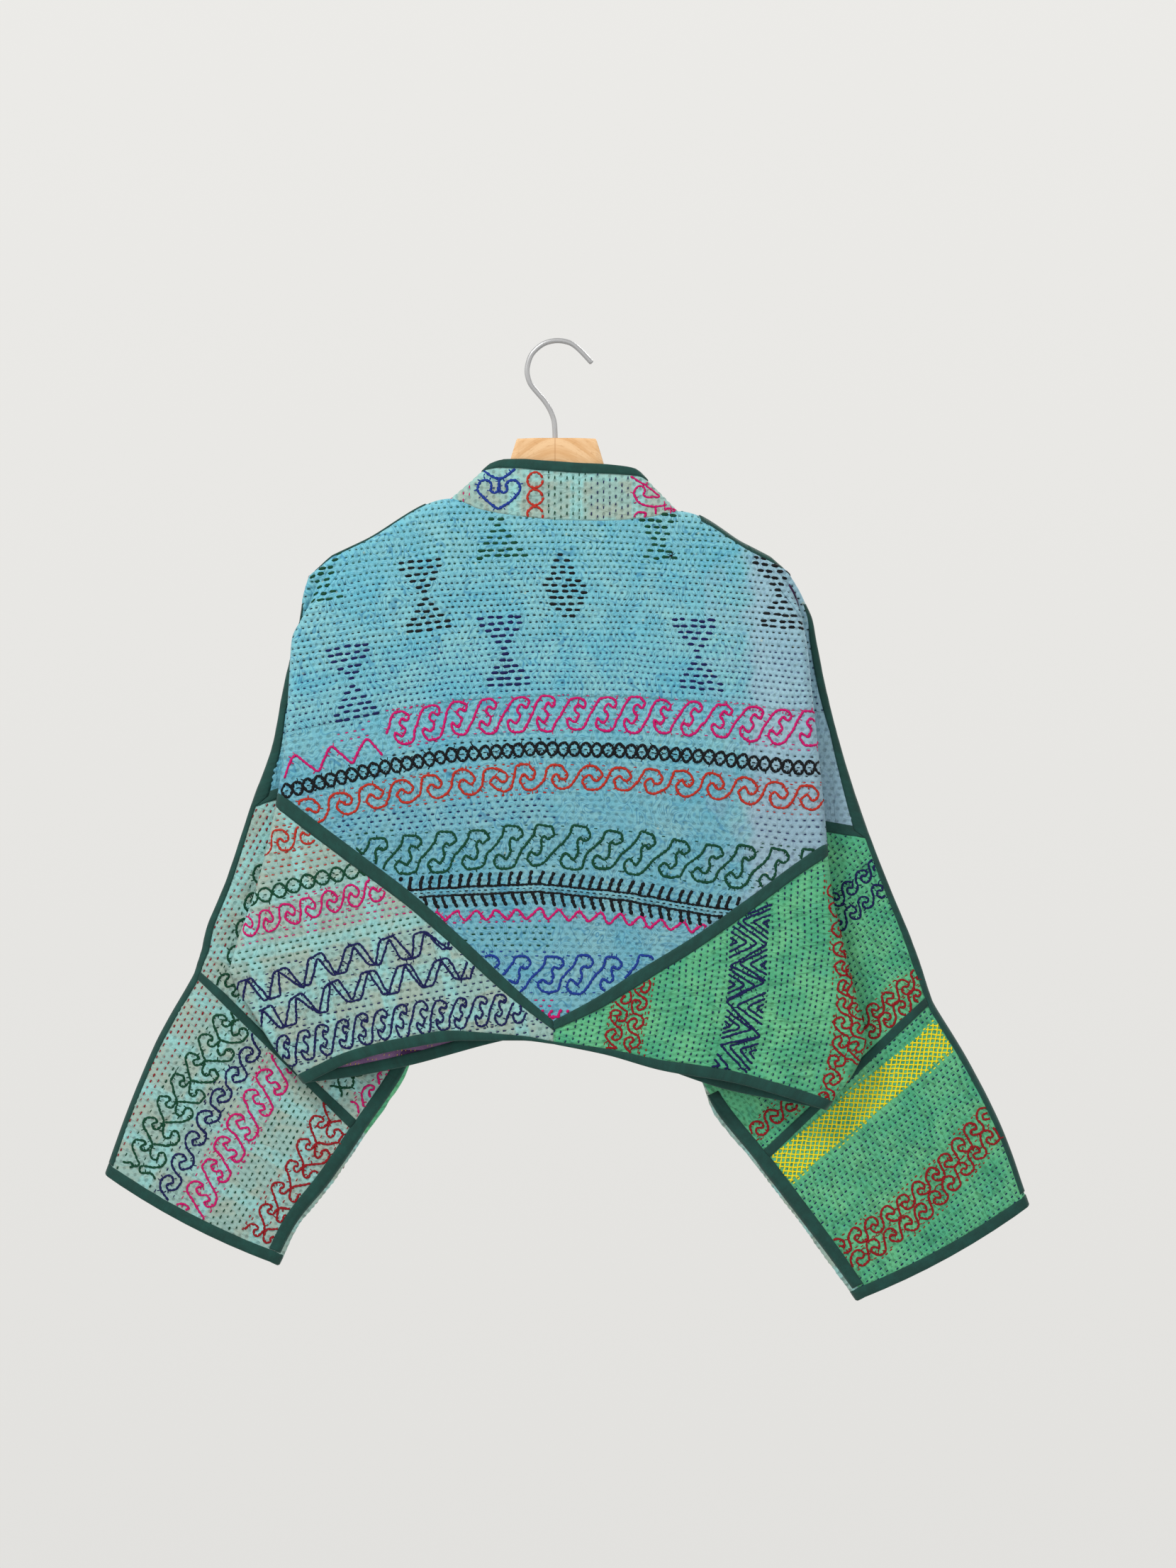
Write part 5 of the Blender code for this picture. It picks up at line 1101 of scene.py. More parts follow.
def teal_colour(n):
    uv = n.uv()
    blot = n.noise(uv, 0.24, 4.0, 0.6, 0.6)
    wear = n.noise(uv, 0.9, 4.0, 0.65)
    base = n.mix(n.ramp(blot, 0.30, 0.70), srgb("66B4C8"), srgb("86C2C9"))
    base = n.mix(n.ramp(wear, 0.40, 0.72, 0.0, 0.8), base, srgb("79BBCB"))
    # The print: fine contour lines round spirals and waves.
    field = n.noise(uv, 0.42, 1.5, 0.45, 1.2)
    rings = n.node("TexVoronoi", {"Vector": n.uv(), "Scale": 0.20, "Randomness": 1.0}, feature="F1", distance="EUCLIDEAN").outputs["Distance"]
    near = n.ramp(rings, 0.18, 0.42, 1.0, 0.0)
    height = n.math("ADD", n.math("MULTIPLY", field, 13.0), n.math("MULTIPLY", n.math("MULTIPLY", rings, near), 18.0))
    lines = n.math("FRACT", height)
    line = n.math("MULTIPLY", n.ramp(lines, 0.06, 0.22), n.ramp(lines, 0.30, 0.52, 1.0, 0.0))
    faint = n.ramp(n.noise(uv, 0.7, 2.0), 0.3, 0.7, 0.30, 0.80)
    base = n.mix(n.math("MULTIPLY", line, faint), base, srgb("3F86AB"))
    # Faded lilac-grey towards the right side, in upright stripes.
    x, y = n.split(uv)
    stray = n.math("MULTIPLY", n.noise(uv, 0.5, 2.0), 2.4)
    side = n.ramp(n.math("ADD", x, stray), 17.6, 19.4, 0.0, 0.62)
    base = n.mix(side, base, srgb("A3BBCB"))
    strip = n.math("MULTIPLY", n.ramp(x, 13.2, 13.6), n.ramp(x, 17.0, 17.6, 1.0, 0.0))
    base = n.mix(n.math("MULTIPLY", strip, n.ramp(n.noise(uv, 0.35, 2.0), 0.45, 0.6, 0.0, 0.35)), base, srgb("8FB6C6"))
    specks = n.node("TexVoronoi", {"Vector": uv, "Scale": 0.55, "Randomness": 1.0}).outputs["Distance"]
    base = n.mix(n.ramp(specks, 0.03, 0.09, 0.30, 0.0), base, srgb("C9C58A"))
    # A little deeper towards the hem.
    height = n.node("SeparateXYZ", {"Vector": n.node("TexCoord").outputs["Object"]}).outputs["Z"]
    tone = n.ramp(height, -0.46, -0.30, 0.87, 1.0)
    return n.mix(1.0, base, n.node("CombineColor", {"Red": n.ramp(height, -0.46, -0.30, 0.95, 1.0), "Green": tone, "Blue": n.ramp(height, -0.46, -0.30, 0.89, 1.0)}).outputs["Color"], "MULTIPLY")


def mint_colour(n):
    uv = n.uv()
    x, y = n.split(uv)
    sand = n.ramp(n.noise(uv, 0.55, 3.0, 0.6, 0.5), 0.42, 0.62)
    base = n.mix(sand, srgb("94B7B1"), srgb("9EB3A8"))
    fleck = n.ramp(n.noise(n.uv((1, 2.2, 1)), 2.6, 3.0, 0.7), 0.60, 0.74, 0.0, 0.26)
    base = n.mix(fleck, base, srgb("BBB397"))
    stray = n.math("MULTIPLY", n.noise(uv, 1.1, 2.0), 0.35)

    def bands(axis, period, share, shift):
        run = n.math("FRACT", n.math("MULTIPLY", n.math("ADD", n.math("ADD", axis, stray), shift), 1.0 / period))
        return n.math("MULTIPLY", n.ramp(run, 0.0, 0.06), n.ramp(run, share, share + 0.07, 1.0, 0.0))

    stripes = n.math("MAXIMUM", bands(x, 5.6, 0.20, 200.4), n.math("MULTIPLY", bands(y, 4.6, 0.26, 201.2), 0.8))
    worn = n.ramp(n.noise(uv, 1.4, 3.0, 0.6), 0.30, 0.66, 0.22, 0.66)
    base = n.mix(n.math("MULTIPLY", stripes, worn), base, srgb("8FD6D8"))
    orange = n.ramp(n.noise(n.uv((1.0, 1.7, 1)), 1.9, 2.0, 0.5), 0.72, 0.80, 0.0, 0.30)
    return n.mix(orange, base, srgb("C9A877"))


def green_colour(n):
    uv = n.uv()
    blot = n.noise(uv, 0.30, 4.0, 0.6, 0.5)
    base = n.mix(n.ramp(blot, 0.32, 0.70), srgb("4CA67D"), srgb("6BBD8A"))
    base = n.mix(n.ramp(n.noise(uv, 1.0, 4.0, 0.65), 0.5, 0.75, 0.0, 0.6), base, srgb("55B095"))
    return n.mix(n.ramp(n.noise(uv, 2.1, 3.0, 0.6), 0.62, 0.74, 0.0, 0.30), base, srgb("8CCB92"))


def inside_colour(n):
    """Inner faces: a worn patchwork of purple, lilac and rust."""
    space = n.space((1, 0.02, 1))
    cell = n.node("TexVoronoi", {"Vector": space, "Scale": 11.0, "Randomness": 0.55}, feature="F1", distance="CHEBYCHEV")
    pick = n.node("SeparateColor", {"Color": cell.outputs["Color"]}).outputs["Red"]
    base = n.mix(n.ramp(pick, 0.40, 0.42), srgb("43294F"), srgb("8A6C93"))
    rust = n.math("MULTIPLY", n.ramp(pick, 0.70, 0.72), n.ramp(n.split(n.space())[0], 0.05, 0.06))
    base = n.mix(rust, base, srgb("A5603A"))
    return n.mix(n.ramp(n.noise(space, 60.0, 3.0), 0.45, 0.7, 0.0, 0.5), base, srgb("5D4070"))


def tape_material():
    n = Nodes("binding_tape", rough=0.78, sheen=0.15, specular=0.25)
    x, y = n.split(n.uv())
    twill = n.math("SINE", n.math("MULTIPLY", n.math("ADD", x, n.math("MULTIPLY", y, 0.7)), 75.0))
    age = n.noise(n.uv(), 0.8, 4.0, 0.65)
    base = n.mix(n.ramp(age, 0.35, 0.7), srgb("133B36"), srgb("1D4A44"))
    base = n.mix(n.ramp(twill, -0.4, 1.0, 0.0, 0.25), base, srgb("2A5A52"))
    n.colour(base)
    rib = n.math("SINE", n.math("MULTIPLY", x, 16.0))
    n.bump((n.noise(n.uv(), 1.8, 2.0), 0.35, 0.001), (rib, 0.10, 0.0003), (twill, 0.25, 0.00015))
    n.rough(n.ramp(age, 0.3, 0.7, 0.70, 0.86))
    return n.material


def floss(name, text):
    n = Nodes("floss_" + name, rough=0.68, specular=0.2)
    shade = n.noise(n.space(), 900.0, 2.0, 0.6)
    dark, light = srgb(text), tuple(min(c * 1.15 + 0.002, 1.0) for c in srgb(text)[:3]) + (1.0,)
    n.colour(n.mix(n.ramp(shade, 0.35, 0.7), dark, light))
    n.bump((n.noise(n.space(), 2200.0, 1.0), 0.4, 0.0003))
    return n.material


def beech_material():
    n = Nodes("beech", rough=0.42, specular=0.4)
    parts = n.node("SeparateXYZ", {"Vector": n.node("TexCoord").outputs["Object"]}).outputs
    x, z = parts["X"], parts["Z"]
    aside = n.math("SUBTRACT", x, -0.0016)
    off = n.math("SQRT", n.math("ADD", n.math("MULTIPLY", aside, aside), 0.0003))
    along_ = n.math("ADD", n.math("MULTIPLY", off, 0.80), n.math("MULTIPLY", z, -0.60))
    across = n.math("ADD", n.math("MULTIPLY", off, 0.60), n.math("MULTIPLY", z, 0.80))
    grain = n.node("CombineXYZ", {"X": n.math("MULTIPLY", along_, 0.10), "Y": across}).outputs[0]
    rings = n.noise(grain, 210.0, 4.0, 0.6, 0.3)
    base = n.mix(n.ramp(rings, 0.38, 0.66), srgb("EBC496"), srgb("D9A873"))
    flecks = n.node("CombineXYZ", {"X": n.math("MULTIPLY", along_, 0.35), "Y": across}).outputs[0]
    fleck = n.ramp(n.noise(flecks, 900.0, 2.0, 0.7), 0.58, 0.70, 0.0, 0.5)
    base = n.mix(fleck, base, srgb("C08A55"))
    line = n.ramp(n.math("ABSOLUTE", n.math("SUBTRACT", x, -0.0016)), 0.0003, 0.0009, 0.45, 0.0)
    n.colour(n.mix(line, base, srgb("B98352")))
    n.rough(n.ramp(rings, 0.3, 0.7, 0.36, 0.5))
    n.bump((rings, 0.12, 0.0003), (n.noise(flecks, 900.0, 2.0), 0.08, 0.0001))
    return n.material


def steel_material():
    n = Nodes("steel_wire", rough=0.42, specular=0.5, metallic=0.5)
    n.colour(n.mix(n.noise(n.space(), 60.0, 2.0), srgb("ABACAF"), srgb("BDBEBF")))
    n.rough(n.ramp(n.noise(n.space(), 200.0, 2.0), 0.3, 0.7, 0.38, 0.48))
    return n.material


# The last argument sets how dark the painted shade in each cloth's thin creases is.
TEAL = cloth("quilt_teal", teal_colour, pucker_shade=0.06)
MINT = cloth("quilt_mint", mint_colour, pucker_shade=0.11)
GREEN = cloth("quilt_green", green_colour, pucker_shade=0.24)
INSIDE = cloth("patched_inside", inside_colour, quilt=False)
TAPE_GREEN = tape_material()
FLOSS = {
    name: floss(name, text)
    for name, text in (
        ("navy", "12174E"), ("black", "070A0F"), ("pink", "C00865"), ("red", "B02C1E"), ("deep", "04402A"),
        ("blue", "17358A"), ("yellow", "F2DA16"), ("crimson", "8E101A"),
    )
}

# ---------------------------------------------------------------- shells
EVERY = 3
surface = {"verts": [], "faces": [], "zone": [], "count": 0}  # all that a needle can reach
ZONES = []


def reachable(verts, faces, zone_names):
    surface["verts"].append(np.asarray(verts))
    base = surface["count"]
    surface["faces"] += [[v + base for v in f] for f in faces]
    surface["count"] += len(verts)
    for z in zone_names:
        if z not in ZONES:
            ZONES.append(z)
    numbers = {z: ZONES.index(z) for z in set(zone_names)}
    surface["zone"] += [numbers[z] for z in zone_names]


def cloth_area(points, cells):
    p = np.nan_to_num(points)
    cross = np.cross(p[1:, 1:] - p[:-1, :-1], p[1:, :-1] - p[:-1, 1:])
    return float((np.linalg.norm(cross, axis=2) / 2 * cells).sum()) * 1e-6


def flat_size(points, cells):
    """Width and length of the smallest even cut that holds a panel: its longest row and its longest column, in metres."""
    across = np.linalg.norm(np.nan_to_num(np.diff(points, axis=1)), axis=2)
    down = np.linalg.norm(np.nan_to_num(np.diff(points, axis=0)), axis=2)
    rows = (across[:-1] * cells).sum(axis=1).max()
    cols = (down[:, :-1] * cells).sum(axis=0).max()
    return float(rows) * 1e-3, float(cols) * 1e-3


SHEETS = []


def state_sheet(piece, area, size):
    width, length = (round(max(x, 0.0102), 4) for x in size)
    area = round(min(area, width * length), 6)
    if area < 0.32 * width * length:
        width = round(area / 0.34 / length, 4)
    SHEETS.append((piece.name, width, length, area))


class Panel:
    """Grid, normals and relief of a layer, from which panels and tapes are taken."""

    def __init__(self, points, cells, flags, out, bump, drawn, names):
        self.points, self.cells, self.out, self.bump, self.drawn, self.names = points, cells, out, bump, drawn, names
        self.normals = levelled(grid_normals(points, cells) * out, flags)


def put_panel(name, layer, cells, material, marks_r, marks_c, uv):
    lit = np.nan_to_num(layer.bump)
    verts, faces, kinds, source = wall_mesh(
        np.nan_to_num(layer.points), layer.normals, lit, cells, layer.out, CLOTH, kept_lines(marks_r, EVERY), kept_lines(marks_c, EVERY)
    )
    piece = add_mesh(name, verts, faces, [material, INSIDE], np.where(kinds == 1, 1, 0), uv.reshape(-1, 2)[source], kinds == 2)
    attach(piece, "root")
    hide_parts(name)
    i, j = np.nonzero(cells)
    outer = [str(z) for z in layer.names[i, j]]
    mesh = piece.data
    corner = np.empty(len(mesh.loops), np.int32)
    mesh.loops.foreach_get("vertex_index", corner)
    starts = np.empty(len(mesh.polygons), np.int32)
    sizes = np.empty(len(mesh.polygons), np.int32)
    mesh.polygons.foreach_get("loop_start", starts)
    mesh.polygons.foreach_get("loop_total", sizes)
    zone_of_face = np.array(outer + [outer[0]] * (len(faces) - len(outer)))
    zone_of_corner = np.repeat(zone_of_face, sizes)
    at = source[corner]
    flat_drawn = np.nan_to_num(layer.drawn).reshape(-1, 2)
    quilt = np.zeros((len(corner), 2), np.float32)
    for key in set(outer):
        where = zone_of_corner == key
        if key == "collar":
            quilt[where] = np.stack([flat_drawn[at[where], 1] / 12.0, flat_drawn[at[where], 0] / 8.6], axis=1)
        else:
            quilt[where] = quilted(key, flat_drawn[at[where], 0], flat_drawn[at[where], 1])
    mesh.uv_layers.new(name="Quilt", do_init=False).data.foreach_set("uv", quilt.ravel())
    rest = ["inside_" + name] * (len(faces) - len(outer))
    reachable(verts, faces, outer + rest)
    state_sheet(piece, cloth_area(layer.points, cells), flat_size(layer.points, cells))
    return piece


def zone_names(half):
    names = np.empty(half.cells.shape, dtype=object)
    key = ("f" if half.front else "b") + half.side[0] + "_"
    rows = np.arange(half.cells.shape[0])[:, None] + np.zeros(half.cells.shape, int)
    sleeve = half.region == 1
    names[:] = key + "body"
    names[sleeve] = key + "sleeve"
    top = rows < half.ri[half.dia_row]
    names[top] = key + "top"
    names[top & sleeve & (rows > half.ri[4])] = key + "topsleeve"
    names[rows >= half.ri[half.seam_row]] = key + "cuff"
    return names


def unfolded(half):
    """Cloth coordinates for the materials, in centimetres: the drawing's own, turned back at folds and along each sleeve."""
    u, w = np.nan_to_num(half.drawn[:, :, 0]), np.nan_to_num(half.drawn[:, :, 1])
    x, z = (u - CENTRE_U) * UNIT / 10, (HOOK_W - w) * UNIT / 10
    fold_u = u[:, half.cj[half.fold_col]][:, None]
    fold_u = np.where(fold_u == 0, u, fold_u)
    cols = np.arange(u.shape[1])[None, :]
    pleat = (cols >= half.cj[half.arm_last]) & (cols < half.cj[half.fold_col])
    rows = np.arange(u.shape[0])[:, None]
    lower = rows >= half.ri[half.dia_row]
    turned = (2 * fold_u - u - CENTRE_U) * UNIT / 10
    x = np.where(pleat & lower, turned, x)
    tilt = 0.197 if (half.side == "left") != half.front else 0.03
    if half.front and half.side == "right":
        tilt = -0.197
    body = np.stack([x - 0 * z, z], axis=2)
    angle = np.where(lower, np.arctan(tilt), 0.0)
    bx = x * np.cos(angle) + z * np.sin(angle)
    bz = -x * np.sin(angle) + z * np.cos(angle)
    body = np.stack([bx, bz], axis=2)
    ax, az = SLEEVE_AXIS if half.side == "left" else (SEAM_AXIS[0], SEAM_AXIS[1])
    if half.front and half.side == "right":
        ax, az = -SLEEVE_AXIS[0], SLEEVE_AXIS[1]
    sx = ((u - CENTRE_U) * az - w * ax) * UNIT / 10
    sy = (-(u - CENTRE_U) * ax - w * az) * UNIT / 10
    sleeve = np.stack([sx, sy], axis=2)
    in_sleeve = (cols <= half.cj[half.arm_last]) & (rows > half.ri[half.dia_row])
    return np.where(in_sleeve[:, :, None], sleeve, body)


grids = {(side, front): Fine(side, front) for side in ("left", "right") for front in (False, True)}
L, R = grids["left", False], grids["right", False]
lift_l, lift_r = relief(L), relief(R)
middle_lift = (lift_l[:, -1:] + lift_r[:, -1:]) / 2
near_l = np.linspace(0, 1, 12)[None, :] ** 2
lift_l[:, -12:] += (middle_lift - lift_l[:, -1:]) * near_l
lift_r[:, -12:] += (middle_lift - lift_r[:, -1:]) * near_l
join = lambda a, b: np.concatenate([a, b[:, ::-1][:, 1:]], axis=1)
back = Panel(
    join(L.points, R.points), np.concatenate([L.cells, R.cells[:, ::-1]], axis=1), join(L.flags, R.flags), -1.0,
    join(lift_l, lift_r), join(L.drawn, R.drawn), np.concatenate([zone_names(L), zone_names(R)[:, ::-1]], axis=1),
)
back_uv = join(unfolded(L), unfolded(R))
LAST = back.points.shape[1] - 1
fronts = {}
for side in ("left", "right"):
    g = grids[side, True]
    fronts[side] = Panel(g.points, g.cells, g.flags, g.out, relief(g), g.drawn, zone_names(g))

ri, cj = L.ri, L.cj
D, E, S, C = ri[L.dia_row], ri[L.end_row], ri[L.seam_row], ri[L.cuff_row]
ARM, FOLD, MID = cj[L.arm_last], cj[L.fold_col], cj[L.centre_col]
# Where the front rolls round the sleeve's underarm edge, both pieces' rims face the same way.
for side, f in fronts.items():
    j = ARM if side == "left" else LAST - ARM
    first, last_ = ri[L.end_row + 1], ri[L.end_row + 3]
    goal = back.normals[last_, j].copy()
    start = f.normals[first, ARM].copy()
    for r in range(first, last_ + 1):
        t = (r - first) / (last_ - first)
        shared = unit((1 - t) * start + t * goal)
        f.normals[r, ARM] = shared
        back.normals[r, j] = shared
    f.normals[last_:, ARM] = back.normals[last_:, j]

marks_back = list(cj) + [LAST - c for c in cj[::-1][1:]]
put_panel("back_centre", back, masked(back.cells, 0, D, 0, LAST), TEAL, ri, marks_back, back_uv)
for side, c0, c1, material, slot in (("left", 0, MID, MINT, "quilt_mint"), ("right", MID, LAST, GREEN, "quilt_green")):
    put_panel("back_lower_" + side, back, masked(back.cells, D, S, c0, c1), material, ri, marks_back, back_uv)
    k0, k1 = (0, ARM) if side == "left" else (LAST - ARM, LAST)
    put_panel("back_cuff_" + side, back, masked(back.cells, S, C, k0, k1), material, ri, marks_back, back_uv)
for side, lower, slot in (("left", GREEN, "quilt_green"), ("right", MINT, "quilt_mint")):
    f = fronts[side]
    uv = unfolded(grids[side, True])
    put_panel("front_upper_" + side, f, masked(f.cells, 0, D, 0, MID), TEAL, ri, cj, uv)
    put_panel("front_lower_" + side, f, masked(f.cells, D, S, 0, MID), lower, ri, cj, uv)
    put_panel("front_cuff_" + side, f, masked(f.cells, S, C, 0, ARM), MINT, ri, cj, uv)


# ---------------------------------------------------------------- tapes
def tape_uv(grid):
    """Centimetres along and across a tape's grid of [across, along]."""
    along_ = np.concatenate([[0.0], np.cumsum(np.linalg.norm(np.diff(grid[len(grid) // 2], axis=0), axis=1))]) / 10
    across = np.concatenate([[0.0], np.cumsum(np.linalg.norm(np.diff(grid[:, grid.shape[1] // 2], axis=0), axis=1))]) / 10
    a, b = np.meshgrid(along_, across)
    return np.stack([a, b], axis=2)


def put_tape(name, points, normals):
    """Tape on a grid of a panel's points, [across, along], moved out, crowned and thin at its edges."""
    cells = np.ones((points.shape[0] - 1, points.shape[1] - 1), bool)
    facing = (grid_normals(points, cells) * normals).sum()
    s = np.linspace(0, 1, points.shape[0])[:, None]
    crown = np.clip(1 - np.abs(2 * s - 1) ** 4, 0, 1) ** 0.5
    wobble = 0.10 * noise(np.arange(points.shape[1])[None, :] / 3.0, s * 2.0, len(name))
    top = CLOTH / 2 + GAP + 0.30 + 0.62 * crown + wobble
    if name.startswith(("tape_shoulder", "tape_overarm")):
        lead = np.linalg.norm(points[len(points) // 2] - points[len(points) // 2, -1 if "shoulder" in name else 0], axis=1)[None, :]
        top = CLOTH / 2 + 0.2 + (top - CLOTH / 2 - 0.2) * (0.12 + 0.88 * smooth(lead / 16.0))
    number = np.arange(points.shape[0] * points.shape[1]).reshape(points.shape[:2])
    outer = points + normals * top[:, :, None]
    inner = points + normals * (CLOTH / 2 + 0.12)
    return put_closed(name, outer, inner, number, 1.0 if facing > 0 else -1.0, points)


def put_closed(name, outer, inner, number, out, points):
    rows, cols = number.shape
    size = number.size
    a, b, c, d = number[:-1, :-1].ravel(), number[:-1, 1:].ravel(), number[1:, 1:].ravel(), number[1:, :-1].ravel()
    face = np.stack([a, b, c, d], axis=1)
    under = face[:, ::-1] + size
    ring = np.concatenate([number[0, :-1], number[:-1, -1], number[-1, :0:-1], number[:0:-1, 0]])
    after = np.roll(ring, -1)
    rim = np.stack([after, ring, ring + size, after + size], axis=1)
    faces = np.concatenate([face, under, rim])
    if out < 0:
        faces = faces[:, ::-1]
    verts = np.concatenate([outer.reshape(-1, 3), inner.reshape(-1, 3)])
    uv = tape_uv(points).reshape(-1, 2)
    piece = add_mesh(name, verts, faces.tolist(), [TAPE_GREEN], uv=np.concatenate([uv, uv]))
    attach(piece, "root")
    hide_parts(name)
    reachable(verts, faces.tolist(), ["tape"] * len(faces))
    cells = np.ones((rows - 1, cols - 1), bool)
    width, length = flat_size(outer, cells)[::-1]
    state_sheet(piece, cloth_area(outer, cells), (width, length))
    return piece


def thinned(items, every=2):
    """Every second station, with the first and the last."""
    items = list(items)
    kept = items[::every]
    return kept if kept[-1] == items[-1] else kept + [items[-1]]


def put_binding(name, lines, lines_n, wide=TAPE_WIDE, over=GAP, closed=False, thick=CLOTH):
    """Tape folded over a free edge. lines: [station, k] points from the edge inwards, lines_n their normals."""
    outs, ins = [], []
    reach = (wide, wide * 0.96, wide * 0.66, wide * 0.33, 0.0)
    tall = (0.25, 0.72, 0.90, 0.92, 0.90)
    for number, (line, line_n) in enumerate(zip(lines, lines_n)):
        run = np.concatenate([[0.0], np.cumsum(np.linalg.norm(np.diff(line, axis=0), axis=1))])
        lim = run[-1] * 0.98
        spot = lambda d: np.array([np.interp(min(d, lim), run, line[:, k]) for k in range(3)])
        turn = lambda d: unit(np.array([np.interp(min(d, lim), run, line_n[:, k]) for k in range(3)]))
        edge, n = line[0], line_n[0]
        away = unit(edge - spot(1.5))
        wob = 0.08 * float(noise(number / 2.5, 0.5, len(name) + 3))
        b = thick / 2 + GAP
        one, two = [], []
        for d, t in zip(reach, tall):
            one.append(spot(d) + turn(d) * (b + t * TAPE + wob))
            two.append(spot(d) - turn(d) * (b + t * TAPE + wob))
        round_ = []
        for angle in (40, 75, 105, 140):
            a = np.radians(angle)
            round_.append(edge + n * np.cos(a) * (b + TAPE * 0.9) + away * np.sin(a) * (over + TAPE))
        outs.append(one + round_ + two[::-1])
        inner = [spot(d) + turn(d) * (b - 0.12) for d in (wide, wide * 0.5)] + [edge + n * (b - 0.12) + away * over, edge - n * (b - 0.12) + away * over]
        inner += [spot(d) - turn(d) * (b - 0.12) for d in (wide * 0.5, wide)]
        ins.append(inner)
    outs, ins = np.array(outs), np.array(ins)
    m, k = outs.shape[1], ins.shape[1]
    ring = np.concatenate([outs, ins[:, ::-1]], axis=1)
    count, across = ring.shape[:2]
    number = np.arange(count * across).reshape(count, across)
    follow = np.roll(number, -1, axis=0) if closed else number[1:]
    here = number if closed else number[:-1]
    here_next, follow_next = np.roll(here, -1, axis=1), np.roll(follow, -1, axis=1)
    faces = np.stack([here, here_next, follow_next, follow], axis=2).reshape(-1, 4).tolist()
    if not closed:
        faces += [list(map(int, number[0][::-1])), list(map(int, number[-1]))]
    verts = ring.reshape(-1, 3)
    centre = verts.mean(axis=0)
    volume = sum(
        float(np.dot(verts[f[0]] - centre, np.cross(verts[f[q]] - centre, verts[f[q + 1]] - centre))) for f in faces for q in range(1, len(f) - 1)
    )
    if volume < 0:
        faces = [f[::-1] for f in faces]
    along_ = np.concatenate([[0.0], np.cumsum(np.linalg.norm(np.diff(outs[:, m // 2], axis=0), axis=1))]) / 10
    across_cm = np.concatenate([[0.0], np.cumsum(np.linalg.norm(np.diff(outs[count // 2], axis=0), axis=1)) / 10, np.zeros(k)])
    uv = np.stack([np.broadcast_to(along_[:, None], (count, across)), np.broadcast_to(across_cm[None, :across], (count, across))], axis=2)
    piece = add_mesh(name, verts, faces, [TAPE_GREEN], uv=uv.reshape(-1, 2))
    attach(piece, "root")
    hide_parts(name)
    reachable(verts, faces, ["tape"] * len(faces))
    area = cloth_area(outs, np.ones((count - 1, m - 1), bool))
    width = float(np.linalg.norm(np.diff(outs, axis=1), axis=2).sum(axis=1).max()) * 1e-3
    state_sheet(piece, area, (width, float(along_[-1]) / 100 * 1.02 + 0.001))
    return piece


def take(layer, rows, cols):
    grid = np.ix_(list(rows), list(cols))
    return layer.points[grid], layer.normals[grid]


for side in ("left", "right"):
    f = fronts[side]
    turn = (lambda j: j) if side == "left" else (lambda j: LAST - j)
    # Shoulder tape, from the neck to the hanger's end, and over-arm tape, down the sleeve's outer edge.
    cols = thinned(range(cj[L.neck_col - 1], cj[3] - 1, -1))
    deep = ri[2]
    # On the left the tape lies mostly on the front.
    bp, bn = take(back, range(ri[1] if side == "left" else deep, -1, -1), [turn(j) for j in cols])
    fp, fn = take(f, range(1, deep + 1), cols)
    put_tape("tape_shoulder_" + side, np.concatenate([bp, fp]), np.concatenate([bn, fn]))
    rows = thinned(range(ri[3], ri[L.cuff_row - 1] + 1))
    deep = cj[2]
    bp, bn = take(back, rows, [turn(j) for j in range(deep, -1, -1)])
    fp, fn = take(f, rows, range(1, deep + 1))
    put_tape("tape_overarm_" + side, np.concatenate([bp, fp], axis=1).transpose(1, 0, 2), np.concatenate([bn, fn], axis=1).transpose(1, 0, 2))
    # Underarm tape on the sleeve.
    rows = thinned(range(ri[L.end_row + 2], ri[L.cuff_row - 1] + 1))
    bp, bn = take(back, rows, [turn(j) for j in range(cj[L.arm_last - 2], ARM + 1)])
    fp, fn = take(f, rows, range(ARM - 1, cj[L.arm_last - 1] - 1, -1))
    put_tape("tape_underarm_" + side, np.concatenate([bp, fp], axis=1).transpose(1, 0, 2), np.concatenate([bn, fn], axis=1).transpose(1, 0, 2))
    # Diagonal tapes of the back and of the front.
    rows = range(ri[L.dia_row - 1], ri[L.dia_row + 1] + 1)
    cols = thinned(range(cj[L.fold_col - 1], MID + 1))
    p, n = take(back, rows, [turn(j) for j in cols])
    p = p.copy()
    p[:, -1, 0] += -0.2 if side == "left" else 0.2
    put_tape("tape_diagonal_" + side, p, n)
    cols = thinned(range(cj[2], cj[L.arm_last - 4] - 1))
    p, n = take(back, rows, [turn(j) for j in cols])
    put_tape("tape_diagonal_sleeve_" + side, p, n)
    p, n = take(f, rows, thinned(range(cj[L.fold_col + 1], cj[L.centre_col - 1] + 1)))
    put_tape("tape_diagonal_front_" + side, p, n)
    p, n = take(f, rows, thinned(range(cj[2], cj[L.arm_last - 3] + 1)))
    put_tape("tape_sleeve_yoke_" + side, p, n)
    # Sleeve seam tapes.
    rows = range(ri[L.seam_row - 1], ri[L.seam_row + 1] + 1)
    cols = thinned(range(cj[2], cj[L.arm_last - 2] + 1))
    p, n = take(back, rows, [turn(j) for j in cols])
    put_tape("tape_sleeve_back_" + side, p, n)
    p, n = take(f, rows, cols)
    put_tape("tape_sleeve_front_" + side, p, n)
    # Sleeve end.
    ring = [(back, turn(j)) for j in thinned(range(ARM + 1))] + [(f, j) for j in thinned(range(ARM - 1, 0, -1))]
    rows = list(range(C, C - 8, -1))
    put_binding("tape_cuff_" + side, [g.points[rows, j] for g, j in ring], [g.normals[rows, j] for g, j in ring], closed=True)
ring = [(fronts["left"], j) for j in thinned(range(MID, FOLD, -1))]
ring += [(back, j) for j in thinned(range(FOLD, LAST - FOLD + 1))]
ring += [(fronts["right"], j) for j in thinned(range(FOLD + 1, MID + 1))]
rows = list(range(S, ri[L.seam_row - 1] - 1, -1))
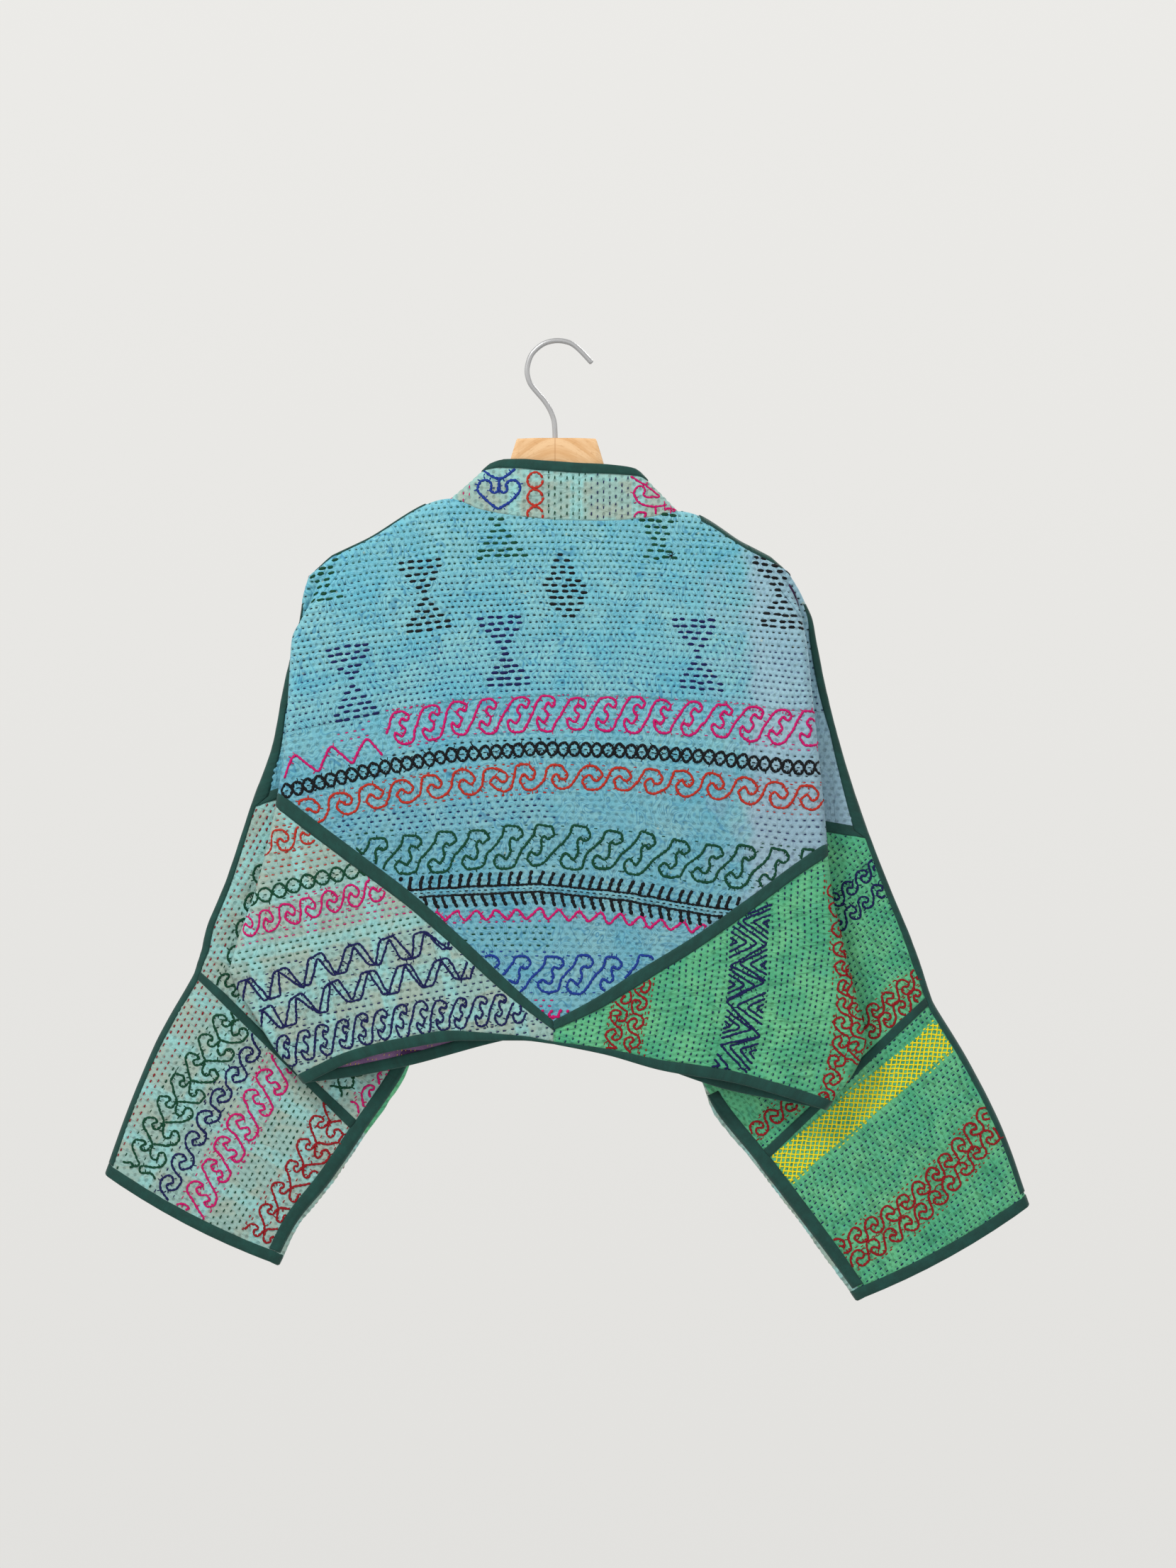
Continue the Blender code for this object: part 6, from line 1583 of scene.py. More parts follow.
put_binding("tape_hem", [g.points[rows, j] for g, j in ring], [g.normals[rows, j] for g, j in ring])

# ---------------------------------------------------------------- collar
NECK = cj[L.neck_col]
for side, lean in (("left", -1.0), ("right", 1.0)):
    shared = unit(np.array([0.5 * lean, 0.0, 0.87]))
    back.normals[0, NECK if side == "left" else LAST - NECK] = shared
    fronts[side].normals[0, NECK] = shared
collar_parts = (
    ([(fronts["left"], j) for j in range(MID, NECK, -1)], COLLAR_FRONT["left"], COLLAR_DEPTH_FRONT, 0),
    ([(back, j) for j in range(NECK, LAST - NECK + 1)], COLLAR_BACK, COLLAR_DEPTH_BACK, 1),
    ([(fronts["right"], j) for j in range(NECK + 1, MID + 1)], COLLAR_FRONT["right"], COLLAR_DEPTH_FRONT, 2),
)
base, base_n, top = [], [], []
for ring, table, depth, kind in collar_parts:
    pts = [g.points[0, j] for g, j in ring]
    if kind == 0:
        pts = pts + [back.points[0, NECK]]
    elif kind == 2:
        pts = [back.points[0, LAST - NECK]] + pts
    run = np.concatenate([[0.0], np.cumsum([np.linalg.norm((b - a)[[0, 2]]) for a, b in zip(pts, pts[1:])])])
    run = run / run[-1]
    for k, (p, f) in enumerate(zip(pts, run)):
        if kind == 0 and k == len(pts) - 1 or kind == 2 and k == 0:
            continue
        share = 1 - f if kind == 0 else f
        u, w = along(table, share)
        across = abs(2 * share - 1) if kind == 1 else 1 - share
        x, z = place(u, w)
        y = depth * max(1 - across**COLLAR_ROUND, 0.0) ** (1 / COLLAR_ROUND)
        base.append(p)
        top.append(np.array([float(x), float(y), float(z)]))
    base_n += [g.normals[0, j] for g, j in ring]
base, top, base_n = np.array(base), np.array(top), np.array(base_n)
high = np.linalg.norm(top - base, axis=1, keepdims=True)
levels = np.linspace(0, 1, 26)
collar_grid = np.array([base + (top - base) * f for f in levels])
collar_cells = np.ones((len(levels) - 1, collar_grid.shape[1] - 1), bool)
collar_n = grid_normals(collar_grid, collar_cells)
facing = 1.0 if (collar_n[0] * base_n).sum() > 0 else -1.0
collar_n = collar_n * facing
blend_in = smooth(levels / 0.25)[:, None, None]
collar_n = unit(base_n[None] * (1 - blend_in) + collar_n * blend_in)
lead = steps_along(collar_grid, 1)
rise = levels[:, None] * high[:, 0][None, :]
collar_bump = 0.36 * np.cos(2 * np.pi * (rise + 0.6 * noise(lead / 11.0, rise / 9.0, 71)) / 5.6) + 0.3 * noise(lead / 14.0, rise / 8.0, 72)
collar_bump *= smooth(levels / 0.15)[:, None] * smooth((high[:, 0][None, :] * (1 - levels[:, None]) - COLLAR_TAPE) / 3.0)
collar_bump *= (smooth((lead - 10) / 8.0) * smooth((lead[:, -1:] - 10 - lead) / 8.0))
names = np.empty(collar_cells.shape, dtype=object)
names[:] = "collar"
collar_drawn = np.stack([CENTRE_U + collar_grid[:, :, 0] / UNIT, HOOK_W - collar_grid[:, :, 2] / UNIT], axis=2)
collar_layer = Panel(collar_grid, collar_cells, np.zeros(collar_grid.shape[:2], bool), facing, collar_bump, collar_drawn, names)
collar_layer.normals = collar_n
drawing = np.stack([(collar_grid[:, :, 0]) / 10, collar_grid[:, :, 2] / 10], axis=2)
put_panel("collar", collar_layer, collar_cells, MINT, (0, 25), kept_lines((0, collar_grid.shape[1] - 1), 3), drawing)
stations = thinned(range(collar_grid.shape[1]))
put_binding(
    "tape_collar", [collar_grid[::-1][:14, k] for k in stations], [collar_n[::-1][:14, k] for k in stations], wide=COLLAR_TAPE, over=3 * GAP,
)
for side, end, step in (("left", 0, 1), ("right", collar_grid.shape[1] - 1, -1)):
    f = fronts[side]
    near_cols = [end + step * k for k in range(0, 7)]
    cols = [MID - k for k in range(0, cj[L.centre_col] - cj[L.centre_col - 1] + 3)]
    low = [k for k in range(25, -1, -1) if rise[k, end] < high[end, 0] - COLLAR_TAPE - 1.0]
    lines = [collar_grid[k, near_cols] for k in thinned(low[:-1])] + [f.points[r, cols] for r in thinned(range(0, ri[L.dia_row - 1] + 1))]
    lines_n = [collar_n[k, near_cols] for k in thinned(low[:-1])] + [f.normals[r, cols] for r in thinned(range(0, ri[L.dia_row - 1] + 1))]
    put_binding("tape_front_" + side, lines, lines_n)


# ---------------------------------------------------------------- hanger
def put_wood():
    outs = np.concatenate([-np.linspace(286, 80, 36), -np.linspace(76, 52, 16), np.linspace(-46, 46, 12), np.linspace(52, 76, 16), np.linspace(80, 286, 36)])
    table = {k: column(HANGER_ARM, ARM_COLUMNS, k) for k in ARM_COLUMNS}
    rings = []
    for out in outs:
        a = abs(out)
        high_w = np.interp(a, table["out"], table["top_w"]) if a < 92 else float(curve(a, table["out"], table["top_w"]))
        low_w = float(curve(a, table["out"], table["bottom_w"]))
        t = float(np.interp(a, table["out"], table["half"]))
        if 286 - a < 5:
            k = np.sqrt(max(1 - ((5 - (286 - a)) / 5) ** 2 * 0.55, 0))
            mid_w = (high_w + low_w) / 2
            high_w, low_w, t = mid_w + (high_w - mid_w) * k, mid_w + (low_w - mid_w) * k, t * k
        x, z1 = place(CENTRE_U + out, high_w)
        z0 = float(place(0.0, low_w)[1])
        z1 = float(z1)
        cut = min(CHAMFER, 0.42 * t)
        ring = []
        for sy, sz, angles in ((1, 1, (90, 68, 45, 22, 0)), (1, -1, (0, -22, -45, -68, -90)), (-1, -1, (-90, -112, -135, -158, -180)), (-1, 1, (180, 158, 135, 112, 90))):
            cy, cz = sy * (t - cut), (z1 - cut) if sz > 0 else (z0 + cut)
            for angle in angles:
                r = np.radians(angle)
                ring.append((float(x), cy + cut * np.cos(r), cz + cut * np.sin(r)))
        rings.append(ring)
    rings = np.array(rings)
    count, across = rings.shape[:2]
    number = np.arange(count * across).reshape(count, across)
    here, follow = number[:-1], number[1:]
    faces = np.stack([here, np.roll(here, -1, 1), np.roll(follow, -1, 1), follow], axis=2).reshape(-1, 4).tolist()
    faces += [list(map(int, number[0][::-1])), list(map(int, number[-1]))]
    verts = rings.reshape(-1, 3)
    volume = sum(float(np.dot(verts[f[0]], np.cross(verts[f[1]], verts[f[2]]))) for f in faces if len(f) == 4)
    piece = add_mesh("hanger_beech", verts, faces if volume > 0 else [f[::-1] for f in faces], [beech_material()])
    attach(piece, "root")
    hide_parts("hanger_wood")


def put_hook():
    path = np.array([[float(place(u, w)[0]), 0.0, float(place(u, w)[1])] for u, w in HOOK])
    run = np.concatenate([[0.0], np.cumsum(np.linalg.norm(np.diff(path, axis=0), axis=1))])
    t = np.linspace(0, run[-1], 120)
    line = np.stack([curve(t, run, path[:, k]) for k in range(3)], axis=1)
    for _ in range(6):
        line[1:-1] = (line[:-2] + 2 * line[1:-1] + line[2:]) / 4
    runs = unit(np.gradient(line, axis=0))
    r = WIRE / 2
    stations = [(line[0], runs[0], r)] + [(p, d, r) for p, d in zip(line[1:-1], runs[1:-1])]
    for angle in (0, 30, 55, 75):
        a = np.radians(angle)
        stations.append((line[-1] + runs[-1] * r * 0.55 * np.sin(a), runs[-1], r * np.cos(a)))
    rings = []
    for p, d, size in stations:
        flat = np.array([-d[2], 0.0, d[0]])
        angles = np.arange(20) * 2 * np.pi / 20
        rings.append(p + (flat[None] * np.cos(angles)[:, None] + np.array([[0.0, 1.0, 0.0]]) * np.sin(angles)[:, None]) * size)
    rings = np.array(rings)
    count, across = rings.shape[:2]
    number = np.arange(count * across).reshape(count, across)
    here, follow = number[:-1], number[1:]
    faces = np.stack([here, np.roll(here, -1, 1), np.roll(follow, -1, 1), follow], axis=2).reshape(-1, 4).tolist()
    faces += [list(map(int, number[0][::-1])), list(map(int, number[-1]))]
    verts = rings.reshape(-1, 3)
    centre = verts.mean(axis=0)
    volume = sum(float(np.dot(verts[f[0]] - centre, np.cross(verts[f[1]] - centre, verts[f[2]] - centre))) for f in faces if len(f) == 4)
    piece = add_mesh("hanger_wire", verts, faces if volume > 0 else [f[::-1] for f in faces], [steel_material()])
    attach(piece, "root")
    piece.data.shade_smooth()
    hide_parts("hanger_hook")


put_wood()
put_hook()


# ---------------------------------------------------------------- hand stitching and embroidery
tree = BVHTree.FromPolygons([tuple(v) for v in np.concatenate(surface["verts"]).tolist()], surface["faces"])
MIRROR = 2 * CENTRE_U


def hit(u, w, front):
    """What a needle from that side meets at a place of the drawing: (point, normal, zone)."""
    x, z = place(u, w)
    far, way = (200.0, -1.0) if front else (-200.0, 1.0)
    p, n, index, _ = tree.ray_cast(Vector((float(x), far, float(z))), Vector((0.0, way, 0.0)))
    if p is None:
        return None
    if n[1] * way > 0:
        n = -n
    return np.array(p), np.array(n), ZONES[surface["zone"][index]]


class Thread:
    """All stitches of one colour on one side, joined in one mesh."""

    def __init__(self):
        self.verts, self.faces, self.count, self.stitches = [], [], 0, []

    def stitch(self, p, n, run, long, wide, high):
        self.stitches.append(np.concatenate([p, n, run, (long, wide, high)]))

    def tube(self, points, normals, wide, high):
        """A three-sided ridge through points on the cloth. wide and high: half width and height at each."""
        p, n = np.array(points), np.array(normals)
        run = unit(np.gradient(p, axis=0))
        side = unit(np.cross(run, n))
        w, h = np.asarray(wide)[:, None], np.asarray(high)[:, None]
        ring = np.stack([p + side * w - n * 0.08, p + side * w * 0.35 + n * h, p - side * w * 0.5 + n * h * 0.9, p - side * w - n * 0.08], axis=1)
        k = ring.shape[1]
        number = self.count + np.arange(len(p) * k).reshape(-1, k)
        here, follow = number[:-1], number[1:]
        self.faces.append(np.stack([here, follow, np.roll(follow, -1, 1), np.roll(here, -1, 1)], axis=2).reshape(-1, 4))
        self.faces.append(number[0][None, :])
        self.faces.append(number[-1][None, ::-1])
        self.verts.append(ring.reshape(-1, 3))
        self.count += ring.shape[0] * k

    def piece(self, name, material):
        if self.stitches:
            s = np.array(self.stitches)
            p, n, run = s[:, 0:3], unit(s[:, 3:6]), s[:, 6:9]
            run = unit(run - n * (run * n).sum(axis=1, keepdims=True))
            side = np.cross(run, n)
            long, wide, high = s[:, 9:10], s[:, 10:11], s[:, 11:12]
            low = p - n * 0.15
            ring = [low - run * long, low - run * long * 0.55 - side * wide, low + run * long * 0.55 - side * wide, low + run * long]
            ring += [low + run * long * 0.55 + side * wide, low - run * long * 0.55 + side * wide, p - run * long * 0.5 + n * high, p + run * long * 0.5 + n * high]
            ring = np.stack(ring, axis=1)
            number = self.count + np.arange(len(s) * 8).reshape(-1, 8)
            pattern = ((0, 1, 6), (1, 2, 7, 6), (2, 3, 7), (3, 4, 7), (4, 5, 6, 7), (5, 0, 6), (5, 4, 3, 2, 1, 0))
            stitch_faces = [f for shape in pattern for f in number[:, list(shape)].tolist()]
            self.verts.append(ring.reshape(-1, 3))
        else:
            stitch_faces = []
        if not self.verts:
            return None
        faces = [f for block in self.faces for f in block.tolist()] + stitch_faces
        made = add_mesh(name, np.concatenate(self.verts), faces, [material])
        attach(made, "root")
        return made


threads = {(colour, front): Thread() for colour in FLOSS for front in (False, True)}
dice = np.random.default_rng(7)

def from_family(key, across, along_):
    """The place in the drawing of a stitch's row and position: the way back from family()."""
    region, mint = key[3:], key[:2] in ("bl", "fr")
    if region in ("top", "topsleeve"):
        return along_, across + arch(along_, across)
    flip = key[:2] in ("fl", "fr")
    if key == "fl_cuff":
        mint, flip = True, False
    if region == "body":
        if mint:
            u = (1.02 * along_ + 0.204 * across + 16) / 1.04
            w = 1.02 * across - 0.2 * (u - 400)
        else:
            w = along_
            u = across - 30.0 * np.clip((w - 1300) / 200.0, 0, 2) ** 2
    elif mint:
        u = across * SLEEVE_AXIS[1] + along_ * SLEEVE_AXIS[0]
        w = -across * SLEEVE_AXIS[0] + along_ * SLEEVE_AXIS[1]
    else:
        u = -across * SEAM_AXIS[1] + along_ * SEAM_AXIS[0]
        w = across * SEAM_AXIS[0] + along_ * SEAM_AXIS[1]
    return (MIRROR - u if flip else u), w


# Embroidered rows. half and pitch in drawing units; a path of one level runs along the back's bent rows from u to u.
BAND_COLUMNS = ("zone", "kind", "colour", "half", "pitch", "path")
TOP_BANDS = (
    ("top", "zigzag", "pink", 15, 50, (1026, 398, 542)),
    ("top", "swave", "pink", 25, 41, (1006, 545, 1168)),
    ("top", "chain", "black", 10, 15.8, (1055, 398, 1168)),
    ("top", "wave", "red", 18, 44, (1095, 420, 1172)),
    ("top", "slant", "deep", 30, 47, (1191, 500, 1172)),
    ("top", "feather", "black", 23, 14.0, (1252, 560, 1060)),
    ("top", "zigzag", "pink", 8, 29, (1288, 600, 1010)),
    ("top", "slant", "blue", 27, 44, (1373, 660, 930)),
    ("top", "feather", "pink", 12, 12, (1436, 735, 840)),
)
LEFT_BANDS = (
    ("body", "wave", "red", 16, 34, ((350, 1196), (420, 1180), (490, 1160))),
    ("body", "chain", "deep", 10.5, 21, ((345, 1270), (391, 1257), (434, 1243), (475, 1234), (530, 1222))),
    ("body", "wave", "pink", 17, 31, ((335, 1310), (376, 1299), (441, 1279), (502, 1262), (575, 1244))),
    ("body", "ribbon", "navy", 18, 52, ((325, 1404), (382, 1390), (466, 1360), (526, 1344), (596, 1331), (680, 1300))),
    ("body", "ribbon", "navy", 18, 52, ((350, 1450), (398, 1432), (448, 1411), (497, 1392), (548, 1383), (600, 1374), (720, 1348))),
    ("body", "swave", "navy", 22, 28, ((390, 1486), (472, 1462), (552, 1442), (599, 1434), (760, 1418))),
    ("sleeve", "swave", "deep", 17, 40, ((378, 1215), (348, 1310), (312, 1420))),
    ("sleeve", "swave", "pink", 15, 34, ((560, 1510), (500, 1570))),
    ("sleeve", "chain", "deep", 12, 24, ((510, 1500), (470, 1545))),
    ("cuff", "double", "deep", 26.8, 35, ((348, 1412), (313, 1463), (273, 1517), (233, 1580), (190, 1656))),
    ("cuff", "wave", "navy", 14, 35.5, ((378, 1444), (343, 1500), (302, 1560), (267, 1620), (249, 1652), (218, 1706))),
    ("cuff", "swave", "pink", 23, 37.5, ((415, 1478), (391, 1514), (351, 1575), (312, 1639), (258, 1728))),
    ("cuff", "double", "crimson", 25, 35.5, ((502, 1525), (454, 1599), (419, 1661), (360, 1757))),
)
RIGHT_BANDS = (
    ("body", "wave", "crimson", 11, 27, ((882, 1392), (860, 1484))),
    ("body", "wave", "crimson", 11, 27, ((909, 1376), (888, 1486))),
    ("body", "chevron", "navy", 26.5, 60, ((1066, 1240), (1056, 1325), (1053, 1389), (1046, 1453), (1022, 1530))),
    ("body", "wave", "crimson", 12, 27, ((1176, 1240), (1187, 1342), (1191, 1402), (1187, 1456), (1175, 1514), (1160, 1560))),
    ("body", "wave", "crimson", 12, 27, ((1196, 1300), (1202, 1350), (1206, 1402), (1210, 1461), (1200, 1500))),
    ("sleeve", "wave", "navy", 11, 25, ((1172, 1278), (1245, 1216))),
    ("sleeve", "wave", "navy", 11, 25, ((1176, 1314), (1262, 1242))),
    ("sleeve", "wave", "crimson", 12, 27, ((1205, 1452), (1315, 1366))),
    ("sleeve", "wave", "crimson", 12, 27, ((1200, 1482), (1325, 1384))),
    ("sleeve", "wave", "crimson", 12, 27, ((1040, 1620), (1130, 1548))),
    ("cuff", "net", "yellow", 23, 9.5, ((1350, 1450), (1088, 1665))),
    ("cuff", "wave", "crimson", 13, 28, ((1402, 1562), (1374, 1598), (1338, 1642), (1302, 1678), (1261, 1713), (1195, 1757), (1165, 1778))),
    ("cuff", "wave", "crimson", 13, 28, ((1408, 1596), (1387, 1621), (1353, 1662), (1318, 1699), (1278, 1734), (1236, 1763), (1190, 1795))),
)
# Figures of larger stitches on the back: stitches in each row.
HOURGLASS = (5, 5, 4, 3, 2, 1, 1, 2, 3, 4, 5, 5)
TRIANGLE = (2, 1, 2, 3, 4, 5, 6)
DIAMOND = (1, 2, 3, 3, 4, 5, 5, 4, 4, 3, 2)
SLANT = (5, 5, 4, 3, 3, 2, 2, 3, 4)
FIGURE_COLUMNS = ("u", "w", "colour", "counts")
FIGURES = (
    (705, 762, "deep", TRIANGLE), (455, 812, "deep", SLANT), (928, 752, "deep", SLANT), (600, 845, "black", HOURGLASS),
    (1098, 842, "black", HOURGLASS), (797, 828, "black", DIAMOND), (498, 966, "navy", HOURGLASS),
    (713, 925, "navy", HOURGLASS), (984, 928, "navy", HOURGLASS),
)
# Colours of the running stitches: the first level below which each one is used.
TOP_ROWS = ((800, "deep"), (902, "black"), (990, "navy"), (1036, "pink"), (1075, "black"), (1118, "red"), (1165, "navy"), (1226, "deep"), (1276, "black"), (1302, "pink"), (1346, "deep"), (1408, "blue"), (1470, "pink"))
MINT_ROWS = ((1245, "red"), (1262, "deep"), (1282, "deep"), (1300, "pink"), (1345, "deep"), (1392, "navy"), (1412, "navy"), (1452, "navy"), (1474, "deep"), (9999, "navy"))
SWAVE = (
    (0.00, -0.20), (0.27, 0.60), (0.42, 0.94), (0.75, 0.97), (0.94, 0.69), (0.83, 0.31), (0.65, 0.63), (0.50, 0.26), (0.69, -0.06),
    (0.52, -0.54), (0.29, -0.17), (0.23, -0.54), (0.38, -0.91), (0.58, -1.00), (0.81, -0.89), (0.92, -0.49),
)
SLANTED = (
    (0.00, -0.25), (0.26, 0.14), (0.45, 0.52), (0.52, 0.96), (0.95, 0.88), (1.07, 0.50), (0.86, 0.24), (0.74, 0.45), (0.65, 0.21),
    (0.71, -0.22), (0.57, -0.58), (0.34, -0.25), (0.19, -0.60), (0.33, -0.96), (0.66, -0.99), (0.83, -0.86),
)
WAVE = (
    (0.00, -0.33), (0.09, 0.35), (0.17, 0.84), (0.40, 0.98), (0.63, 0.84), (0.82, 0.22), (0.70, -0.22), (0.57, -0.20), (0.42, 0.32),
    (0.23, -0.20), (0.38, -0.86), (0.60, -1.00), (0.79, -0.86),
)
OUTER_HOOK = ((0, 0), (0.39, -0.11), (0.43, -0.39), (0.28, -0.52), (0.13, -0.26), (0.04, -0.52), (0.18, -0.92), (0.45, -0.93), (0.74, -0.45))
INNER_HOOK = ((0, 0), (0.28, 0.11), (0.47, 0.27), (0.49, 0.52), (0.33, 0.63), (0.16, 0.49), (0.01, 0.72), (0.15, 1.05), (0.49, 1.02), (0.75, 0.58))
# Single stitches beside each repeat: (along, up) in repeats and halves.
SPOTS = {
    "swave": ((0.98, 1.02), (1.08, -0.92)), "slant": ((0.22, 0.94), (0.04, -0.97)), "wave": ((0.90, 0.98), (0.10, -0.94)),
    "double": ((0.68, 0.05), (0.90, -0.94), (0.83, 1.06)), "ribbon": ((0.04, 0.20), (0.14, 0.95), (0.60, -0.15), (0.53, -0.95)),
}


def path_of(path, front=False):
    """Points along an embroidered row's middle every few units."""
    if len(path) == 3 and not isinstance(path[0], tuple):
        w0, a, b = path
        u = np.arange(a, b + 1, 4.0)
        return np.stack([u, w0 + arch(u, w0)], axis=1)
    pts = np.array(path, float)
    run = np.concatenate([[0.0], np.cumsum(np.hypot(*np.diff(pts, axis=0).T))])
    t = np.arange(0, run[-1] + 1, 4.0)
    if len(pts) == 2:
        return np.stack([np.interp(t, run, pts[:, k]) for k in (0, 1)], axis=1)
    return np.stack([curve(t, run, pts[:, k]) for k in (0, 1)], axis=1)


def on_path(mid, shape):
    """Carries a motif's (along, up) points onto a row's middle line."""
    run = np.concatenate([[0.0], np.cumsum(np.hypot(*np.diff(mid, axis=0).T))])
    d = unit(np.gradient(mid, axis=0))
    s, y = shape[:, 0], shape[:, 1]
    u, w = (np.interp(s, run, mid[:, k]) for k in (0, 1))
    du, dw = (np.interp(s, run, d[:, k]) for k in (0, 1))
    return np.stack([u + dw * y, w - du * y], axis=1), run[-1]


def repeats(shape, half, pitch, length, first=-1):
    """A running motif repeated along a row, each repeat a little different."""
    out = []
    for k in range(first, int(length / pitch) + 1):
        grow = 1 + 0.05 * dice.standard_normal(2).clip(-1.5, 1.5)
        lean = 0.04 * dice.standard_normal()
        for x, y in shape:
            out.append(((k + x * grow[0] + lean * y) * pitch, y * half * grow[1]))
    out = np.array(out)
    return [out[(out[:, 0] > 0) & (out[:, 0] < length)]]


def motif(kind, half, pitch, length):
    """Polylines of (along, up) in drawing units, and single stitches of (along, up, angle)."""
    spots = [((k + x) * pitch, y * half, 0.0) for k in range(int(length / pitch) + 1) for x, y in SPOTS.get(kind, ()) if (k + x) * pitch < length]
    if kind in ("swave", "slant", "wave"):
        return repeats({"swave": SWAVE, "slant": SLANTED, "wave": WAVE}[kind], half, pitch, length), spots
    if kind == "double":
        # A chain of joints, each with a hook to both sides.
        return [repeats(OUTER_HOOK, half, pitch, length)[0], repeats(INNER_HOOK, half, pitch, length)[0]], spots
    if kind == "zigzag":
        return repeats(((0, -1), (0.42, 0.75), (0.55, 1.0), (0.9, -0.8)), half, pitch, length), []
    if kind == "chain":
        s = np.arange(0, length, 3.0)
        wave = np.sin(np.pi * s / pitch)
        y = half * np.sign(wave) * np.abs(wave) ** 0.7
        return [np.stack([s, y], axis=1), np.stack([s, -y], axis=1)], [((k + 0.5) * pitch, 0.0, 0.0) for k in range(int(length / pitch))]
    if kind == "ribbon":
        a = repeats(((0, -1), (0.35, 0.9), (0.72, 1.0)), half, pitch, length)[0]
        b = repeats(((0.25, -1), (0.57, 0.92), (0.88, -0.92)), half, pitch, length)[0]
        return [a, b], spots
    if kind == "chevron":
        lines = repeats(((0, -1), (0.5, 1)), half, pitch, length)
        for k in range(int(length / pitch) + 1):
            for inner in (0.74, 0.46, 0.19):
                for at, way in ((k + 0.5, 1), (k + 1.0, -1)):
                    line = np.array([(at - 0.5 * inner, -way), (at, -way * (1 - 2 * inner)), (at + 0.5 * inner, -way)]) * (pitch, half)
                    if line[-1, 0] < length:
                        lines.append(line)
        return lines, []
    if kind == "net":
        lines = []
        for k in np.arange(-2 * half / pitch, length / pitch + 1):
            for way in (1, -1):
                a, b = max(k * pitch, 0.0), min(k * pitch + 2 * half * 1.15, length)
                if b - a > 4:
                    y = lambda s: way * ((s - k * pitch) / 1.15 - half)
                    lines.append(np.array([(a, y(a)), (b, y(b))]))
        return lines, []
    spine = half * 0.24
    s = np.arange(0, length, 7.0)
    lines = [np.stack([s, np.full(len(s), spine)], axis=1), np.stack([s, np.full(len(s), -spine)], axis=1)]
    for k in range(int(length / pitch)):
        at = (k + 0.3 + 0.08 * dice.standard_normal()) * pitch
        lines.append(np.array([(at, spine), (at + 1.5, half * 0.66), (at + 5.0, half * 1.05)]))
        lines.append(np.array([(at + 4.0, -spine), (at + 6.5, -half * 0.66), (at + 10.5, -half * 1.0)]))
    return lines, [(k * 9.0, 0.0, 0.0) for k in range(int(length / 9.0))]


def sew_line(colour, line, front, allowed, wide=1.25, ticks=True, chord=6.2, bold=False):
    """Back-stitched line through points of the drawing."""
    thread = threads[colour, front]
    run = np.concatenate([[0.0], np.cumsum(np.hypot(*np.diff(line, axis=0).T))])
    if run[-1] < 3:
        return
    count = max(int(round(run[-1] / chord)), 1)
    t = np.linspace(0, run[-1], count + 1)
    corner = np.stack([np.interp(t, run, line[:, k]) for k in (0, 1)], axis=1)
    corner += dice.standard_normal(corner.shape).clip(-2, 2) * 0.42
    fine = np.empty((2 * count + 1, 2))
    fine[::2] = corner
    fine[1::2] = (corner[:-1] + corner[1:]) / 2
    points, normals, kinds = [], [], []

    def flush():
        if len(points) > 1:
            k = np.array(kinds)
            w = wide * np.where(k == 0, 0.66, 1.0) * (1 + 0.08 * dice.standard_normal(len(k)).clip(-2, 2))
            thread.tube(points, normals, w, np.where(k == 0, 0.5, 0.95) * (1.15 if bold else 1.0))
        points.clear(), normals.clear(), kinds.clear()

    for number, (u, w) in enumerate(fine):
        found = hit(u, w, front)
        if found is None or found[2] not in allowed:
            flush()
            continue
        p, n, _ = found
        if points and np.linalg.norm(p - points[-1]) > 6.0:
            flush()
        points.append(p)
        normals.append(n)
        kinds.append(number % 2)
        if ticks and number % 2 == 0 and 0 < number < 2 * count and dice.random() < 0.42:
            d = corner[number // 2] - corner[number // 2 - 1]
            d = d / max(np.hypot(*d), 1e-6)
            way = 1 if dice.random() < 0.5 else -1
            across = np.array([d[1] * UNIT, 0.0, d[0] * UNIT]) * way
            thread.stitch(p + unit(across) * 2.0, n, across, 1.9, 0.6, 0.6)
    flush()


def near_path(u, w, mid):
    """Distance from a row's middle line."""
    best = np.full(u.shape, 1e9)
    for a, b in zip(mid[:-1:2], mid[2::2]) if len(mid) > 3 else zip(mid, mid[1:]):
        d = b - a
        t = np.clip(((u - a[0]) * d[0] + (w - a[1]) * d[1]) / max((d**2).sum(), 1e-9), 0, 1)
        best = np.minimum(best, np.hypot(u - a[0] - t * d[0], w - a[1] - t * d[1]))
    return best


def mirrored(bands):
    return [(z, k, c, h, p, tuple((MIRROR - u, w) for u, w in path[::-1])) for z, k, c, h, p, path in bands]


SWAP = {"pink": "deep", "black": "navy", "red": "pink", "deep": "red", "blue": "deep", "navy": "blue", "yellow": "yellow", "crimson": "crimson"}
EMBROIDERY = [("b", ("bl_top", "br_top"), TOP_BANDS), ("b", ("bl",), LEFT_BANDS), ("b", ("br",), RIGHT_BANDS)]
front_top = [(z, k, SWAP[c], h, p, path) for z, k, c, h, p, path in TOP_BANDS]
front_left = mirrored([b for b in RIGHT_BANDS if b[0] == "body"]) + [b for b in LEFT_BANDS if b[0] == "cuff"]
front_left += [("sleeve", "wave", "crimson", 12, 28, ((240, 1300), (640, 1560))), ("sleeve", "chevron", "navy", 22, 56, ((290, 1200), (680, 1450)))]
front_right = mirrored([b for b in LEFT_BANDS if b[0] != "sleeve"])
front_right += [("sleeve", "swave", "pink", 20, 36, ((960, 1440), (1360, 1170))), ("sleeve", "chain", "navy", 11, 22, ((980, 1490), (1380, 1225)))]
EMBROIDERY += [("f", ("fl_top", "fr_top"), front_top), ("f", ("fl",), front_left), ("f", ("fr",), front_right)]


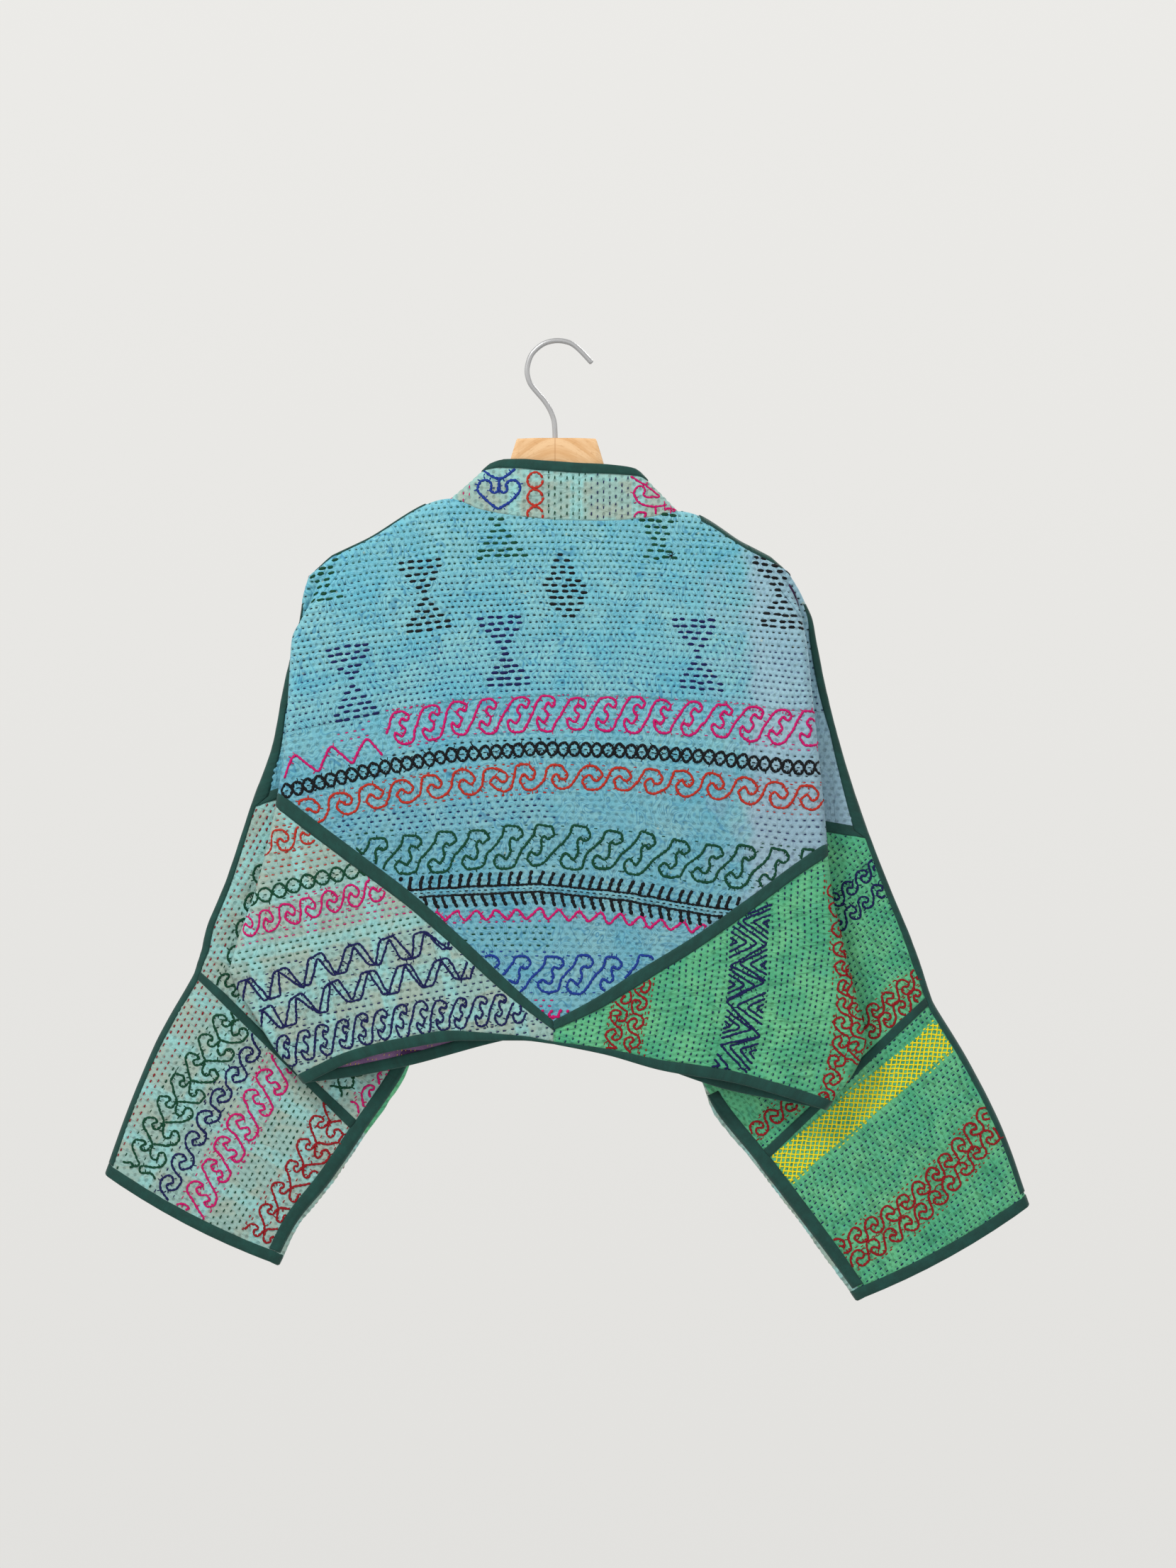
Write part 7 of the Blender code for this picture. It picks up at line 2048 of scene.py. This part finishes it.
def zones_for(keys, zone):
    return set(keys) if zone == "top" else {keys[0] + "_" + zone}


bands_of = {}
for side_key, keys, bands in EMBROIDERY:
    for zone, kind, colour, half, pitch, path in bands:
        mid = path_of(path)
        if len(mid) < 2:
            continue
        allowed = zones_for(keys, zone)
        for name in allowed:
            bands_of.setdefault(name, []).append((mid, half, colour, path))
        length = np.hypot(*np.diff(mid, axis=0).T).sum()
        lines, spots = motif(kind, half, pitch, length)
        thin, bold = kind == "net", kind == "feather" and half > 15
        front = side_key == "f"
        for number, line in enumerate(lines):
            if len(line) < 2:
                continue
            placed, _ = on_path(mid, line)
            bars = kind == "feather" and number > 1
            sew_line(colour, placed, front, allowed, wide=0.85 if thin else 1.95 if bold and bars else 1.3 if bold else 1.65 if colour == "black" else 1.5 if zone == "top" else 1.35, ticks=kind not in ("net", "feather"), bold=bars)
        for s, y, _ in spots:
            placed, _ = on_path(mid, np.array([(s, y), (s + 2.5, y)]))
            found = hit(placed[0][0], placed[0][1], front)
            if found is None or found[2] not in allowed:
                continue
            d = placed[1] - placed[0]
            threads[colour, front].stitch(found[0], found[1], np.array([d[0], 0.0, -d[1]]), 1.9, 0.62, 0.5)


def row_colour(key, across, u, w):
    """Colour of the running stitches of a row."""
    region, front = key[3:], key[0] == "f"
    if region in ("top", "topsleeve"):
        for level, colour in TOP_ROWS:
            if across < level:
                return SWAP[colour] if front else colour
        return "black"
    mint = key in ("bl_body", "fr_body")
    if mint:
        for level, colour in MINT_ROWS:
            if across < level:
                return colour
    side = u if key[:2] in ("bl", "br") else MIRROR - u
    if key == "fl_cuff":
        side = u
    if key in ("bl_sleeve", "fr_sleeve"):
        return "crimson"
    if key in ("bl_cuff", "fl_cuff", "fr_cuff"):
        # Across the sleeve end, from its outer edge.
        level = across
        return "crimson" if level < 948 else "deep" if level < 1000 else "navy" if level < 1040 else "deep" if level < 1155 else "crimson"
    if key in ("br_body", "fl_body"):
        return "crimson" if 872 < side < 912 or side > 1178 else "navy"
    return "navy"


for key in ("bl_top", "br_top", "bl_topsleeve", "br_topsleeve", "bl_body", "br_body", "bl_sleeve", "br_sleeve", "bl_cuff", "br_cuff") + (
    "fl_top", "fr_top", "fl_topsleeve", "fr_topsleeve", "fl_body", "fr_body", "fl_sleeve", "fr_sleeve", "fl_cuff", "fr_cuff"
):
    region, front = key[3:], key[0] == "f"
    u0, u1, w0, w1, row_step, pitch, long, wide = table_of(key)
    if front and region not in ("top", "topsleeve") and key != "fl_cuff":
        u0, u1 = MIRROR - u1, MIRROR - u0
    if region == "top":
        u0, u1 = (u0, CENTRE_U) if key[1] == "l" else (CENTRE_U, u1)
    elif region == "topsleeve":
        u0, u1, w1 = (300, 460, 1260) if key[1] == "l" else (1110, 1320, 1320)
    corners = np.array([(u0, w0), (u1, w0), (u1, w1), (u0, w1)], float)
    a, b = family(key, corners[:, 0], corners[:, 1])
    rows = np.arange(np.floor(a.min() / row_step) - 4, np.ceil(a.max() / row_step) + 5)
    least = min(pitch, FINE_PITCH) if region in ("top", "topsleeve") else pitch
    spots = np.arange(np.floor(b.min() / least), np.ceil(b.max() / least) + 1)
    row, spot = np.meshgrid(rows, spots, indexing="ij")
    pitch = pitch_of(key, row * row_step)
    share, more, off = row_drift(row, spot)
    across = row * row_step + off
    along_ = (spot + 0.5 * (row % 2) + share) * pitch + more
    u, w = from_family(key, across, along_)
    u2, w2 = from_family(key, across, along_ + 2.0)
    keep = (u > u0) & (u < u1) & (w > w0) & (w < w1)
    if not front or True:
        keep &= lattice(row.astype(np.int64), spot.astype(np.int64), 31) > -0.93
    across, along_, row, spot, u, w, u2, w2 = (x[keep] for x in (across, along_, row, spot, u, w, u2, w2))
    skip = np.zeros(u.shape, bool)
    edge = np.full(u.shape, "", dtype=object)
    for mid, half, colour, path in bands_of.get(key, ()):
        d = near_path(u, w, mid)
        inside = d < half + 1.5
        skip |= inside
        edge = np.where(~inside & (d < half + 5.5), colour, edge)
    big = np.full(u.shape, "", dtype=object)
    if region == "top" and not front:
        for fu, fw, colour, counts in FIGURES:
            base_row = np.round((fw - float(arch(fu, fw))) / row_step) - len(counts) // 2
            k = (row - base_row).astype(int)
            ok = (k >= 0) & (k < len(counts))
            width = np.array(counts)[np.clip(k, 0, len(counts) - 1)] * FIGURE_PITCH / 2
            big = np.where(ok & (np.abs(u - fu - 1.2 * (k - len(counts) / 2)) < width + 2.0), colour, big)
    seen = {key}
    for k in range(len(u)):
        if skip[k] or big[k]:
            continue
        found = hit(u[k], w[k], front)
        if found is None or found[2] != key:
            continue
        colour = edge[k] or row_colour(key, across[k], u[k], w[k])
        run_ = np.array([u2[k] - u[k], 0.0, w[k] - w2[k]])
        scale = 0.80 + 0.40 * dice.random()
        fine = region in ("top", "topsleeve") and across[k] < FINE_LEVEL
        threads[colour, front].stitch(found[0], found[1], run_, long * scale * (0.86 if fine else 1.0), wide * (0.95 if fine else 1.0), 0.46)

for fu, fw, colour, counts in FIGURES:
    row_step = ZONE_TABLE["top"][4]
    base_row = np.round((fw - float(arch(fu, fw))) / row_step) - len(counts) // 2
    for k, many in enumerate(counts):
        for m in range(many):
            u_ = fu + 1.2 * (k - len(counts) / 2) + (m - (many - 1) / 2) * FIGURE_PITCH + 0.8 * dice.standard_normal()
            level = (base_row + k) * row_step + 0.6 * dice.standard_normal()
            w_ = level + float(arch(u_, level))
            w_next = level + float(arch(u_ + 3.0, level))
            found = hit(u_, w_, False)
            if found is not None and found[2].endswith("_top"):
                threads[colour, False].stitch(found[0], found[1], np.array([3.0, 0.0, w_ - w_next]), 3.6 + 0.3 * dice.standard_normal(), 1.75, 0.85)


def place_line(colour, line, front=False, allowed=("collar",), **options):
    sew_line(colour, np.array(line, float), front, set(allowed), **options)


# Collar: a pair of scrolls, a chain of rings and upright rows.
HALF_HEART = ((0, 1.15), (-0.6, 0.5), (-1, -0.1), (-0.88, -0.75), (-0.5, -0.85), (-0.28, -0.5), (-0.42, -0.1), (-0.15, 0.05), (0, -0.25), (0, -1.0))
for way in (-1, 1):
    place_line("blue", [(704 - way * 31 * x, 695 + 21 * y) for x, y in HALF_HEART], wide=1.6)
    place_line("blue", [(704 + way * 31 * x, 695 + 21 * y) for x, y in ((0, -0.9), (0.35, -1.1), (0.75, -1.55))], wide=1.6)
for w in (678, 702, 726):
    place_line("red", [(755 + 11 * np.cos(a), w + 11 * np.sin(a)) for a in np.arange(0, 6.6, 0.55)], ticks=False, wide=1.45)
SCROLL = (
    ((400, 130), (520, 200), (570, 250), (520, 240), (500, 255), (465, 230), (490, 210), (470, 185), (440, 185), (415, 220), (430, 265), (480, 295), (540, 305), (605, 290)),
    ((540, 305), (545, 355)), ((425, 375), (425, 345), (450, 330), (490, 340), (480, 365)), ((590, 320), (620, 305), (660, 320), (620, 340)),
)
for line in SCROLL:
    place_line("pink", [(790 + x / 4.02, 640 + y / 4.02) for x, y in line])
for u_ in np.arange(628, 960, 8.6):
    for k, w_ in enumerate(np.arange(640, 745, 12.0)):
        for front in (False, True):
            if not front and (665 < u_ < 742 or 741 < u_ < 770 or 894 < u_ < 935):
                continue
            w_here = w_ + (6.0 if int(u_) % 2 else 0.0) + 1.5 * dice.standard_normal()
            found = hit(u_, w_here, front)
            if found is None or found[2] != "collar":
                continue
            colour = "pink" if u_ < 668 or u_ > 935 else "deep" if u_ < 830 else "navy"
            threads[colour, front].stitch(found[0], found[1], np.array([0.05, 0.0, 1.0]), 1.9, 0.72, 0.45)
# Small dark knot with loose ends on the upper right of the back, and light stitches on the strip of lining that shows.
for k in range(12):
    angle = k * 0.524 + 0.15 * dice.standard_normal()
    reach_ = 5.0 + 3.0 * dice.random()
    found = hit(947 + reach_ * 0.5 * np.cos(angle), 785 + reach_ * 0.5 * np.sin(angle), False)
    if found is not None:
        threads["black", False].stitch(found[0], found[1], np.array([np.cos(angle), 0.0, -np.sin(angle)]), reach_ * 0.42, 0.36, 0.3)
for u_ in np.arange(470, 660, 6.0):
    for w_ in np.arange(1462, 1525, 6.5):
        found = hit(u_ + 2 * dice.random(), w_, False)
        if found is not None and found[2].startswith("inside_front_lower") and dice.random() < 0.7:
            threads["yellow", False].stitch(found[0], found[1], np.array([0.2, 0.0, 1.0]), 0.9, 0.32, 0.35)
for (colour, front), thread in threads.items():
    thread.piece("floss_" + colour + ("_front" if front else "_back"), FLOSS[colour])


# ---------------------------------------------------------------- floor, light and camera
def put_floor():
    ring = [(0.95 * np.cos(a), 0.95 * np.sin(a), 0.0) for a in np.arange(96) * 2 * np.pi / 96]
    verts = np.array(ring) * 1000 + np.array([28.0, 0.0, -1450.0])
    n = Nodes("pale_floor", rough=0.85, specular=0.2)
    n.colour(n.mix(n.noise(n.space(), 30.0, 3.0), srgb("E3E2DF"), srgb("E9E8E5")))
    floor = add_mesh("floor", verts, [list(range(96))], [n.material])


def put_light(name, place_, aim, size, watts):
    data = bpy.data.lights.new(name, "AREA")
    data.shape, data.size, data.energy, data.color = "SQUARE", size, watts, (1.0, 0.985, 0.96)
    light = bpy.data.objects.new(name, data)
    bpy.context.scene.collection.objects.link(light)
    light.location = place_
    light.rotation_euler = (Vector(aim) - Vector(place_)).to_track_quat("-Z", "Y").to_euler()


put_floor()
world = bpy.data.worlds.new("studio")
bpy.context.scene.world = world
world.use_nodes = True
sky = world.node_tree
level = sky.nodes.new("ShaderNodeSeparateXYZ")
sky.links.new(sky.nodes.new("ShaderNodeTexCoord").outputs["Generated"], level.inputs["Vector"])
away = sky.nodes.new("ShaderNodeMath")
away.operation = "MAXIMUM"
below = sky.nodes.new("ShaderNodeMath")
below.operation = "MULTIPLY"
below.inputs[1].default_value = -0.75
sky.links.new(level.outputs["Z"], below.inputs[0])
sky.links.new(level.outputs["Z"], away.inputs[0])
sky.links.new(below.outputs[0], away.inputs[1])
band = sky.nodes.new("ShaderNodeMapRange")
band.interpolation_type = "SMOOTHSTEP"
for key, value in (("From Min", 0.24), ("From Max", 0.62), ("To Min", 1.0), ("To Max", 0.42)):
    band.inputs[key].default_value = value
sky.links.new(away.outputs[0], band.inputs["Value"])
sky.nodes["Background"].inputs["Color"].default_value = srgb("E6E5E2")
grade = sky.nodes.new("ShaderNodeMapRange")  # a little darker downwards
for key, value in (("From Min", -0.30), ("From Max", 0.30), ("To Min", 0.95), ("To Max", 1.07)):
    grade.inputs[key].default_value = value
sky.links.new(level.outputs["Z"], grade.inputs["Value"])
both = sky.nodes.new("ShaderNodeMath")
both.operation = "MULTIPLY"
sky.links.new(band.outputs["Result"], both.inputs[0])
sky.links.new(grade.outputs["Result"], both.inputs[1])
sky.links.new(both.outputs[0], sky.nodes["Background"].inputs["Strength"])
put_light("key", (-1.3, -1.5, 1.7), (0.0, 0.0, -0.45), 0.6, 54.0)
put_light("fill", (1.9, -1.8, 0.3), (0.0, 0.0, -0.5), 1.6, 6.5)
put_light("rear", (1.3, 1.6, 1.6), (0.0, 0.0, -0.45), 0.8, 34.0)
bpy.context.scene.view_settings.view_transform = "Standard"

camera_data = bpy.data.cameras.new("camera")
camera_data.sensor_width = 36.0
camera_data.lens = 36.0 * 3.0 / 1.4157
camera = bpy.data.objects.new("camera", camera_data)
bpy.context.scene.collection.objects.link(camera)
camera.location = (0.0282, -3.01, -0.3994)
camera.rotation_euler = (np.pi / 2, 0.0, 0.0)
bpy.context.scene.camera = camera
